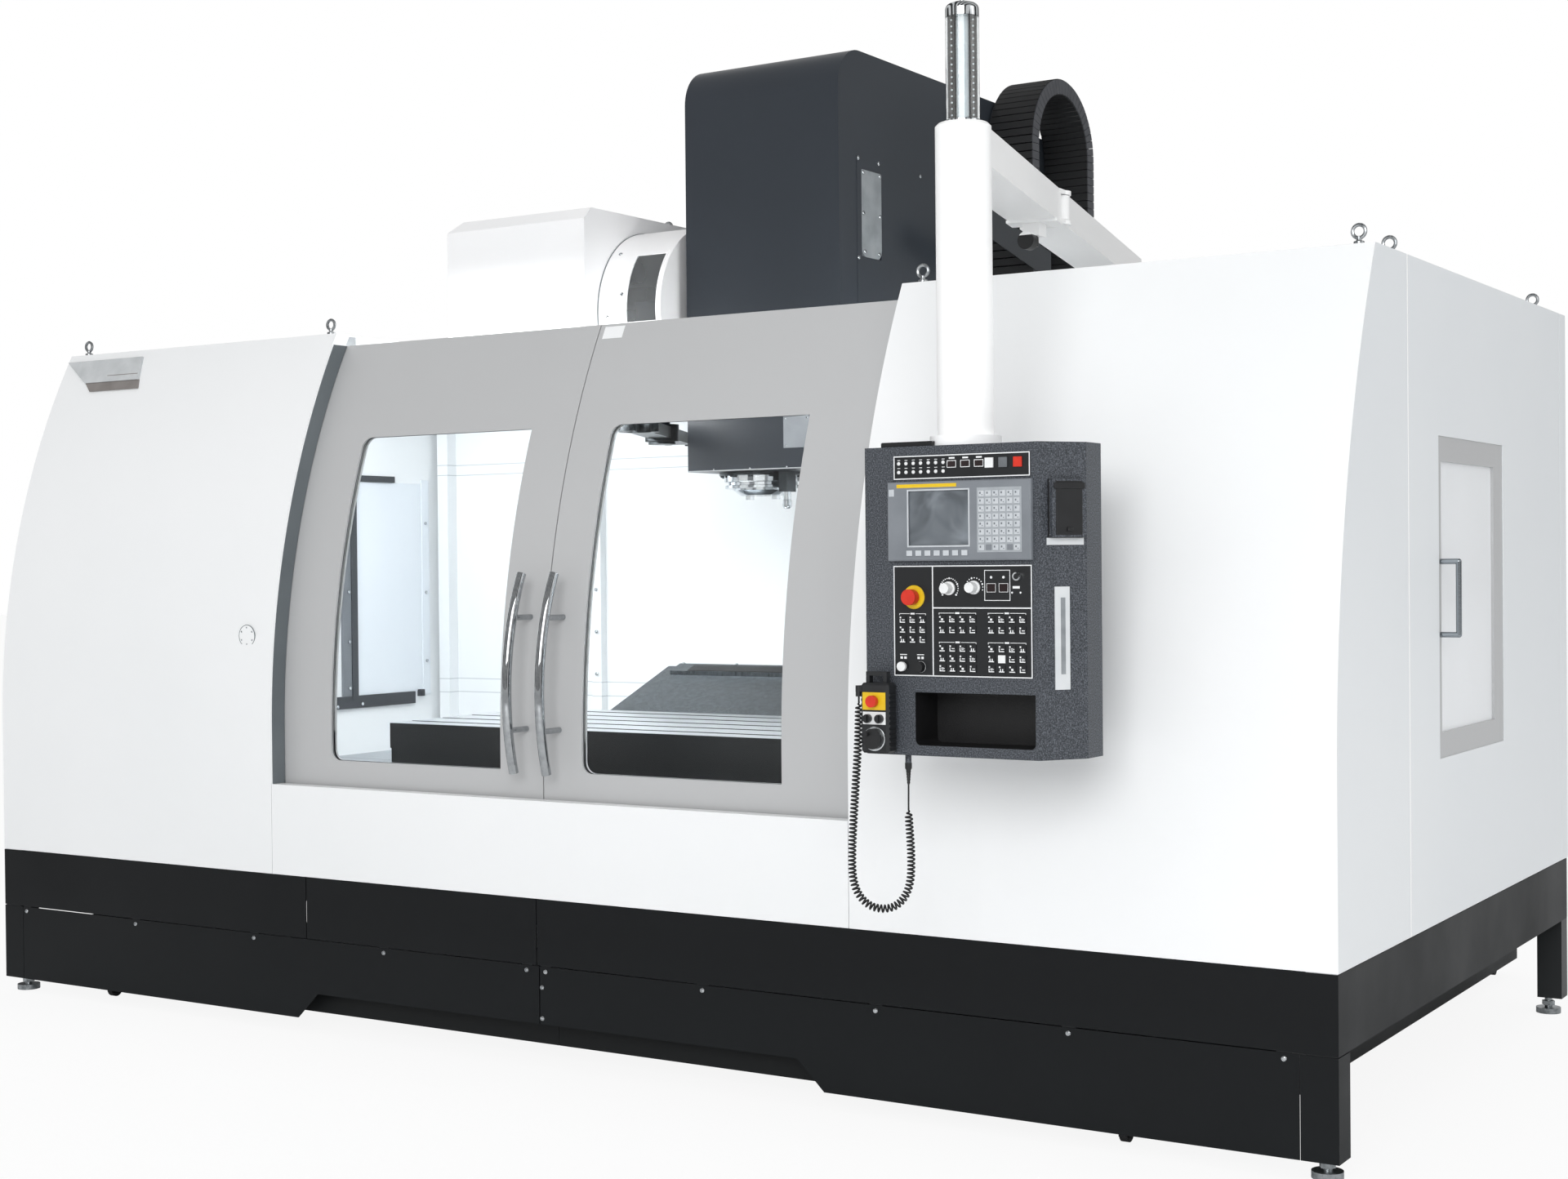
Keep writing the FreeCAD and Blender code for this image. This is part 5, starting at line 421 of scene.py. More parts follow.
def refinish(material, mask, colour, rough=None, metal=False):
    """Gives the part of a piece that a mask marks another colour, gloss and body."""
    tree = material.node_tree
    paint = next(node for node in tree.nodes if node.type == "BSDF_PRINCIPLED")
    coat = paint.inputs["Base Color"].links[0].from_socket
    both = add(tree, "Mix", {0: mask, 6: coat, 7: linear(colour)}, data_type="RGBA")
    tree.links.new(both.outputs[2], paint.inputs["Base Color"])
    if rough is not None:
        gloss = paint.inputs["Roughness"].links[0].from_socket
        both = add(tree, "Mix", {0: mask, 2: gloss, 3: rough})
        tree.links.new(both.outputs[0], paint.inputs["Roughness"])
    if metal:
        tree.links.new(mask, paint.inputs["Metallic"])


FRAME_FOOT = (-0.1, 0.5165)
frame_coat = coated("powder_coat_frame", "#E9EBEC", "#E0E3E4", 0.42, 6.0, 0.08)
refinish(frame_coat, between(frame_coat.node_tree, "Z", *FRAME_FOOT), "#1E2123")
dress(frame_coat, "enclosure_frame")


# ------------------------------------------------------------ skirts and screws
# The dark foot of the machine is 3 mm steel sheet with a satin graphite powder
# coat: nearly black, with a fine orange peel and dust towards the floor.
# The dust lies in clouds of 420 mm. The peel is finer than it shows: it is drawn at 4 mm.
DUST_HEIGHTS = (0.05, 0.40)
DUST_SHARE = 0.55


def graphite_coat(name, colour, dust_colour, gloss):
    """Dark powder coat, paler with dust near the floor, with a fine peel."""
    material, tree, place = new_skin(name)
    split = add(tree, "SeparateXYZ", {"Vector": place})
    low = add(tree, "MapRange", {"Value": split.outputs["Z"], "From Min": DUST_HEIGHTS[0],
                                 "From Max": DUST_HEIGHTS[1], "To Min": DUST_SHARE, "To Max": 0.0})
    cloud = add(tree, "TexNoise", {"Vector": place, "Scale": 2.4, "Detail": 6.0})
    dusty = add(tree, "Math", {0: low.outputs["Result"], 1: cloud.outputs["Fac"]},
                operation="MULTIPLY")
    blend = add(tree, "Mix", {0: dusty.outputs[0], 6: linear(colour), 7: linear(dust_colour)},
                data_type="RGBA")
    peel = add(tree, "TexNoise", {"Vector": place, "Scale": 240.0, "Detail": 2.0})
    skin = add(tree, "Bump", {"Height": peel.outputs["Fac"], "Strength": 0.5, "Distance": 0.0002})
    sheen = add(tree, "MapRange", {"Value": cloud.outputs["Fac"], "From Min": 0.3, "From Max": 0.7,
                                   "To Min": gloss - 0.06, "To Max": gloss + 0.06})
    surfaced(tree, {"Base Color": blend.outputs[2], "Roughness": sheen.outputs["Result"],
                    "Specular IOR Level": 0.18, "Normal": skin.outputs["Normal"]})
    return material


skirt_coat = graphite_coat("graphite_powder_coat", "#131517", "#212527", 0.46)
dress(skirt_coat, "skirt_panels")

# Domed socket screws in bright steel hold the skirt: small, sharp points of light.
screw_steel = plated("bright_screw_steel", "#D3D6D8", "#AEB2B5", 0.22, 1.0)
SCREW_HEAD = [(7.5, 0.0), (7.5, 1.2), (6.2, 3.0), (3.4, 3.9), (3.2, 1.9), (0.6, 1.7)]
SKIRT_SCREWS = (-2380, -1801, -1220, -635, -46, 28, 609, 1191, 1775, 2361)
SKIRT_SCREW_Z = 298
FORWARD = (0, -1, 0)


def fastened(name, body, *groups, smooth=True):
    """Screw heads in groups, each of one form, way, number of sides and row of places."""
    heads = bmesh.new()
    for form, out, sides, spots in groups:
        for spot in spots:
            turned(heads, form, spot, out, sides)
    piece(name, heads, screw_steel, body, smooth=smooth)


fastened("skirt_screws", "machine",
         (SCREW_HEAD, FORWARD, 16, [(x, 0, SKIRT_SCREW_Z) for x in SKIRT_SCREWS]
          + [(14, 0, z) for z in (249, 154)]))


# ------------------------------------------------------ coolant tank on castors
# A welded sheet steel tank that rolls in under the machine, powder coated dark
# grey, on small castors with grey rubber tyres, which are quite matt.
tank_coat = graphite_coat("dark_tank_powder_coat", "#17191A", "#262829", 0.5)
dress(tank_coat, "coolant_tank")
tyre_rubber = coated("grey_tyre_rubber", "#3A3B3D", "#2B2C2E", 0.6, 3.0, 0.2, 30.0)
dress(tyre_rubber, *("caster_wheel_%d" % wheel for wheel in (1, 2, 3, 4)))


# --------------------------------------------------------- white outer panels
# The panels are 3 mm sheet rolled to the front's arc, with a glossy white
# polyester powder coat. Their peel is finer than it shows, so it is drawn at 7 mm.
PEEL = (7.0, 0.06)
PANEL_CLOUD = 1500.0
white_coat = coated("white_powder_coat", "#F7F8F9", "#F1F3F4", 0.30, *PEEL, PANEL_CLOUD)
side_coat = coated("white_powder_coat_sides", "#EEF1F3", "#E8ECEF", 0.32, *PEEL, PANEL_CLOUD)
dress(white_coat, "left_front_panel", "right_front_panel", "door_sill", "roof_panels")
dress(side_coat, "left_side_wall", "right_side_wall")

# A side wall is two sheets that lap; the front one's cut edge is a painted white highlight.
SIDE_SEAM_HIGHLIGHT = (0.609, 0.617)
refinish(side_coat, between(side_coat.node_tree, "Y", *SIDE_SEAM_HIGHLIGHT), "#FFFFFF")

ARC_RADIUS = 2896.0
ARC_START = 1000.0


def front_y(z, inset=0.0):
    """Depth of the machine's front face at a height, moved inwards by inset."""
    rise = max(z - ARC_START, 0.0)
    return ARC_RADIUS - math.sqrt((ARC_RADIUS - inset) ** 2 - rise * rise)


def curved_plate(shape, low, high, inset, thick, steps=24):
    """Adds a plate on the front's arc between two rows of (height, left, right)."""
    rows = []
    for step in range(steps + 1):
        z, x0, x1 = (one + (two - one) * step / steps for one, two in zip(low, high))
        y0, y1 = front_y(z, inset), front_y(z, inset + thick)
        rows.append(((x0, y0, z), (x1, y0, z), (x1, y1, z), (x0, y1, z)))
    skinned(shape, rows)


# The left jamb is lined with a moulded rubber seal that the door meets: matt grey.
SEAL_X = (-1124.9, -1123)
seal_rubber = coated("grey_seal_rubber", "#70777B", "#666D71", 0.62, 4.0, 0.15, 300.0)
seal = bmesh.new()
curved_plate(seal, (821, *SEAL_X), (2310, *SEAL_X), 0.5, 56.5, 96)
piece("jamb_seal", seal, seal_rubber, "machine")

# The raised plate at the top left corner is bare: anodised aluminium, satin. The band under it
# and a thin rule line across it are drawn darker, in painted shade.
plate_metal = coated("satin_aluminium_plate", "#CDD0D2", "#BCC0C2", 0.3, 3.0, 0.05, 60.0)
plate = bmesh.new()
curved_plate(plate, (2238, -2350, -2062), (2326, -2492, -2086), -10.0, 11.0, 8)
piece("corner_plate", plate, plate_metal, "machine", 1.5)
# Painted shade for the plate's lower bevel and its rule line.
edge_painted_shade = coated("aluminium_edge_painted_shade", "#8C8784", "#7C7774", 0.3, 3.0, 0.05, 60.0)
edge = bmesh.new()
curved_plate(edge, (2204, -2310, -2050), (2238, -2350, -2062), -6.0, 7.0, 4)
curved_plate(edge, (2260, -2236, -2072), (2263, -2236, -2073), -10.6, 2.0, 1)
piece("corner_plate_edge", edge, edge_painted_shade, "machine", 1.0)

# The round blind plate on the left panel sits on a thin gasket and six screws.
ROUND_PLATE = (-1251.0, 14.4, 1313.0)
ROUND_RIM = [(35.6, 0.3), (37.6, 0.3), (37.6, -2.0), (35.6, -2.0)]
ROUND_SCREW_RING = 28
SMALL_SCREW = [(3.2, 0), (3.2, 0.9), (2.4, 1.7), (1.1, 1.8)]
gasket = bmesh.new()
turned(gasket, ROUND_RIM, ROUND_PLATE, FORWARD, 48, True)
piece("round_plate_gasket", gasket, seal_rubber, "machine")
ring_angles = [math.radians(60 * turn + 30) for turn in range(6)]
fastened("round_plate_screws", "machine", (SMALL_SCREW, FORWARD, 12, [
    (ROUND_PLATE[0] + ROUND_SCREW_RING * math.cos(angle), ROUND_PLATE[1],
     ROUND_PLATE[2] + ROUND_SCREW_RING * math.sin(angle)) for angle in ring_angles]))


# ------------------------------------------------------------ work area lining
# Inside, glossy white liner sheets lap over each other, held by a half matt channel
# frame with hexagon screws. The rear wall is folded in long flat strips, whose
# seams show as thin grey lines.
SEAM_WIDTH = 0.004
rear_coat = coated("white_liner_coat", "#EEF1F3", "#E8ECEF", 0.32, *PEEL, PANEL_CLOUD)
for seam in (1.997, 1.952, 1.035, 0.975):
    refinish(rear_coat, between(rear_coat.node_tree, "Z", seam - SEAM_WIDTH / 2,
                                seam + SEAM_WIDTH / 2), "#C3C9CD")
dress(rear_coat, "rear_wall")


def block(shape, x0, x1, y0, y1, z0, z1):
    """Adds a box between two corners."""
    skinned(shape, [((x0, y0, z), (x1, y0, z), (x1, y1, z), (x0, y1, z)) for z in (z0, z1)])


def blocks(name, boxes, material, body, round_mm=0.0, smooth=True):
    """A piece made of boxes."""
    shape = bmesh.new()
    for corners in boxes:
        block(shape, *corners)
    return piece(name, shape, material, body, round_mm, smooth)


LINER = -2407.0
liner_coat = coated("bluish_liner_coat", "#E3E9EF", "#DCE3EA", 0.32, *PEEL, PANEL_CLOUD)
blocks("liner_sheet", [(LINER - 1, LINER + 2, 1757, 2182, 985, 1913),
                       (LINER - 1, LINER + 7, 2182, 2229, 968, 1930)],
       liner_coat, "machine", 1.0)
channel_grey = coated("grey_channel_coat", "#6F747A", "#666B71", 0.4, 6.0, 0.06, 300.0)
blocks("liner_channel", [(LINER - 1, LINER + 12, 1668, 1720, 968, 1900)],
       channel_grey, "machine", 1.0)
channel_dark = coated("dark_channel_coat", "#33373D", "#2C3036", 0.4, 6.0, 0.06, 300.0)
blocks("liner_rails", [(LINER - 1, LINER + 16, 1720, 1757, 968, 1900),
                       (LINER - 1, LINER + 14, 1500, 2002, 1913, 1940),
                       (LINER - 1, LINER + 14, 1500, 2121, 932, 985),
                       (LINER - 1, LINER + 24, 2148, 2172, 962, 992)],
       channel_dark, "machine", 1.0)
HEX_HEAD = [(8.0, 0), (8.0, 5.0), (6.5, 6.0)]
LINER_BOLTS = ((14, 1626, 944), (14, 1777, 949), (12, 1704, 1657), (12, 1704, 1435),
               (12, 1704, 1220), (12, 1704, 1020), (7, 2205, 1736), (7, 2205, 1426),
               (7, 2205, 1119))
fastened("liner_bolts", "machine",
         (HEX_HEAD, (1, 0, 0), 6, [(LINER + proud, y, z) for proud, y, z in LINER_BOLTS]),
         (HEX_HEAD, FORWARD, 6, [(-1500, 2283, z) for z in (1800, 1618, 1436, 1254, 1072)]),
         smooth=False)


# -------------------------------------------------- inner guards and way covers
# Stainless and zinc coated sheet, ground in one direction and dull from coolant,
# bolted to the bed and the saddle. The way cover is darker and wiped by matt rubber.
guard_sheet = plated("brushed_guard_steel", "#C3C7C9", "#A9AEB1", 0.42, 1.5)
dress(guard_sheet, "inner_guards", "middle_way_cover")
cover_steel = plated("dark_way_cover_steel", "#666C70", "#53585C", 0.30, 2.0)
dress(cover_steel, "way_cover")
COVER_SLOPE = Vector((0.0, -0.352, 0.936))
WIPER_EDGE = ((1617, 1132.5), (1664, 1150.2), (1664, 1154.2), (1617, 1136.5))
wiper = bmesh.new()
skinned(wiper, [[(x, y, z) for y, z in WIPER_EDGE] for x in (-560, 560)])
wiper_rubber = coated("black_wiper_rubber", "#1B1C1E", "#151618", 0.5, 4.0, 0.1, 60.0)
piece("cover_wiper", wiper, wiper_rubber, "saddle", 1.0)
fastened("cover_bolts", "saddle", (HEX_HEAD, COVER_SLOPE, 6, [
    (x, 1675, 1155) for x in (-617, -373, -129, 115, 359, 603)]), smooth=False)


# ------------------------------------------------------------ lifting eyebolts
# Drop forged lifting eyes, screwed into the roof's frame. Zinc plating gives them
# a bright, slightly cloudy shine.
ROOF_TOP = 2352
HEAD_TOP = 2807
EYE_LIP = front_y(ROOF_TOP) + 24
EYES = ((-2430, EYE_LIP, ROOF_TOP), (-1180, EYE_LIP, ROOF_TOP), (1165, EYE_LIP, ROOF_TOP),
        (2450, EYE_LIP, ROOF_TOP), (2450, 620, ROOF_TOP), (2450, 2190, ROOF_TOP),
        (-2450, 2190, ROOF_TOP), (-660, 1660, HEAD_TOP))
EYE_FOOT = [(14, 0), (14, 7), (12.5, 8.5), (8, 9), (7, 12), (7, 20)]
EYE_RING = 17
EYE_BAR = 5
eye_zinc = plated("forged_zinc_eyebolt", "#B9BCBE", "#8C9093", 0.28, 2.0)
bar_angles = [math.radians(45 * step) for step in range(8)]
bar = [(EYE_RING + EYE_BAR * math.cos(angle), EYE_BAR * math.sin(angle)) for angle in bar_angles]
eyes = bmesh.new()
for x, y, z in EYES:
    turned(eyes, EYE_FOOT, (x, y, z), UP, 20)
    turned(eyes, bar, (x, y, z + 2 * EYE_RING), (0, 1, 0), 28, True)
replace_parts(piece("eyebolts", eyes, eye_zinc, "machine"), "lifting_eyebolts")


# ------------------------------------------------------------------ front doors
# Two rolled sheet doors in light grey powder coat, smooth and half gloss, each with
# a clear pane in a matt black rubber profile and a bowed handle of polished tube.
door_coat = coated("light_grey_powder_coat", "#BEBFC0", "#BABBBC", 0.34, *PEEL, PANEL_CLOUD)
dress(door_coat, "left_door", "right_door")
tag = bmesh.new()
curved_plate(tag, (2262, 0, 78), (2302, 0, 78), 59.4, 1.2, 4)
piece("door_tag", tag, white_coat, "right_door")


def clear_sheet(name, colour, patches, detail, pattern, rough, clear):
    """Plastic sheet with haze in so many patches to a metre, between two roughnesses."""
    material, tree, place = new_skin(name)
    haze = add(tree, "TexNoise", {"Vector": place, "Scale": patches, "Detail": detail})
    film = add(tree, "MapRange", {"Value": haze.outputs["Fac"], "From Min": pattern[0],
                                  "From Max": pattern[1], "To Min": rough[0], "To Max": rough[1]})
    surfaced(tree, {"Base Color": linear(colour), "Roughness": film.outputs["Result"],
                    "Transmission Weight": clear, "IOR": 1.2})
    return material


# Polycarbonate: clear, with a thin film of coolant in patches of 330 mm. Its low IOR
# stands for a thin sheet, which hardly bends light.
clear_pane = clear_sheet("clear_polycarbonate_pane", "#FAFCFC", 3.0, 5.0, (0.4, 0.8),
                         (0.0, 0.004), 1.0)
dress(clear_pane, "left_door_glass", "right_door_glass")


def corner_arc(middle, radius, start):
    """Seven points of a quarter circle from an angle in degrees."""
    angles = [math.radians(start + 15 * step) for step in range(7)]
    return [(middle[0] + radius * math.cos(angle), middle[1] + radius * math.sin(angle))
            for angle in angles]


WINDOW_LOW = 904.0
WINDOW_HIGH = 1977.0
WINDOW_WIDE = 722.0
WINDOW_CORNER = 35.0
WINDOW_STEP = 40
GASKET_INSET = 60.0
GASKET_SUNK = 9.0
GASKET_RADIUS = 0.0015
gasket_rubber = coated("black_window_rubber", "#4A4C4F", "#3F4144", 0.55, 3.0, 0.1, 60.0)
for name, left, body in (("left_door_gasket", -913.0, "left_door"),
                         ("right_door_gasket", 130.0, "right_door")):
    right = left + WINDOW_WIDE
    inner = left + WINDOW_CORNER
    outline = [(right, WINDOW_LOW), (right, WINDOW_HIGH)]
    outline += corner_arc((inner, WINDOW_HIGH - WINDOW_CORNER), WINDOW_CORNER, 90)
    outline += corner_arc((inner, WINDOW_LOW + WINDOW_CORNER), WINDOW_CORNER, 180)
    dense = []
    for one, two in zip(outline, outline[1:] + outline[:1]):
        count = max(1, int(math.dist(one, two) / WINDOW_STEP))
        dense += [[start + (end - start) * step / count for start, end in zip(one, two)]
                  for step in range(count)]
    line = [(x, front_y(z, GASKET_INSET) + GASKET_SUNK, z) for x, z in dense]
    gasket = strand(name, "POLY", [[size * 0.001 for size in place] for place in line], True)
    gasket.data.bevel_depth = GASKET_RADIUS
    gasket.data.bevel_resolution = 2
    gasket.data.materials.append(gasket_rubber)
    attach(gasket, body)

# Mirror-polished stainless tube: it shows the studio's strips sharp and undimmed.
polished_tube = plated("polished_stainless_tube", "#B4B7B9", "#A2A5A8", 0.04, 8.0, 0.01)
dress(polished_tube, "left_door_handle", "right_door_handle")


# ------------------------------------------------------------------- side door
# A folded sheet door that slides on the right wall, coated like the front doors.
# Its pane is drawn milky white as painted light for the bright interior behind it, and its D-handle
# is satin stainless steel.
SIDE_HANDLE = (2.4975, 2.6)
side_door_coat = coated("light_grey_side_door_coat", "#BEBFC0", "#BABBBC", 0.34, *PEEL,
                        PANEL_CLOUD)
handle = between(side_door_coat.node_tree, "X", *SIDE_HANDLE)
refinish(side_door_coat, handle, "#9AA0A5", 0.12, True)
dress(side_door_coat, "side_door")
# The pane lets little through, with haze in patches of 500 mm: its milky white is painted light.
pane_painted_light = clear_sheet("side_pane_painted_light", "#FAFCFE", 2.0, 4.0, (0.3, 0.7),
                         (0.08, 0.16), 0.15)
dress(pane_painted_light, "side_door_glass")


# ------------------------------------------------------------- table and slots
# The table is a close-grained iron casting: its sides keep a near black enamel,
# its top is ground bright, and the T-slots are milled along it. The grinding
# marks are drawn 25 mm by 0.8 mm, coarser than real, and the enamel drifts in
# clouds of 110 mm.
TABLE_TOP = 1.000
TOP_SKIN = 0.0008
SLOT_Y = 0.545
SLOT_PITCH = 0.160
SLOT_SHADE = 0.016
table_iron, tree, place = new_skin("ground_table_iron")
split = add(tree, "SeparateXYZ", {"Vector": place})
top = add(tree, "Math", {0: split.outputs["Z"], 1: TABLE_TOP - TOP_SKIN}, operation="GREATER_THAN")
lay = add(tree, "Mapping", {"Vector": place, "Scale": (1.0, 30.0, 1.0)})
bright = drift(tree, lay.outputs["Vector"], 40.0, 4.0, (0.0, "#C8CCCE"), (1.0, "#F2F4F5"))[1]
# A strip 16 mm each side of every slot's middle is drawn dark grey on the top: painted shade.
from_slot = add(tree, "Math", {0: split.outputs["Y"], 1: SLOT_Y}, operation="SUBTRACT")
nearest = add(tree, "Math", {0: from_slot.outputs[0], 1: SLOT_PITCH / 2}, operation="PINGPONG")
edge = add(tree, "Math", {0: nearest.outputs[0], 1: SLOT_SHADE}, operation="LESS_THAN")
face = add(tree, "Mix", {0: edge.outputs[0], 6: bright, 7: linear("#3A3E41")}, data_type="RGBA")
ground = add(tree, "BsdfPrincipled", {"Base Color": face.outputs[2], "Metallic": 1.0,
                                      "Roughness": 0.3})
dark = drift(tree, place, 9.0, 4.0, (0.0, "#171A1C"), (1.0, "#212426"))[1]
enamel = add(tree, "BsdfPrincipled", {"Base Color": dark, "Roughness": 0.4})
both = add(tree, "MixShader", {0: top.outputs[0], 1: enamel.outputs[0], 2: ground.outputs[0]})
add(tree, "OutputMaterial", {"Surface": both.outputs[0]})
dress(table_iron, "worktable")


# ---------------------------------------------------------------- spindle head
# The head's cover is folded sheet with a smooth slate grey coat, half matt. Below
# it the spindle nose is hardened steel, turned and ground to a mirror, bolted on
# by a flange that is blackened and oiled.
head_coat = coated("slate_grey_coat", "#343940", "#30353B", 0.34, 5.0, 0.05, 900.0, 0.3)
dress(head_coat, "head_cover")
spindle_steel = plated("ground_spindle_steel", "#D8DADC", "#CBCED1", 0.10, 4.0, 0.01)
dress(spindle_steel, "spindle_rotor")
NOSE = (0.0, 1295.0, 0.0)
NOSE_PROFILE = [(70, 1784), (79, 1782), (82, 1783), (104, 1800), (105, 1806), (133, 1806),
                (134, 1807), (134, 1816), (133, 1817), (124, 1817), (124, 1828), (135, 1828),
                (137, 1830), (137, 1851), (70, 1851)]
NOZZLE = (152, 1215, 1790)
NOZZLE_PROFILE = [(14, 0), (14, 28), (16, 29), (16, 50), (13, 55), (9, 59), (4, 59)]
nose = bmesh.new()
turned(nose, NOSE_PROFILE, NOSE, UP, 96, True)
turned(nose, NOZZLE_PROFILE, NOZZLE, (0, 0, -1), 24)
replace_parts(piece("spindle_nose", nose, spindle_steel, "head"), "spindle_housing")

FLANGE_PROFILE = [(110, 1851), (153, 1851), (155, 1853), (155, 1866), (110, 1866)]
FLANGE_BOLTS = 12
BOLT_RING = 146
flange_steel = plated("blackened_flange_steel", "#4A4E51", "#35393C", 0.2, 2.0, 0.02)
flange = bmesh.new()
turned(flange, FLANGE_PROFILE, NOSE, UP, 96, True)
for bolt in range(FLANGE_BOLTS):
    angle = math.radians(360 / FLANGE_BOLTS * bolt + 15)
    turned(flange, HEX_HEAD, (NOSE[0] + BOLT_RING * math.cos(angle),
                              NOSE[1] + BOLT_RING * math.sin(angle), 1851), (0, 0, -1), 6)
block(flange, 137, 170, 1185, 1245, 1790, 1866)
piece("spindle_flange", flange, flange_steel, "head")

# A bright strip closes the cover's lower edge, and a bare grey plate sits above it.
cover_lip = bmesh.new()
block(cover_lip, -169, 455.4, 1073.8, 1075.4, 1863.4, 1867)
for x in (-60, 90, 240, 390):
    turned(cover_lip, SMALL_SCREW, (x, 1074.4, 1870), FORWARD, 12)
piece("head_cover_lip", cover_lip, spindle_steel, "head")
plate_grey = coated("mid_grey_front_plate", "#979BA0", "#85898E", 0.45, 3.0, 0.05, 60.0)
blocks("head_front_plate", [(229, 333, 1072.4, 1076, 1934, 2043)], plate_grey, "head",
       0.6)

# On the cover's right side a hatch is screwed on, with a sight plate in smoky
# grey plastic, which is smooth and glossy.
HEAD_RIGHT = 456.0
OUTWARD = (1, 0, 0)
HATCH_SCREWS = ((1200, 2919), (1340, 2919), (1640, 2919), (1200, 2580), (1200, 2000))
fastened("hatch_screws", "head",
         (SCREW_HEAD, OUTWARD, 16, [(HEAD_RIGHT + 2, y, z) for y, z in HATCH_SCREWS]),
         (SMALL_SCREW, FORWARD, 12, [(x, 1072.4, z) for z in (1943, 2034) for x in (238, 324)]))
SIGHT_FACE = HEAD_RIGHT + 3.5
SIGHT_LEFT, SIGHT_RIGHT, SIGHT_LOW, SIGHT_HIGH = 1222.0, 1356.0, 2586.0, 2884.0
SIGHT_SCREWS = ((1232, 2874), (1346, 2874), (1232, 2735), (1346, 2735), (1240, 2604),
                (1338, 2604))
sight_outline = (corner_arc((SIGHT_RIGHT - 8, SIGHT_HIGH - 8), 8, 0)
                 + corner_arc((SIGHT_LEFT + 8, SIGHT_HIGH - 8), 8, 90)
                 + corner_arc((SIGHT_LEFT + 30, SIGHT_LOW + 30), 30, 180)
                 + corner_arc((SIGHT_RIGHT - 30, SIGHT_LOW + 30), 30, 270))
sight_plastic = coated("grey_sight_plastic", "#8F9598", "#7C8286", 0.25, 8.0, 0.1, 90.0)
sight = bmesh.new()
skinned(sight, [[(x, y, z) for y, z in sight_outline] for x in (SIGHT_FACE, HEAD_RIGHT - 8)])
piece("head_sight_plate", sight, sight_plastic, "head", 1.0)
fastened("sight_screws", "head",
         (SCREW_HEAD, OUTWARD, 12, [(SIGHT_FACE, y, z) for y, z in SIGHT_SCREWS]))


# --------------------------------------------------------------- cable carrier
# A drag chain that feeds the head's cables over an arch: moulded nylon side links
# with snapped-on crossbars, black and matt, pinned one to the next.
CHAIN_RADIUS = 275.5
CHAIN_MIDDLE = (2437.5, 3108.5)
CHAIN_FOOT = 2560.0
CHAIN_LEFT, CHAIN_RIGHT = 462.0, 650.0
CHAIN_LINKS = 65
CHAIN_LEG_LINKS = 18
LINK_PLATE = 8
LINK_EASE = 1.2
CHAIN_HOSES = (478, 508, 538, 568, 598, 628)
HOSE_HALF = 11
chain_leg = CHAIN_MIDDLE[1] - CHAIN_FOOT
chain_total = 2 * chain_leg + math.pi * CHAIN_RADIUS


def on_chain(distance, depth):
    """Place in the chain's arch: along its outside from the front foot, and inwards."""
    inner = CHAIN_RADIUS - depth
    if distance < chain_leg:
        return CHAIN_MIDDLE[0] - inner, CHAIN_FOOT + distance
    bend = min((distance - chain_leg) / CHAIN_RADIUS, math.pi)
    rest = max(distance - chain_leg - math.pi * CHAIN_RADIUS, 0.0)
    return (CHAIN_MIDDLE[0] - inner * math.cos(bend),
            CHAIN_MIDDLE[1] + inner * math.sin(bend) - rest)


def chain_bar(shape, x0, x1, start, stop, outside, inside):
    """Adds a straight bar of a link between two distances and two depths."""
    corners = ((start, outside), (stop, outside), (stop, inside), (start, inside))
    skinned(shape, [[(x, *on_chain(mark, depth)) for mark, depth in corners] for x in (x0, x1)])


chain_nylon = coated("black_nylon_crossbars", "#191A1C", "#131416", 0.5, 5.0, 0.1, 60.0)
link_nylon = coated("grey_nylon_side_links", "#45474C", "#3C3E43", 0.45, 5.0, 0.1, 60.0)


def chain_run(first, last):
    """The crossbars, side plates and hoses of the links from first to last."""
    bars, links, hoses = bmesh.new(), bmesh.new(), bmesh.new()
    for link in range(first, last):
        start = chain_total * link / CHAIN_LINKS
        stop = chain_total * (link + 1) / CHAIN_LINKS
        for x in (CHAIN_LEFT, CHAIN_RIGHT - LINK_PLATE):
            chain_bar(links, x, x + LINK_PLATE, start + 0.8, stop - 0.8, 3, 57)
        chain_bar(bars, CHAIN_LEFT + 3, CHAIN_RIGHT - 3, start + 1, stop - 2, 0, 7)
        chain_bar(bars, CHAIN_LEFT + 3, CHAIN_RIGHT - 3, start + 0.4, stop - 0.8, 53, 60)
        for x in CHAIN_HOSES:
            chain_bar(hoses, x - HOSE_HALF, x + HOSE_HALF, start, stop, 18, 42)
    for shape in (bars, links):
        bmesh.ops.bevel(shape, geom=shape.edges[:], offset=LINK_EASE, segments=1, affect="EDGES")
    return (("crossbars", bars, chain_nylon), ("side_links", links, link_nylon),
            ("hoses", hoses, cord_rubber))


for kind, shape, nylon in chain_run(CHAIN_LEG_LINKS, CHAIN_LINKS):
    arch = piece("chain_arch_" + kind, shape, nylon, "machine")
    if kind == "crossbars":
        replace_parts(arch, "cable_chain")
# The front leg hangs between the arch and the head's bracket. It rides on no body.
for kind, shape, nylon in chain_run(0, CHAIN_LEG_LINKS):
    leg = piece("chain_leg_" + kind, shape, nylon, None)
    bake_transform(leg)

# Sheet guides with a dark half gloss coat keep the chain in line.
GUIDE_EDGE = ((1811, 2700), (2306, 2600), (2306, 2707), (1811, 2804))
guide_coat = coated("dark_guide_coat", "#2B3137", "#262B30", 0.4, 5.0, 0.05, 300.0)
guide = bmesh.new()
skinned(guide, [[(x, y, z) for y, z in GUIDE_EDGE] for x in (650.6, 653.6)])
block(guide, 455, 460, 2590, 2713, 2560, 3210)
piece("chain_guides", guide, guide_coat, "machine", 0.8)


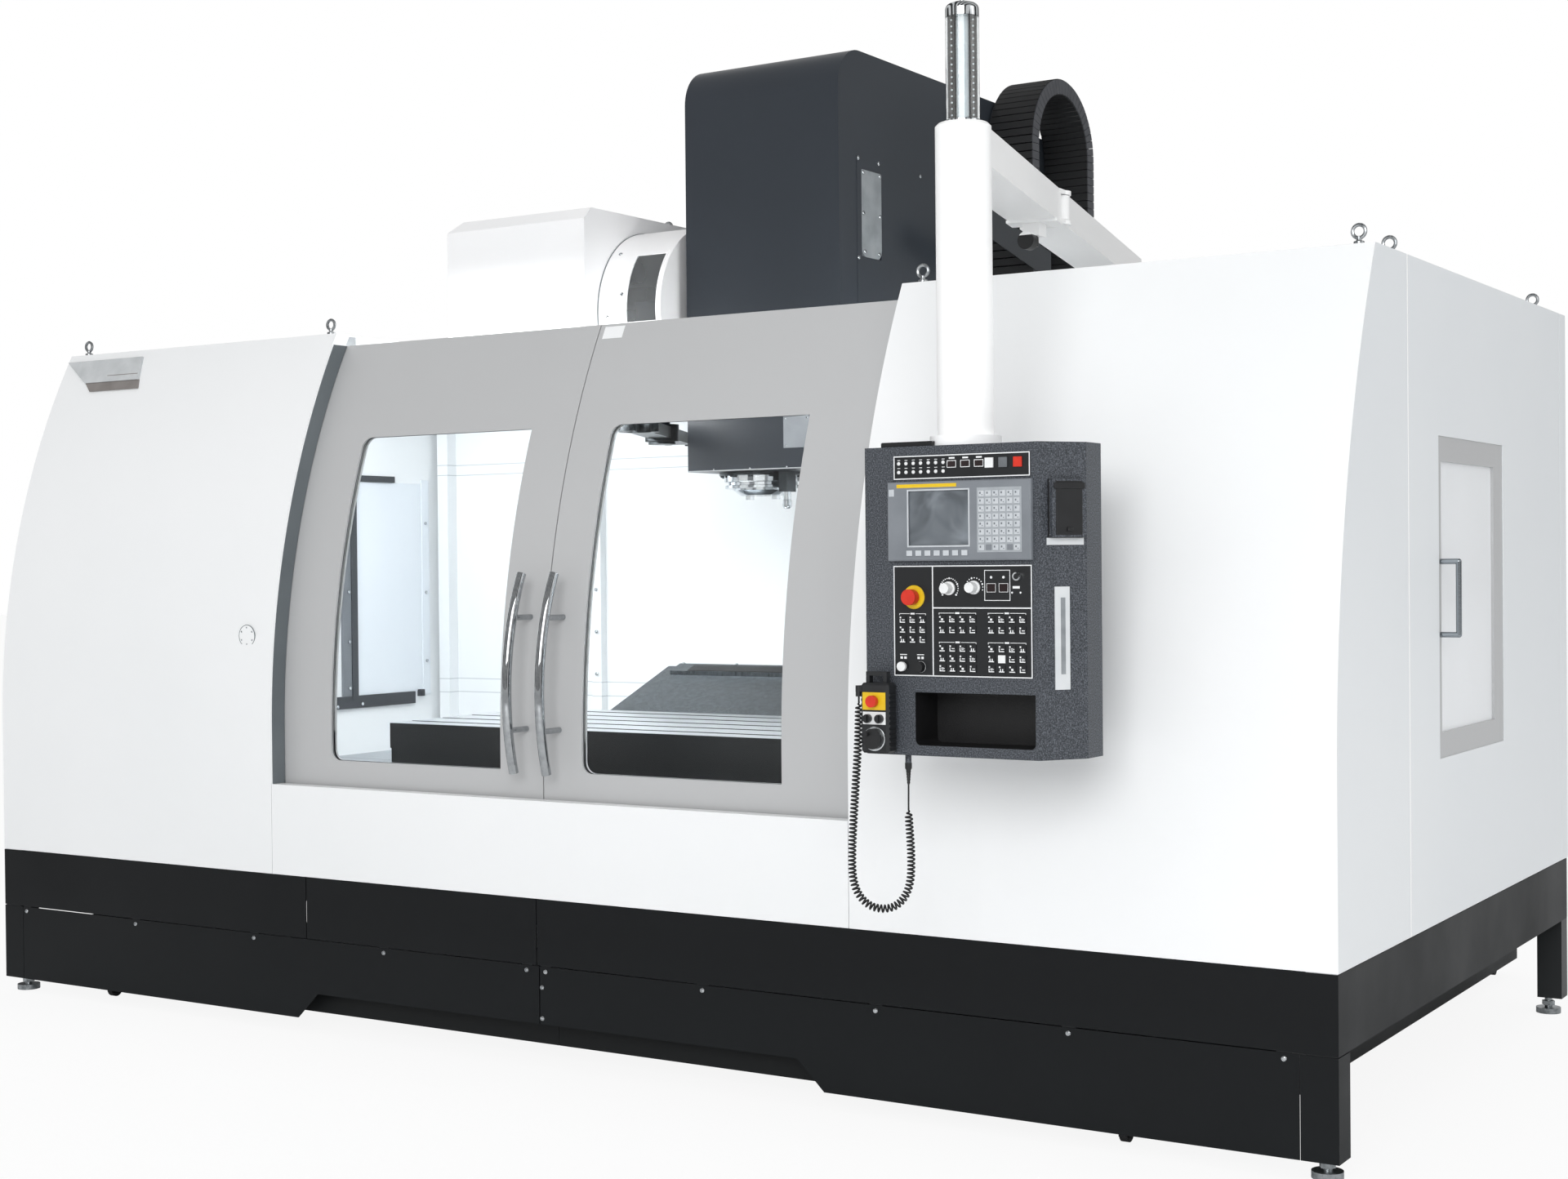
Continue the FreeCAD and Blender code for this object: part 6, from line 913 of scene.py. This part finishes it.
# --------------------------------------------------------------- tool magazine
# The cabinet and the drum are sheet steel in a white gloss coat, closed by a
# rubber seam and screws. A bent grey pane in a folded frame is let into the drum.
magazine_coat = coated("white_cabinet_coat", "#FDFDFE", "#F9FAFB", 0.32, *PEEL, 900.0)
dress(magazine_coat, "magazine_cabinet", "drum_cover")
DRUM_Y, DRUM_Z = 1295.0, 2435.0
DRUM_RADIUS = 316
PANE_LEFT, PANE_RIGHT = -370, -225
FRAME_BAR = 10


def drum_plate(shape, x0, x1, start, stop, inner, outer):
    """Adds a plate that follows the drum between two angles above its front."""
    rows = []
    for step in range(13):
        angle = math.radians(start + (stop - start) * step / 12)
        rows.append([(x, DRUM_Y - radius * math.cos(angle), DRUM_Z + radius * math.sin(angle))
                     for x, radius in ((x0, inner), (x1, inner), (x1, outer), (x0, outer))])
    skinned(shape, rows)


drum_seam = bmesh.new()
turned(drum_seam, [(DRUM_RADIUS, 0), (318.4, 0), (318.4, 4), (DRUM_RADIUS, 4)],
       (-489, DRUM_Y, DRUM_Z), OUTWARD, 96, True)
piece("drum_seam", drum_seam, seal_rubber, "machine")
window_frame = bmesh.new()
for x0, x1, start, stop in ((PANE_LEFT, PANE_RIGHT, -9.6, -7.2),
                            (PANE_LEFT, PANE_RIGHT, 39.1, 41.5),
                            (PANE_LEFT, PANE_LEFT + FRAME_BAR, -7.2, 39.1),
                            (PANE_RIGHT - FRAME_BAR, PANE_RIGHT, -7.2, 39.1)):
    drum_plate(window_frame, x0, x1, start, stop, DRUM_RADIUS, DRUM_RADIUS + 4)
piece("drum_window_frame", window_frame, magazine_coat, "machine", 1.0)
# Tinted polycarbonate, a little dull with oil mist in patches of 110 mm.
drum_pane = clear_sheet("grey_polycarbonate_pane", "#E4E8EA", 9.0, 3.0, (0.3, 0.7),
                        (0.02, 0.10), 0.93)
drum_window = bmesh.new()
drum_plate(drum_window, -361, -234, -7.4, 39.3, DRUM_RADIUS - 3, DRUM_RADIUS)
piece("drum_window_pane", drum_window, drum_pane, "machine")
DRUM_SCREWS = ((43, -447), (-3, -447), (89, -447), (135, -447), (181, -447), (227, -447),
               (-49, -447), (11, -385))
SCREW_SEAT = DRUM_RADIUS + 0.6
drum_heads = []
for angle, x in DRUM_SCREWS:
    out = Vector((0, -math.cos(math.radians(angle)), math.sin(math.radians(angle))))
    spot = (x, DRUM_Y + SCREW_SEAT * out.y, DRUM_Z + SCREW_SEAT * out.z)
    drum_heads.append((SCREW_HEAD, out, 16, [spot]))
fastened("drum_screws", "machine", *drum_heads)

# The tool disc inside is a light coated plate with dull black pots behind it. The
# changer's gearbox is smoothly enamelled, and its arm is phosphated steel: dark, with
# a dull shine.
POT_DEPTH = (-0.899, 0.0)
disc_coat = coated("light_grey_disc_coat", "#B9BDC0", "#AEB3B6", 0.4, 5.0, 0.06, 300.0)
refinish(disc_coat, between(disc_coat.node_tree, "X", *POT_DEPTH), "#1B1D1F", 0.45)
dress(disc_coat, "tool_disc")
gear_coat = coated("dark_gearbox_enamel", "#4A4E52", "#3F4347", 0.36, 12.0, 0.3, 300.0)
dress(gear_coat, "changer_gearbox")
arm_steel = plated("phosphated_arm_steel", "#4B4F52", "#34383A", 0.34, 2.0)
dress(arm_steel, "changer_arm", "changer_shaft")


# ----------------------------------------------------------------- console arm
# Welded box beams and a steel pole in glossy white, turning on posts, with a black
# plastic clamp knob at the elbow. The pole carries the cables down to the console.
# The arm's white is a touch brighter than the machine's other white coats: painted light, as its
# faces get less of the lamps.
ARM_FINISH = ("#FEFEFE", "#FBFCFC", 0.30, 7.0, 0.03, 900.0)
arm_coat = coated("white_arm_coat", *ARM_FINISH)
dress(arm_coat, "rear_arm")
KNOB_Y, KNOB_Z = (-0.15, 0.8), (2.44, 2.4885)
front_coat = coated("white_front_arm_coat", *ARM_FINISH)
tree = front_coat.node_tree
knob = add(tree, "Math", {0: between(tree, "Z", *KNOB_Z), 1: between(tree, "Y", *KNOB_Y)},
           operation="MULTIPLY")
refinish(front_coat, knob.outputs[0], "#1B1C1E", 0.4)
dress(front_coat, "front_arm")


# ---------------------------------------------------------------- signal tower
# A clear acrylic tube stands on the pole round a matt white light strip, with two dark rails
# with diodes in it; the rails' dark is painted shade. Its foot and cap are chromed and mirror
# bright.
POLE = (1644.0, -300.0)
POLE_TOP = 2648.0
TOWER_TOP = 2960.0
TOWER_RADIUS = 43.0
TUBE_WALL = 4
CAP_HEIGHT = 44
TOWER_FOOT = (*POLE, POLE_TOP)
tube_top = TOWER_TOP - CAP_HEIGHT - POLE_TOP
# Cast acrylic is water clear, and slight swells, 33 mm apart, bend what lies behind.
clear_acrylic, tree, place = new_skin("clear_acrylic_tube")
ripple = add(tree, "TexNoise", {"Vector": place, "Scale": 30.0, "Detail": 2.0})
swell = add(tree, "Bump", {"Height": ripple.outputs["Fac"], "Strength": 0.3, "Distance": 0.001})
surfaced(tree, {"Base Color": linear("#F4F8F9"), "Roughness": 0.02, "Transmission Weight": 1.0,
                "IOR": 1.49, "Normal": swell.outputs["Normal"]})
tube_profile = [(TOWER_RADIUS - TUBE_WALL, 8), (TOWER_RADIUS, 8), (TOWER_RADIUS, tube_top),
                (TOWER_RADIUS - TUBE_WALL, tube_top), (TOWER_RADIUS - TUBE_WALL, 8.01)]
tube = bmesh.new()
turned(tube, tube_profile, TOWER_FOOT, UP, 48)
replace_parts(piece("tower_tube", tube, clear_acrylic, "front_arm"), "signal_tower")

LIGHT_RADIUS = 16
DIODE_START = POLE_TOP + 20
DIODE_ROWS, DIODE_COLUMNS = 26, 16
DIODE_PITCH = 9.5
light_white = coated("white_light_strip", "#F2F5F7", "#E3E8EB", 0.5, 4.0, 0.1, 40.0)
core = bmesh.new()
turned(core, [(LIGHT_RADIUS, 6), (LIGHT_RADIUS, tube_top + 1)], TOWER_FOOT, UP, 40)
for row in range(DIODE_ROWS):
    for column in range(DIODE_COLUMNS):
        angle = 2 * math.pi * column / DIODE_COLUMNS
        x, y = math.cos(angle), math.sin(angle)
        turned(core, [(2.0, 0.0), (1.8, 0.9), (0.8, 1.3)],
               (POLE[0] + LIGHT_RADIUS * x, POLE[1] + LIGHT_RADIUS * y,
                DIODE_START + row * DIODE_PITCH), (x, y, 0), 8)
piece("tower_light_strip", core, light_white, "front_arm")

# The rails stand square to the camera's line of sight, at the tube's left and right edges as the
# camera sees them: their dark is painted shade for those edges.
RAIL_OFFSET = 27
RAIL_RADIUS = 11
RAIL_ACROSS, RAIL_ALONG = 0.886, 0.463
RAIL_DIODES = 16
RAIL_PITCH = 16
rail_painted_shade = coated("tower_rail_painted_shade", "#4B4541", "#3A3532", 0.4, 4.0, 0.1, 60.0)
rails = bmesh.new()
rail_dots = bmesh.new()
for side in (-1, 1):
    x = POLE[0] + side * RAIL_OFFSET * RAIL_ACROSS
    y = POLE[1] + side * RAIL_OFFSET * RAIL_ALONG
    turned(rails, [(RAIL_RADIUS, 6), (RAIL_RADIUS, tube_top + 1)], (x, y, POLE_TOP), UP, 20)
    for row in range(RAIL_DIODES):
        turned(rail_dots, [(2.6, 0.0), (2.4, 1.0), (1.2, 1.5)],
               (x + RAIL_RADIUS * RAIL_ALONG, y - RAIL_RADIUS * RAIL_ACROSS,
                DIODE_START + row * RAIL_PITCH), (RAIL_ALONG, -RAIL_ACROSS, 0), 8)
piece("tower_rails", rails, rail_painted_shade, "front_arm")
piece("tower_rail_dots", rail_dots, light_white, "front_arm")

CAP_EDGE = 16
foot_profile = [(TOWER_RADIUS + 4, 0), (TOWER_RADIUS + 4, 7), (TOWER_RADIUS + 1, 9)]
cap_profile = ([(TOWER_RADIUS, 0), (TOWER_RADIUS, 20)]
               + corner_arc((TOWER_RADIUS - CAP_EDGE, 20), CAP_EDGE, 0)[1:]
               + [(7, 36), (7, 43), (5, CAP_HEIGHT)])
chrome = plated("bright_chrome", "#D5D8DA", "#B9BDC0", 0.08, 4.0, 0.02)
caps = bmesh.new()
turned(caps, foot_profile, TOWER_FOOT, UP, 48)
turned(caps, cap_profile, (*POLE, TOWER_TOP - CAP_HEIGHT), UP, 48)
piece("tower_caps", caps, chrome, "front_arm")


# --------------------------------------------------------------------- console
# The control box is folded steel with a coarse, sandy slate powder coat, whose
# grain shows as pale specks. The grain is drawn at 3 mm, coarser than real.
FRONT = -400.0
PANEL_FACE = FRONT - 3.0
POCKET_X, POCKET_Y, POCKET_Z = (1.498, 1.886), (-0.3985, -0.21), (1.05, 1.245)
COLLAR_Z = (1.8325, 2.0)
sand_coat, tree, place = new_skin("sandy_slate_powder_coat")
grain, specks = drift(tree, place, 300.0, 3.0, (0.42, "#2A2E34"), (0.72, "#666B73"))
sandy = add(tree, "Bump", {"Height": grain, "Strength": 0.7, "Distance": 0.0006})
surfaced(tree, {"Base Color": specks, "Roughness": 0.55, "Normal": sandy.outputs["Normal"]})
# The inside of the operator's pocket is painted near black as painted shade, and the pole's collar
# white.
pocket = add(tree, "Math", {0: between(tree, "X", *POCKET_X), 1: between(tree, "Y", *POCKET_Y)},
             operation="MULTIPLY")
pocket_painted_shade = add(tree, "Math", {0: pocket.outputs[0], 1: between(tree, "Z", *POCKET_Z)},
            operation="MULTIPLY")
refinish(sand_coat, pocket_painted_shade.outputs[0], "#101012")
refinish(sand_coat, between(tree, "Z", *COLLAR_Z), "#F8F9FA")
dress(sand_coat, "control_box")


# -------------------------------------------------------------- operator panel
# A black satin film covers the panel. Knobs, buttons and keys on it are moulded
# ABS, half gloss, in the colours of their duty, and its legends are matt screen print.
ABS_GRAIN = (3.0, 0.05, 30.0)
panel_black = coated("black_panel_film", "#17191C", "#121417", 0.4, 2.0, 0.05, 60.0)
dress(panel_black, "operator_panel")
red_abs = coated("red_moulded_abs", "#D8321E", "#C62C1A", 0.32, *ABS_GRAIN)
yellow_abs = coated("yellow_moulded_abs", "#E8C21C", "#DDB716", 0.36, *ABS_GRAIN)
white_abs = coated("white_moulded_abs", "#EDEEEE", "#E2E4E5", 0.38, *ABS_GRAIN)
grey_abs = coated("grey_cap_abs", "#6C7074", "#616569", 0.4, *ABS_GRAIN)
black_abs = coated("black_moulded_abs", "#1B1C1E", "#151618", 0.38, 2.0, 0.08, 40.0)
print_white = coated("white_screen_print", "#EDEFF0", "#E4E6E8", 0.5, 2.0, 0.02, 40.0)
dress(red_abs, "estop_button")
dress(white_abs, "feed_knob", "speed_knob", "start_button")
dress(black_abs, "stop_button")


PRINT_PROUD = 0.4
prints = bmesh.new()


def ruled(shape, x0, x1, z0, z1, wide, face, proud=PRINT_PROUD):
    """Adds a thin frame round a rectangle."""
    for left, right, low, high in ((x0, x1, z1 - wide, z1), (x0, x1, z0, z0 + wide),
                                   (x0, x0 + wide, z0 + wide, z1 - wide),
                                   (x1 - wide, x1, z0 + wide, z1 - wide)):
        block(shape, left, right, face - proud, face, low, high)


def printed(x0, x1, z0, z1, face=PANEL_FACE, proud=PRINT_PROUD):
    """Adds a printed bar to the panel's legends."""
    block(prints, x0, x1, face - proud, face, z0, z1)


# The film's frames and the lines between its fields.
ruled(prints, 1489, 1876, 1253, 1531, 2.6, PANEL_FACE)
ruled(prints, 1492, 1873, 1749, 1808, 2.6, PANEL_FACE)
printed(1599.5, 1602.5, 1255, 1529)
printed(1602.5, 1874, 1423.5, 1426.5)

# Keys stand in fields of (left edge, columns, rows). Each field has a bracket with
# a word's bar over it, and each key one of four plain marks, left, right, low, high.
KEY_PITCH = 28.5
KEY_SIZE = 19.0
KEY_FACE = PANEL_FACE - 2.0
KEY_FIELDS = ((1505.0, 3, (1395.0, 1370.0, 1345.0)),
              (1618.0, 4, (1397.0, 1370.0)), (1755.0, 4, (1397.0, 1370.0)),
              (1618.0, 4, (1324.0, 1299.0, 1274.0)), (1755.0, 4, (1324.0, 1299.0, 1274.0)))
KEY_BASE = ((2, KEY_SIZE - 2, 2, 4.4), (2, 6, 13, 17))
KEY_HOOK = ((2, 4.2, 4.4, 11), (8, 16, 8, 10))
KEY_SPOT = ((7, 13, 6.5, 11.5),)
KEY_PAIR = ((5, 7.5, 4.4, 10.5), (11, 13.5, 4.4, 10.5))
KEY_FORMS = (KEY_HOOK, KEY_SPOT, KEY_PAIR, KEY_HOOK + KEY_SPOT)
BRACKET = 1.3
key_index = 0
for left, columns, rows in KEY_FIELDS:
    right = left + (columns - 1) * KEY_PITCH + KEY_SIZE
    line_z = rows[0] + KEY_SIZE / 2 + 5
    middle = (left + right) / 2
    for one, two in ((left, middle - 9), (middle + 9, right)):
        printed(one, two, line_z, line_z + BRACKET)
    for x in (left, right - BRACKET):
        printed(x, x + BRACKET, line_z - 3, line_z)
    printed(middle - 6, middle + 6, line_z - 1.5, line_z + 2.8)
    for column in range(columns):
        for z in rows:
            x = left + column * KEY_PITCH
            low = z - KEY_SIZE / 2
            for x0, x1, z0, z1 in KEY_BASE + KEY_FORMS[key_index % len(KEY_FORMS)]:
                printed(x + x0, x + x1, low + z0, low + z1, KEY_FACE, 0.3)
            key_index += 1

# The frames, lamps' bars and dots round the counters, and the strip's windows.
COUNTER_FACE = PANEL_FACE - 1.5
COUNTER_X = (1753, 1787)
LAMP_X = (1507, 1528, 1549, 1570, 1592, 1613, 1634)
WINDOW_X = (1646, 1684, 1722)
ruled(prints, 1747, 1818, 1443, 1519, 1.6, COUNTER_FACE)
for x in COUNTER_X:
    ruled(prints, x, x + 25, 1464, 1486, 1.0, COUNTER_FACE)
    turned(prints, [(3.4, 0), (3.2, 0.4)], (x + 12.5, COUNTER_FACE, 1501), FORWARD, 16)
for x in (1822, 1845):
    turned(prints, [(2.6, 0), (2.4, 0.4)], (x, PANEL_FACE, 1463), FORWARD, 12)
printed(1824, 1843, 1473, 1479)
for x in LAMP_X:
    for z in (1796, 1776):
        printed(x - 4, x + 4, z + 0.5, z + 2.0)
for x in WINDOW_X:
    ruled(prints, x - 1, x + 25, 1775, 1793, 1.5, COUNTER_FACE)
    printed(x + 4, x + 20, 1797, 1801)

# The dials' scales: middle, radius, number of ticks, first and last angle. Every
# fifth tick is larger.
DIALS = (((1648.0, 1474.0), 25.0, 21, -130, 130), ((1718.0, 1476.0), 24.0, 13, -105, 105))
for (x, z), spread, count, first, last in DIALS:
    for tick in range(count):
        angle = math.radians(first + (last - first) * tick / (count - 1))
        size = 1.7 if tick % 5 else 2.6
        turned(prints, [(size, 0), (size - 0.2, 0.4)],
               (x + spread * math.sin(angle), PANEL_FACE, z + spread * math.cos(angle)), FORWARD, 8)
for x in (1516, 1565):
    printed(x - 10, x + 10, 1306, 1308)
    printed(x - 9, x - 2, 1296, 1302)
    printed(x + 2, x + 9, 1296, 1302)
turned(prints, [(12.6, 0), (12.6, 0.5), (14.4, 0.5), (14.4, 0)], (1565, PANEL_FACE, 1276),
       FORWARD, 32, True)
piece("panel_print", prints, print_white, "console", smooth=False)

LAMP_PROFILE = [(4.6, 0), (4.6, 1.6), (3.6, 2.6), (1.6, 3.1)]
lamps = bmesh.new()
for x in LAMP_X:
    for z in (1789, 1767):
        turned(lamps, LAMP_PROFILE, (x, PANEL_FACE, z), FORWARD, 16)
piece("status_lamps", lamps, white_abs, "console")

# Three square buttons on the strip, and the one white key in the lower right field.
STRIP_BUTTON = 23
STRIP_Z = (1771.5, 1796.5)
for name, x, cap, slot in (("white_strip_button", 1751.5, white_abs, "panel_plastic"),
                           ("grey_strip_button", 1789.5, grey_abs, "panel_plastic"),
                           ("red_strip_button", 1829.5, red_abs, "red_plastic")):
    blocks(name, [(x, x + STRIP_BUTTON, PANEL_FACE - 4.6, PANEL_FACE, *STRIP_Z)], cap,
           "console", 0.8)
WHITE_KEY = 1783.2
blocks("white_key", [(WHITE_KEY, WHITE_KEY + 19.6, PANEL_FACE - 2.6, PANEL_FACE, 1289.2, 1308.8)],
       white_abs, "console", 0.6)

# Smoked windows over the digits: almost black, with a red cast, and glossy.
digit_glass = coated("smoked_digit_window", "#231416", "#1A0E10", 0.12, 4.0, 0.02, 20.0)
blocks("digit_windows",
       [(x + 0.6, x + 23.4, PANEL_FACE - 1.9, PANEL_FACE, 1776.6, 1791.4) for x in WINDOW_X]
       + [(x + 1, x + 24, PANEL_FACE - 1.8, PANEL_FACE - 1.2, 1465, 1485) for x in COUNTER_X],
       digit_glass, "console")

COLLAR_PROFILE = [(30, 0), (30, 2.2), (28, 4.6), (14, 4.9)]
KEY_SWITCH_PROFILE = [(12.0, 0), (12.0, 9.0), (10.5, 12.2), (7.0, 12.4), (6.6, 11.4), (1.0, 11.3)]
for name, profile, spot, sides, finish in (
        ("estop_collar", COLLAR_PROFILE, (1548, PANEL_FACE, 1452), 48, yellow_abs),
        ("key_switch", KEY_SWITCH_PROFILE, (1839, PANEL_FACE, 1503), 32, chrome)):
    shape = bmesh.new()
    turned(shape, profile, spot, FORWARD, sides)
    piece(name, shape, finish, "console")


# ----------------------------------------------------------------- screen unit
# The screen unit is moulded in grey ABS with a fine dull grain, with a sunk liquid
# crystal screen, a row of soft keys below it and a keypad beside it.
SCREEN_FACE = FRONT - 14.0
screen_grey = coated("grey_moulded_abs", "#7F848A", "#757A80", 0.45, 1.6, 0.1, 80.0)
dress(screen_grey, "screen_unit")
# The unlit screen is dark grey, in broad soft swells of 110 mm, under a glossy face.
lcd_glass, tree, place = new_skin("liquid_crystal_glass")
tone = drift(tree, place, 9.0, 2.0, (0.35, "#4C5258"), (0.7, "#7C838A"), Distortion=1.2)[1]
surfaced(tree, {"Base Color": tone, "Roughness": 0.18, "Coat Weight": 0.6, "Coat Roughness": 0.06})
blocks("lcd_screen", [(1540, 1708, SCREEN_FACE + 4.0, SCREEN_FACE + 5.2, 1582, 1718)], lcd_glass,
       "console")
pale_abs = coated("pale_grey_keycap_abs", "#C7CBCF", "#BCC1C6", 0.42, 2.0, 0.05, 30.0)
rim = bmesh.new()
ruled(rim, 1535.5, 1712.5, 1577.5, 1722.5, 4.0, SCREEN_FACE + 1.0, 1.6)
piece("lcd_rim", rim, pale_abs, "console", 0.4)
pad_grey = coated("light_keypad_plate", "#A9AEB3", "#9EA3A8", 0.42, 2.0, 0.05, 30.0)
blocks("keypad_plate", [(1733, 1855, SCREEN_FACE - 0.6, SCREEN_FACE + 0.5, 1563, 1723)],
       pad_grey, "console")

# The keypad has six columns of eight keys, with two places left empty in the
# lowest row. Its legends are plain printed bars.
CAP_FACE = SCREEN_FACE - 2.6
SOFT_KEYS = 7
PAD_START = (1738, 1568)
PAD_PITCH = (19.5, 19)
pad_keys = [(column, row) for column in range(6) for row in range(8)
            if row or column not in (1, 4)]
keys, legends = bmesh.new(), bmesh.new()
for column in range(SOFT_KEYS):
    x = 1534 + column * 26
    block(keys, x - 0.3, x + 16.3, CAP_FACE, SCREEN_FACE, 1555.7, 1569.3)
block(keys, 1484, 1499, SCREEN_FACE - 1.6, SCREEN_FACE, 1706, 1724)
for column, row in pad_keys:
    x = PAD_START[0] + column * PAD_PITCH[0]
    z = PAD_START[1] + row * PAD_PITCH[1]
    block(keys, x - 0.3, x + 15.3, CAP_FACE, SCREEN_FACE, z - 0.3, z + 14.3)
    block(legends, x + 3, x + 7, CAP_FACE - 0.15, CAP_FACE, z + 6, z + 11)
    if (column + row) % 2:
        block(legends, x + 9, x + 12, CAP_FACE - 0.15, CAP_FACE, z + 3, z + 5)
piece("screen_keycaps", keys, pale_abs, "console", 0.8)
grey_print = coated("grey_key_print", "#70767C", "#686E74", 0.5, 2.0, 0.02, 40.0)
piece("keypad_legends", legends, grey_print, "console", smooth=False)
blocks("yellow_top_strip", [(1506, 1676, SCREEN_FACE - 0.6, SCREEN_FACE + 0.2, 1727, 1736)],
       yellow_abs, "console", 0.2)


# ------------------------------------------------------- console's slanted side
# The angled side carries a hinged black port cover on four screws, and under it two
# bare satin plates, one with a slot along it, drawn as a thin grey strip in painted shade.
SIDE_START = Vector((1892.0, -400.0, 0.0))
SIDE_ALONG = Vector((78.0, 113.0, 0.0)).normalized()
SIDE_OUT = Vector((113.0, -78.0, 0.0)).normalized()


def on_side(distance, depth, z):
    """Place on the slanted side, measured along it from the front edge, and outwards."""
    spot = SIDE_START + SIDE_ALONG * distance + SIDE_OUT * depth
    return spot.x, spot.y, z


def side_blocks(name, boxes, material, round_mm):
    """A piece of boxes on the slanted side: start, end, low, high, inner and outer face."""
    shape = bmesh.new()
    for start, end, z0, z1, inner, outer in boxes:
        corners = ((start, inner), (end, inner), (end, outer), (start, outer))
        skinned(shape, [[on_side(*corner, z) for corner in corners] for z in (z0, z1)])
    piece(name, shape, material, "console", round_mm)


PLATE_PROUD = 3.6
PORT_SCREW = [(4.4, 0), (4.4, 1.0), (3.2, 2.2), (1.2, 2.4)]
side_blocks("port_cover", [(27, 123, 1597, 1741, 0, 8), (38, 112, 1603, 1735, 8, 24),
                           (32, 118, 1716, 1731, 8, 27), (68, 84, 1612, 1622, 24, 28)],
            black_abs, 1.6)
fastened("port_screws", "console", (PORT_SCREW, SIDE_OUT, 16, [
    on_side(distance, 8, z) for z in (1604, 1734) for distance in (32, 118)]))
silver_plate = coated("light_grey_plate", "#D6D9DB", "#CBCFD2", 0.35, 3.0, 0.05, 60.0)
side_blocks("side_plates", [(23, 127, 1579, 1596.5, 0, PLATE_PROUD),
                            (44, 86, 1224, 1477, 0, PLATE_PROUD)],
            silver_plate, 0.8)
# The slot is a thin strip on the plate; its darker grey is painted shade.
slot_painted_shade = coated("slot_plastic_painted_shade", "#9DA2A6", "#5E6367", 0.5, 3.0, 0.05, 120.0)
side_blocks("side_strip_slot", [(60, 73, 1262, 1450, PLATE_PROUD, PLATE_PROUD + 0.5)],
            slot_painted_shade, 0.2)
blocks("console_top_cover", [(1445, 1597, -387, -219, 1831, 1845)], black_abs, "console",
       3.0)


# --------------------------------------------------------------------- pendant
# The hand unit is black moulded ABS, dull and a little grained, with finger ribs, a
# yellow plate under its stop button, a light one round the selectors and a bright
# steel dial round the handwheel.
PENDANT_X = 1457.0
PENDANT_FACE = FRONT - 52.0
PENDANT_BACK = -414
RIB_PROUD = 8.5
pendant_abs = coated("black_pendant_abs", "#202225", "#191B1D", 0.48, 1.6, 0.15, 50.0)
dress(pendant_abs, "pendant_body")
dress(red_abs, "pendant_estop")
dress(black_abs, "axis_selector", "step_selector", "handwheel")
blocks("pendant_stop_plate", [(PENDANT_X - 33.3, PENDANT_X + 33.3, PENDANT_FACE - 2.0,
                               PENDANT_FACE, 1167.7, 1212.3)],
       yellow_abs, "console", 0.6)
blocks("pendant_selector_plate", [(PENDANT_X - 33, PENDANT_X + 33, PENDANT_FACE - 1.0,
                                   PENDANT_FACE, 1131, 1163)],
       white_abs, "console", 0.4)
dial = bmesh.new()
turned(dial, [(31, 0), (31, 1.0), (29.5, 1.6), (27.5, 1.6)], (PENDANT_X, PENDANT_FACE, 1095),
       FORWARD, 48)
piece("handwheel_dial", dial, screw_steel, "console")
ribs = [(PENDANT_X + x, PENDANT_X + x + RIB_PROUD, PENDANT_FACE + 6, PENDANT_BACK, z, z + 7)
        for z in range(1072, 1203, 13) for x in (34, -42.5)]
blocks("pendant_ribs", ribs, pendant_abs, "console", 1.5)


# ---------------------------------------------------------- electrical cabinet
# A plain folded steel cabinet stands behind the machine. It has the side walls'
# white powder coat, with the same gloss and peel.
dress(side_coat, "electrical_cabinet")
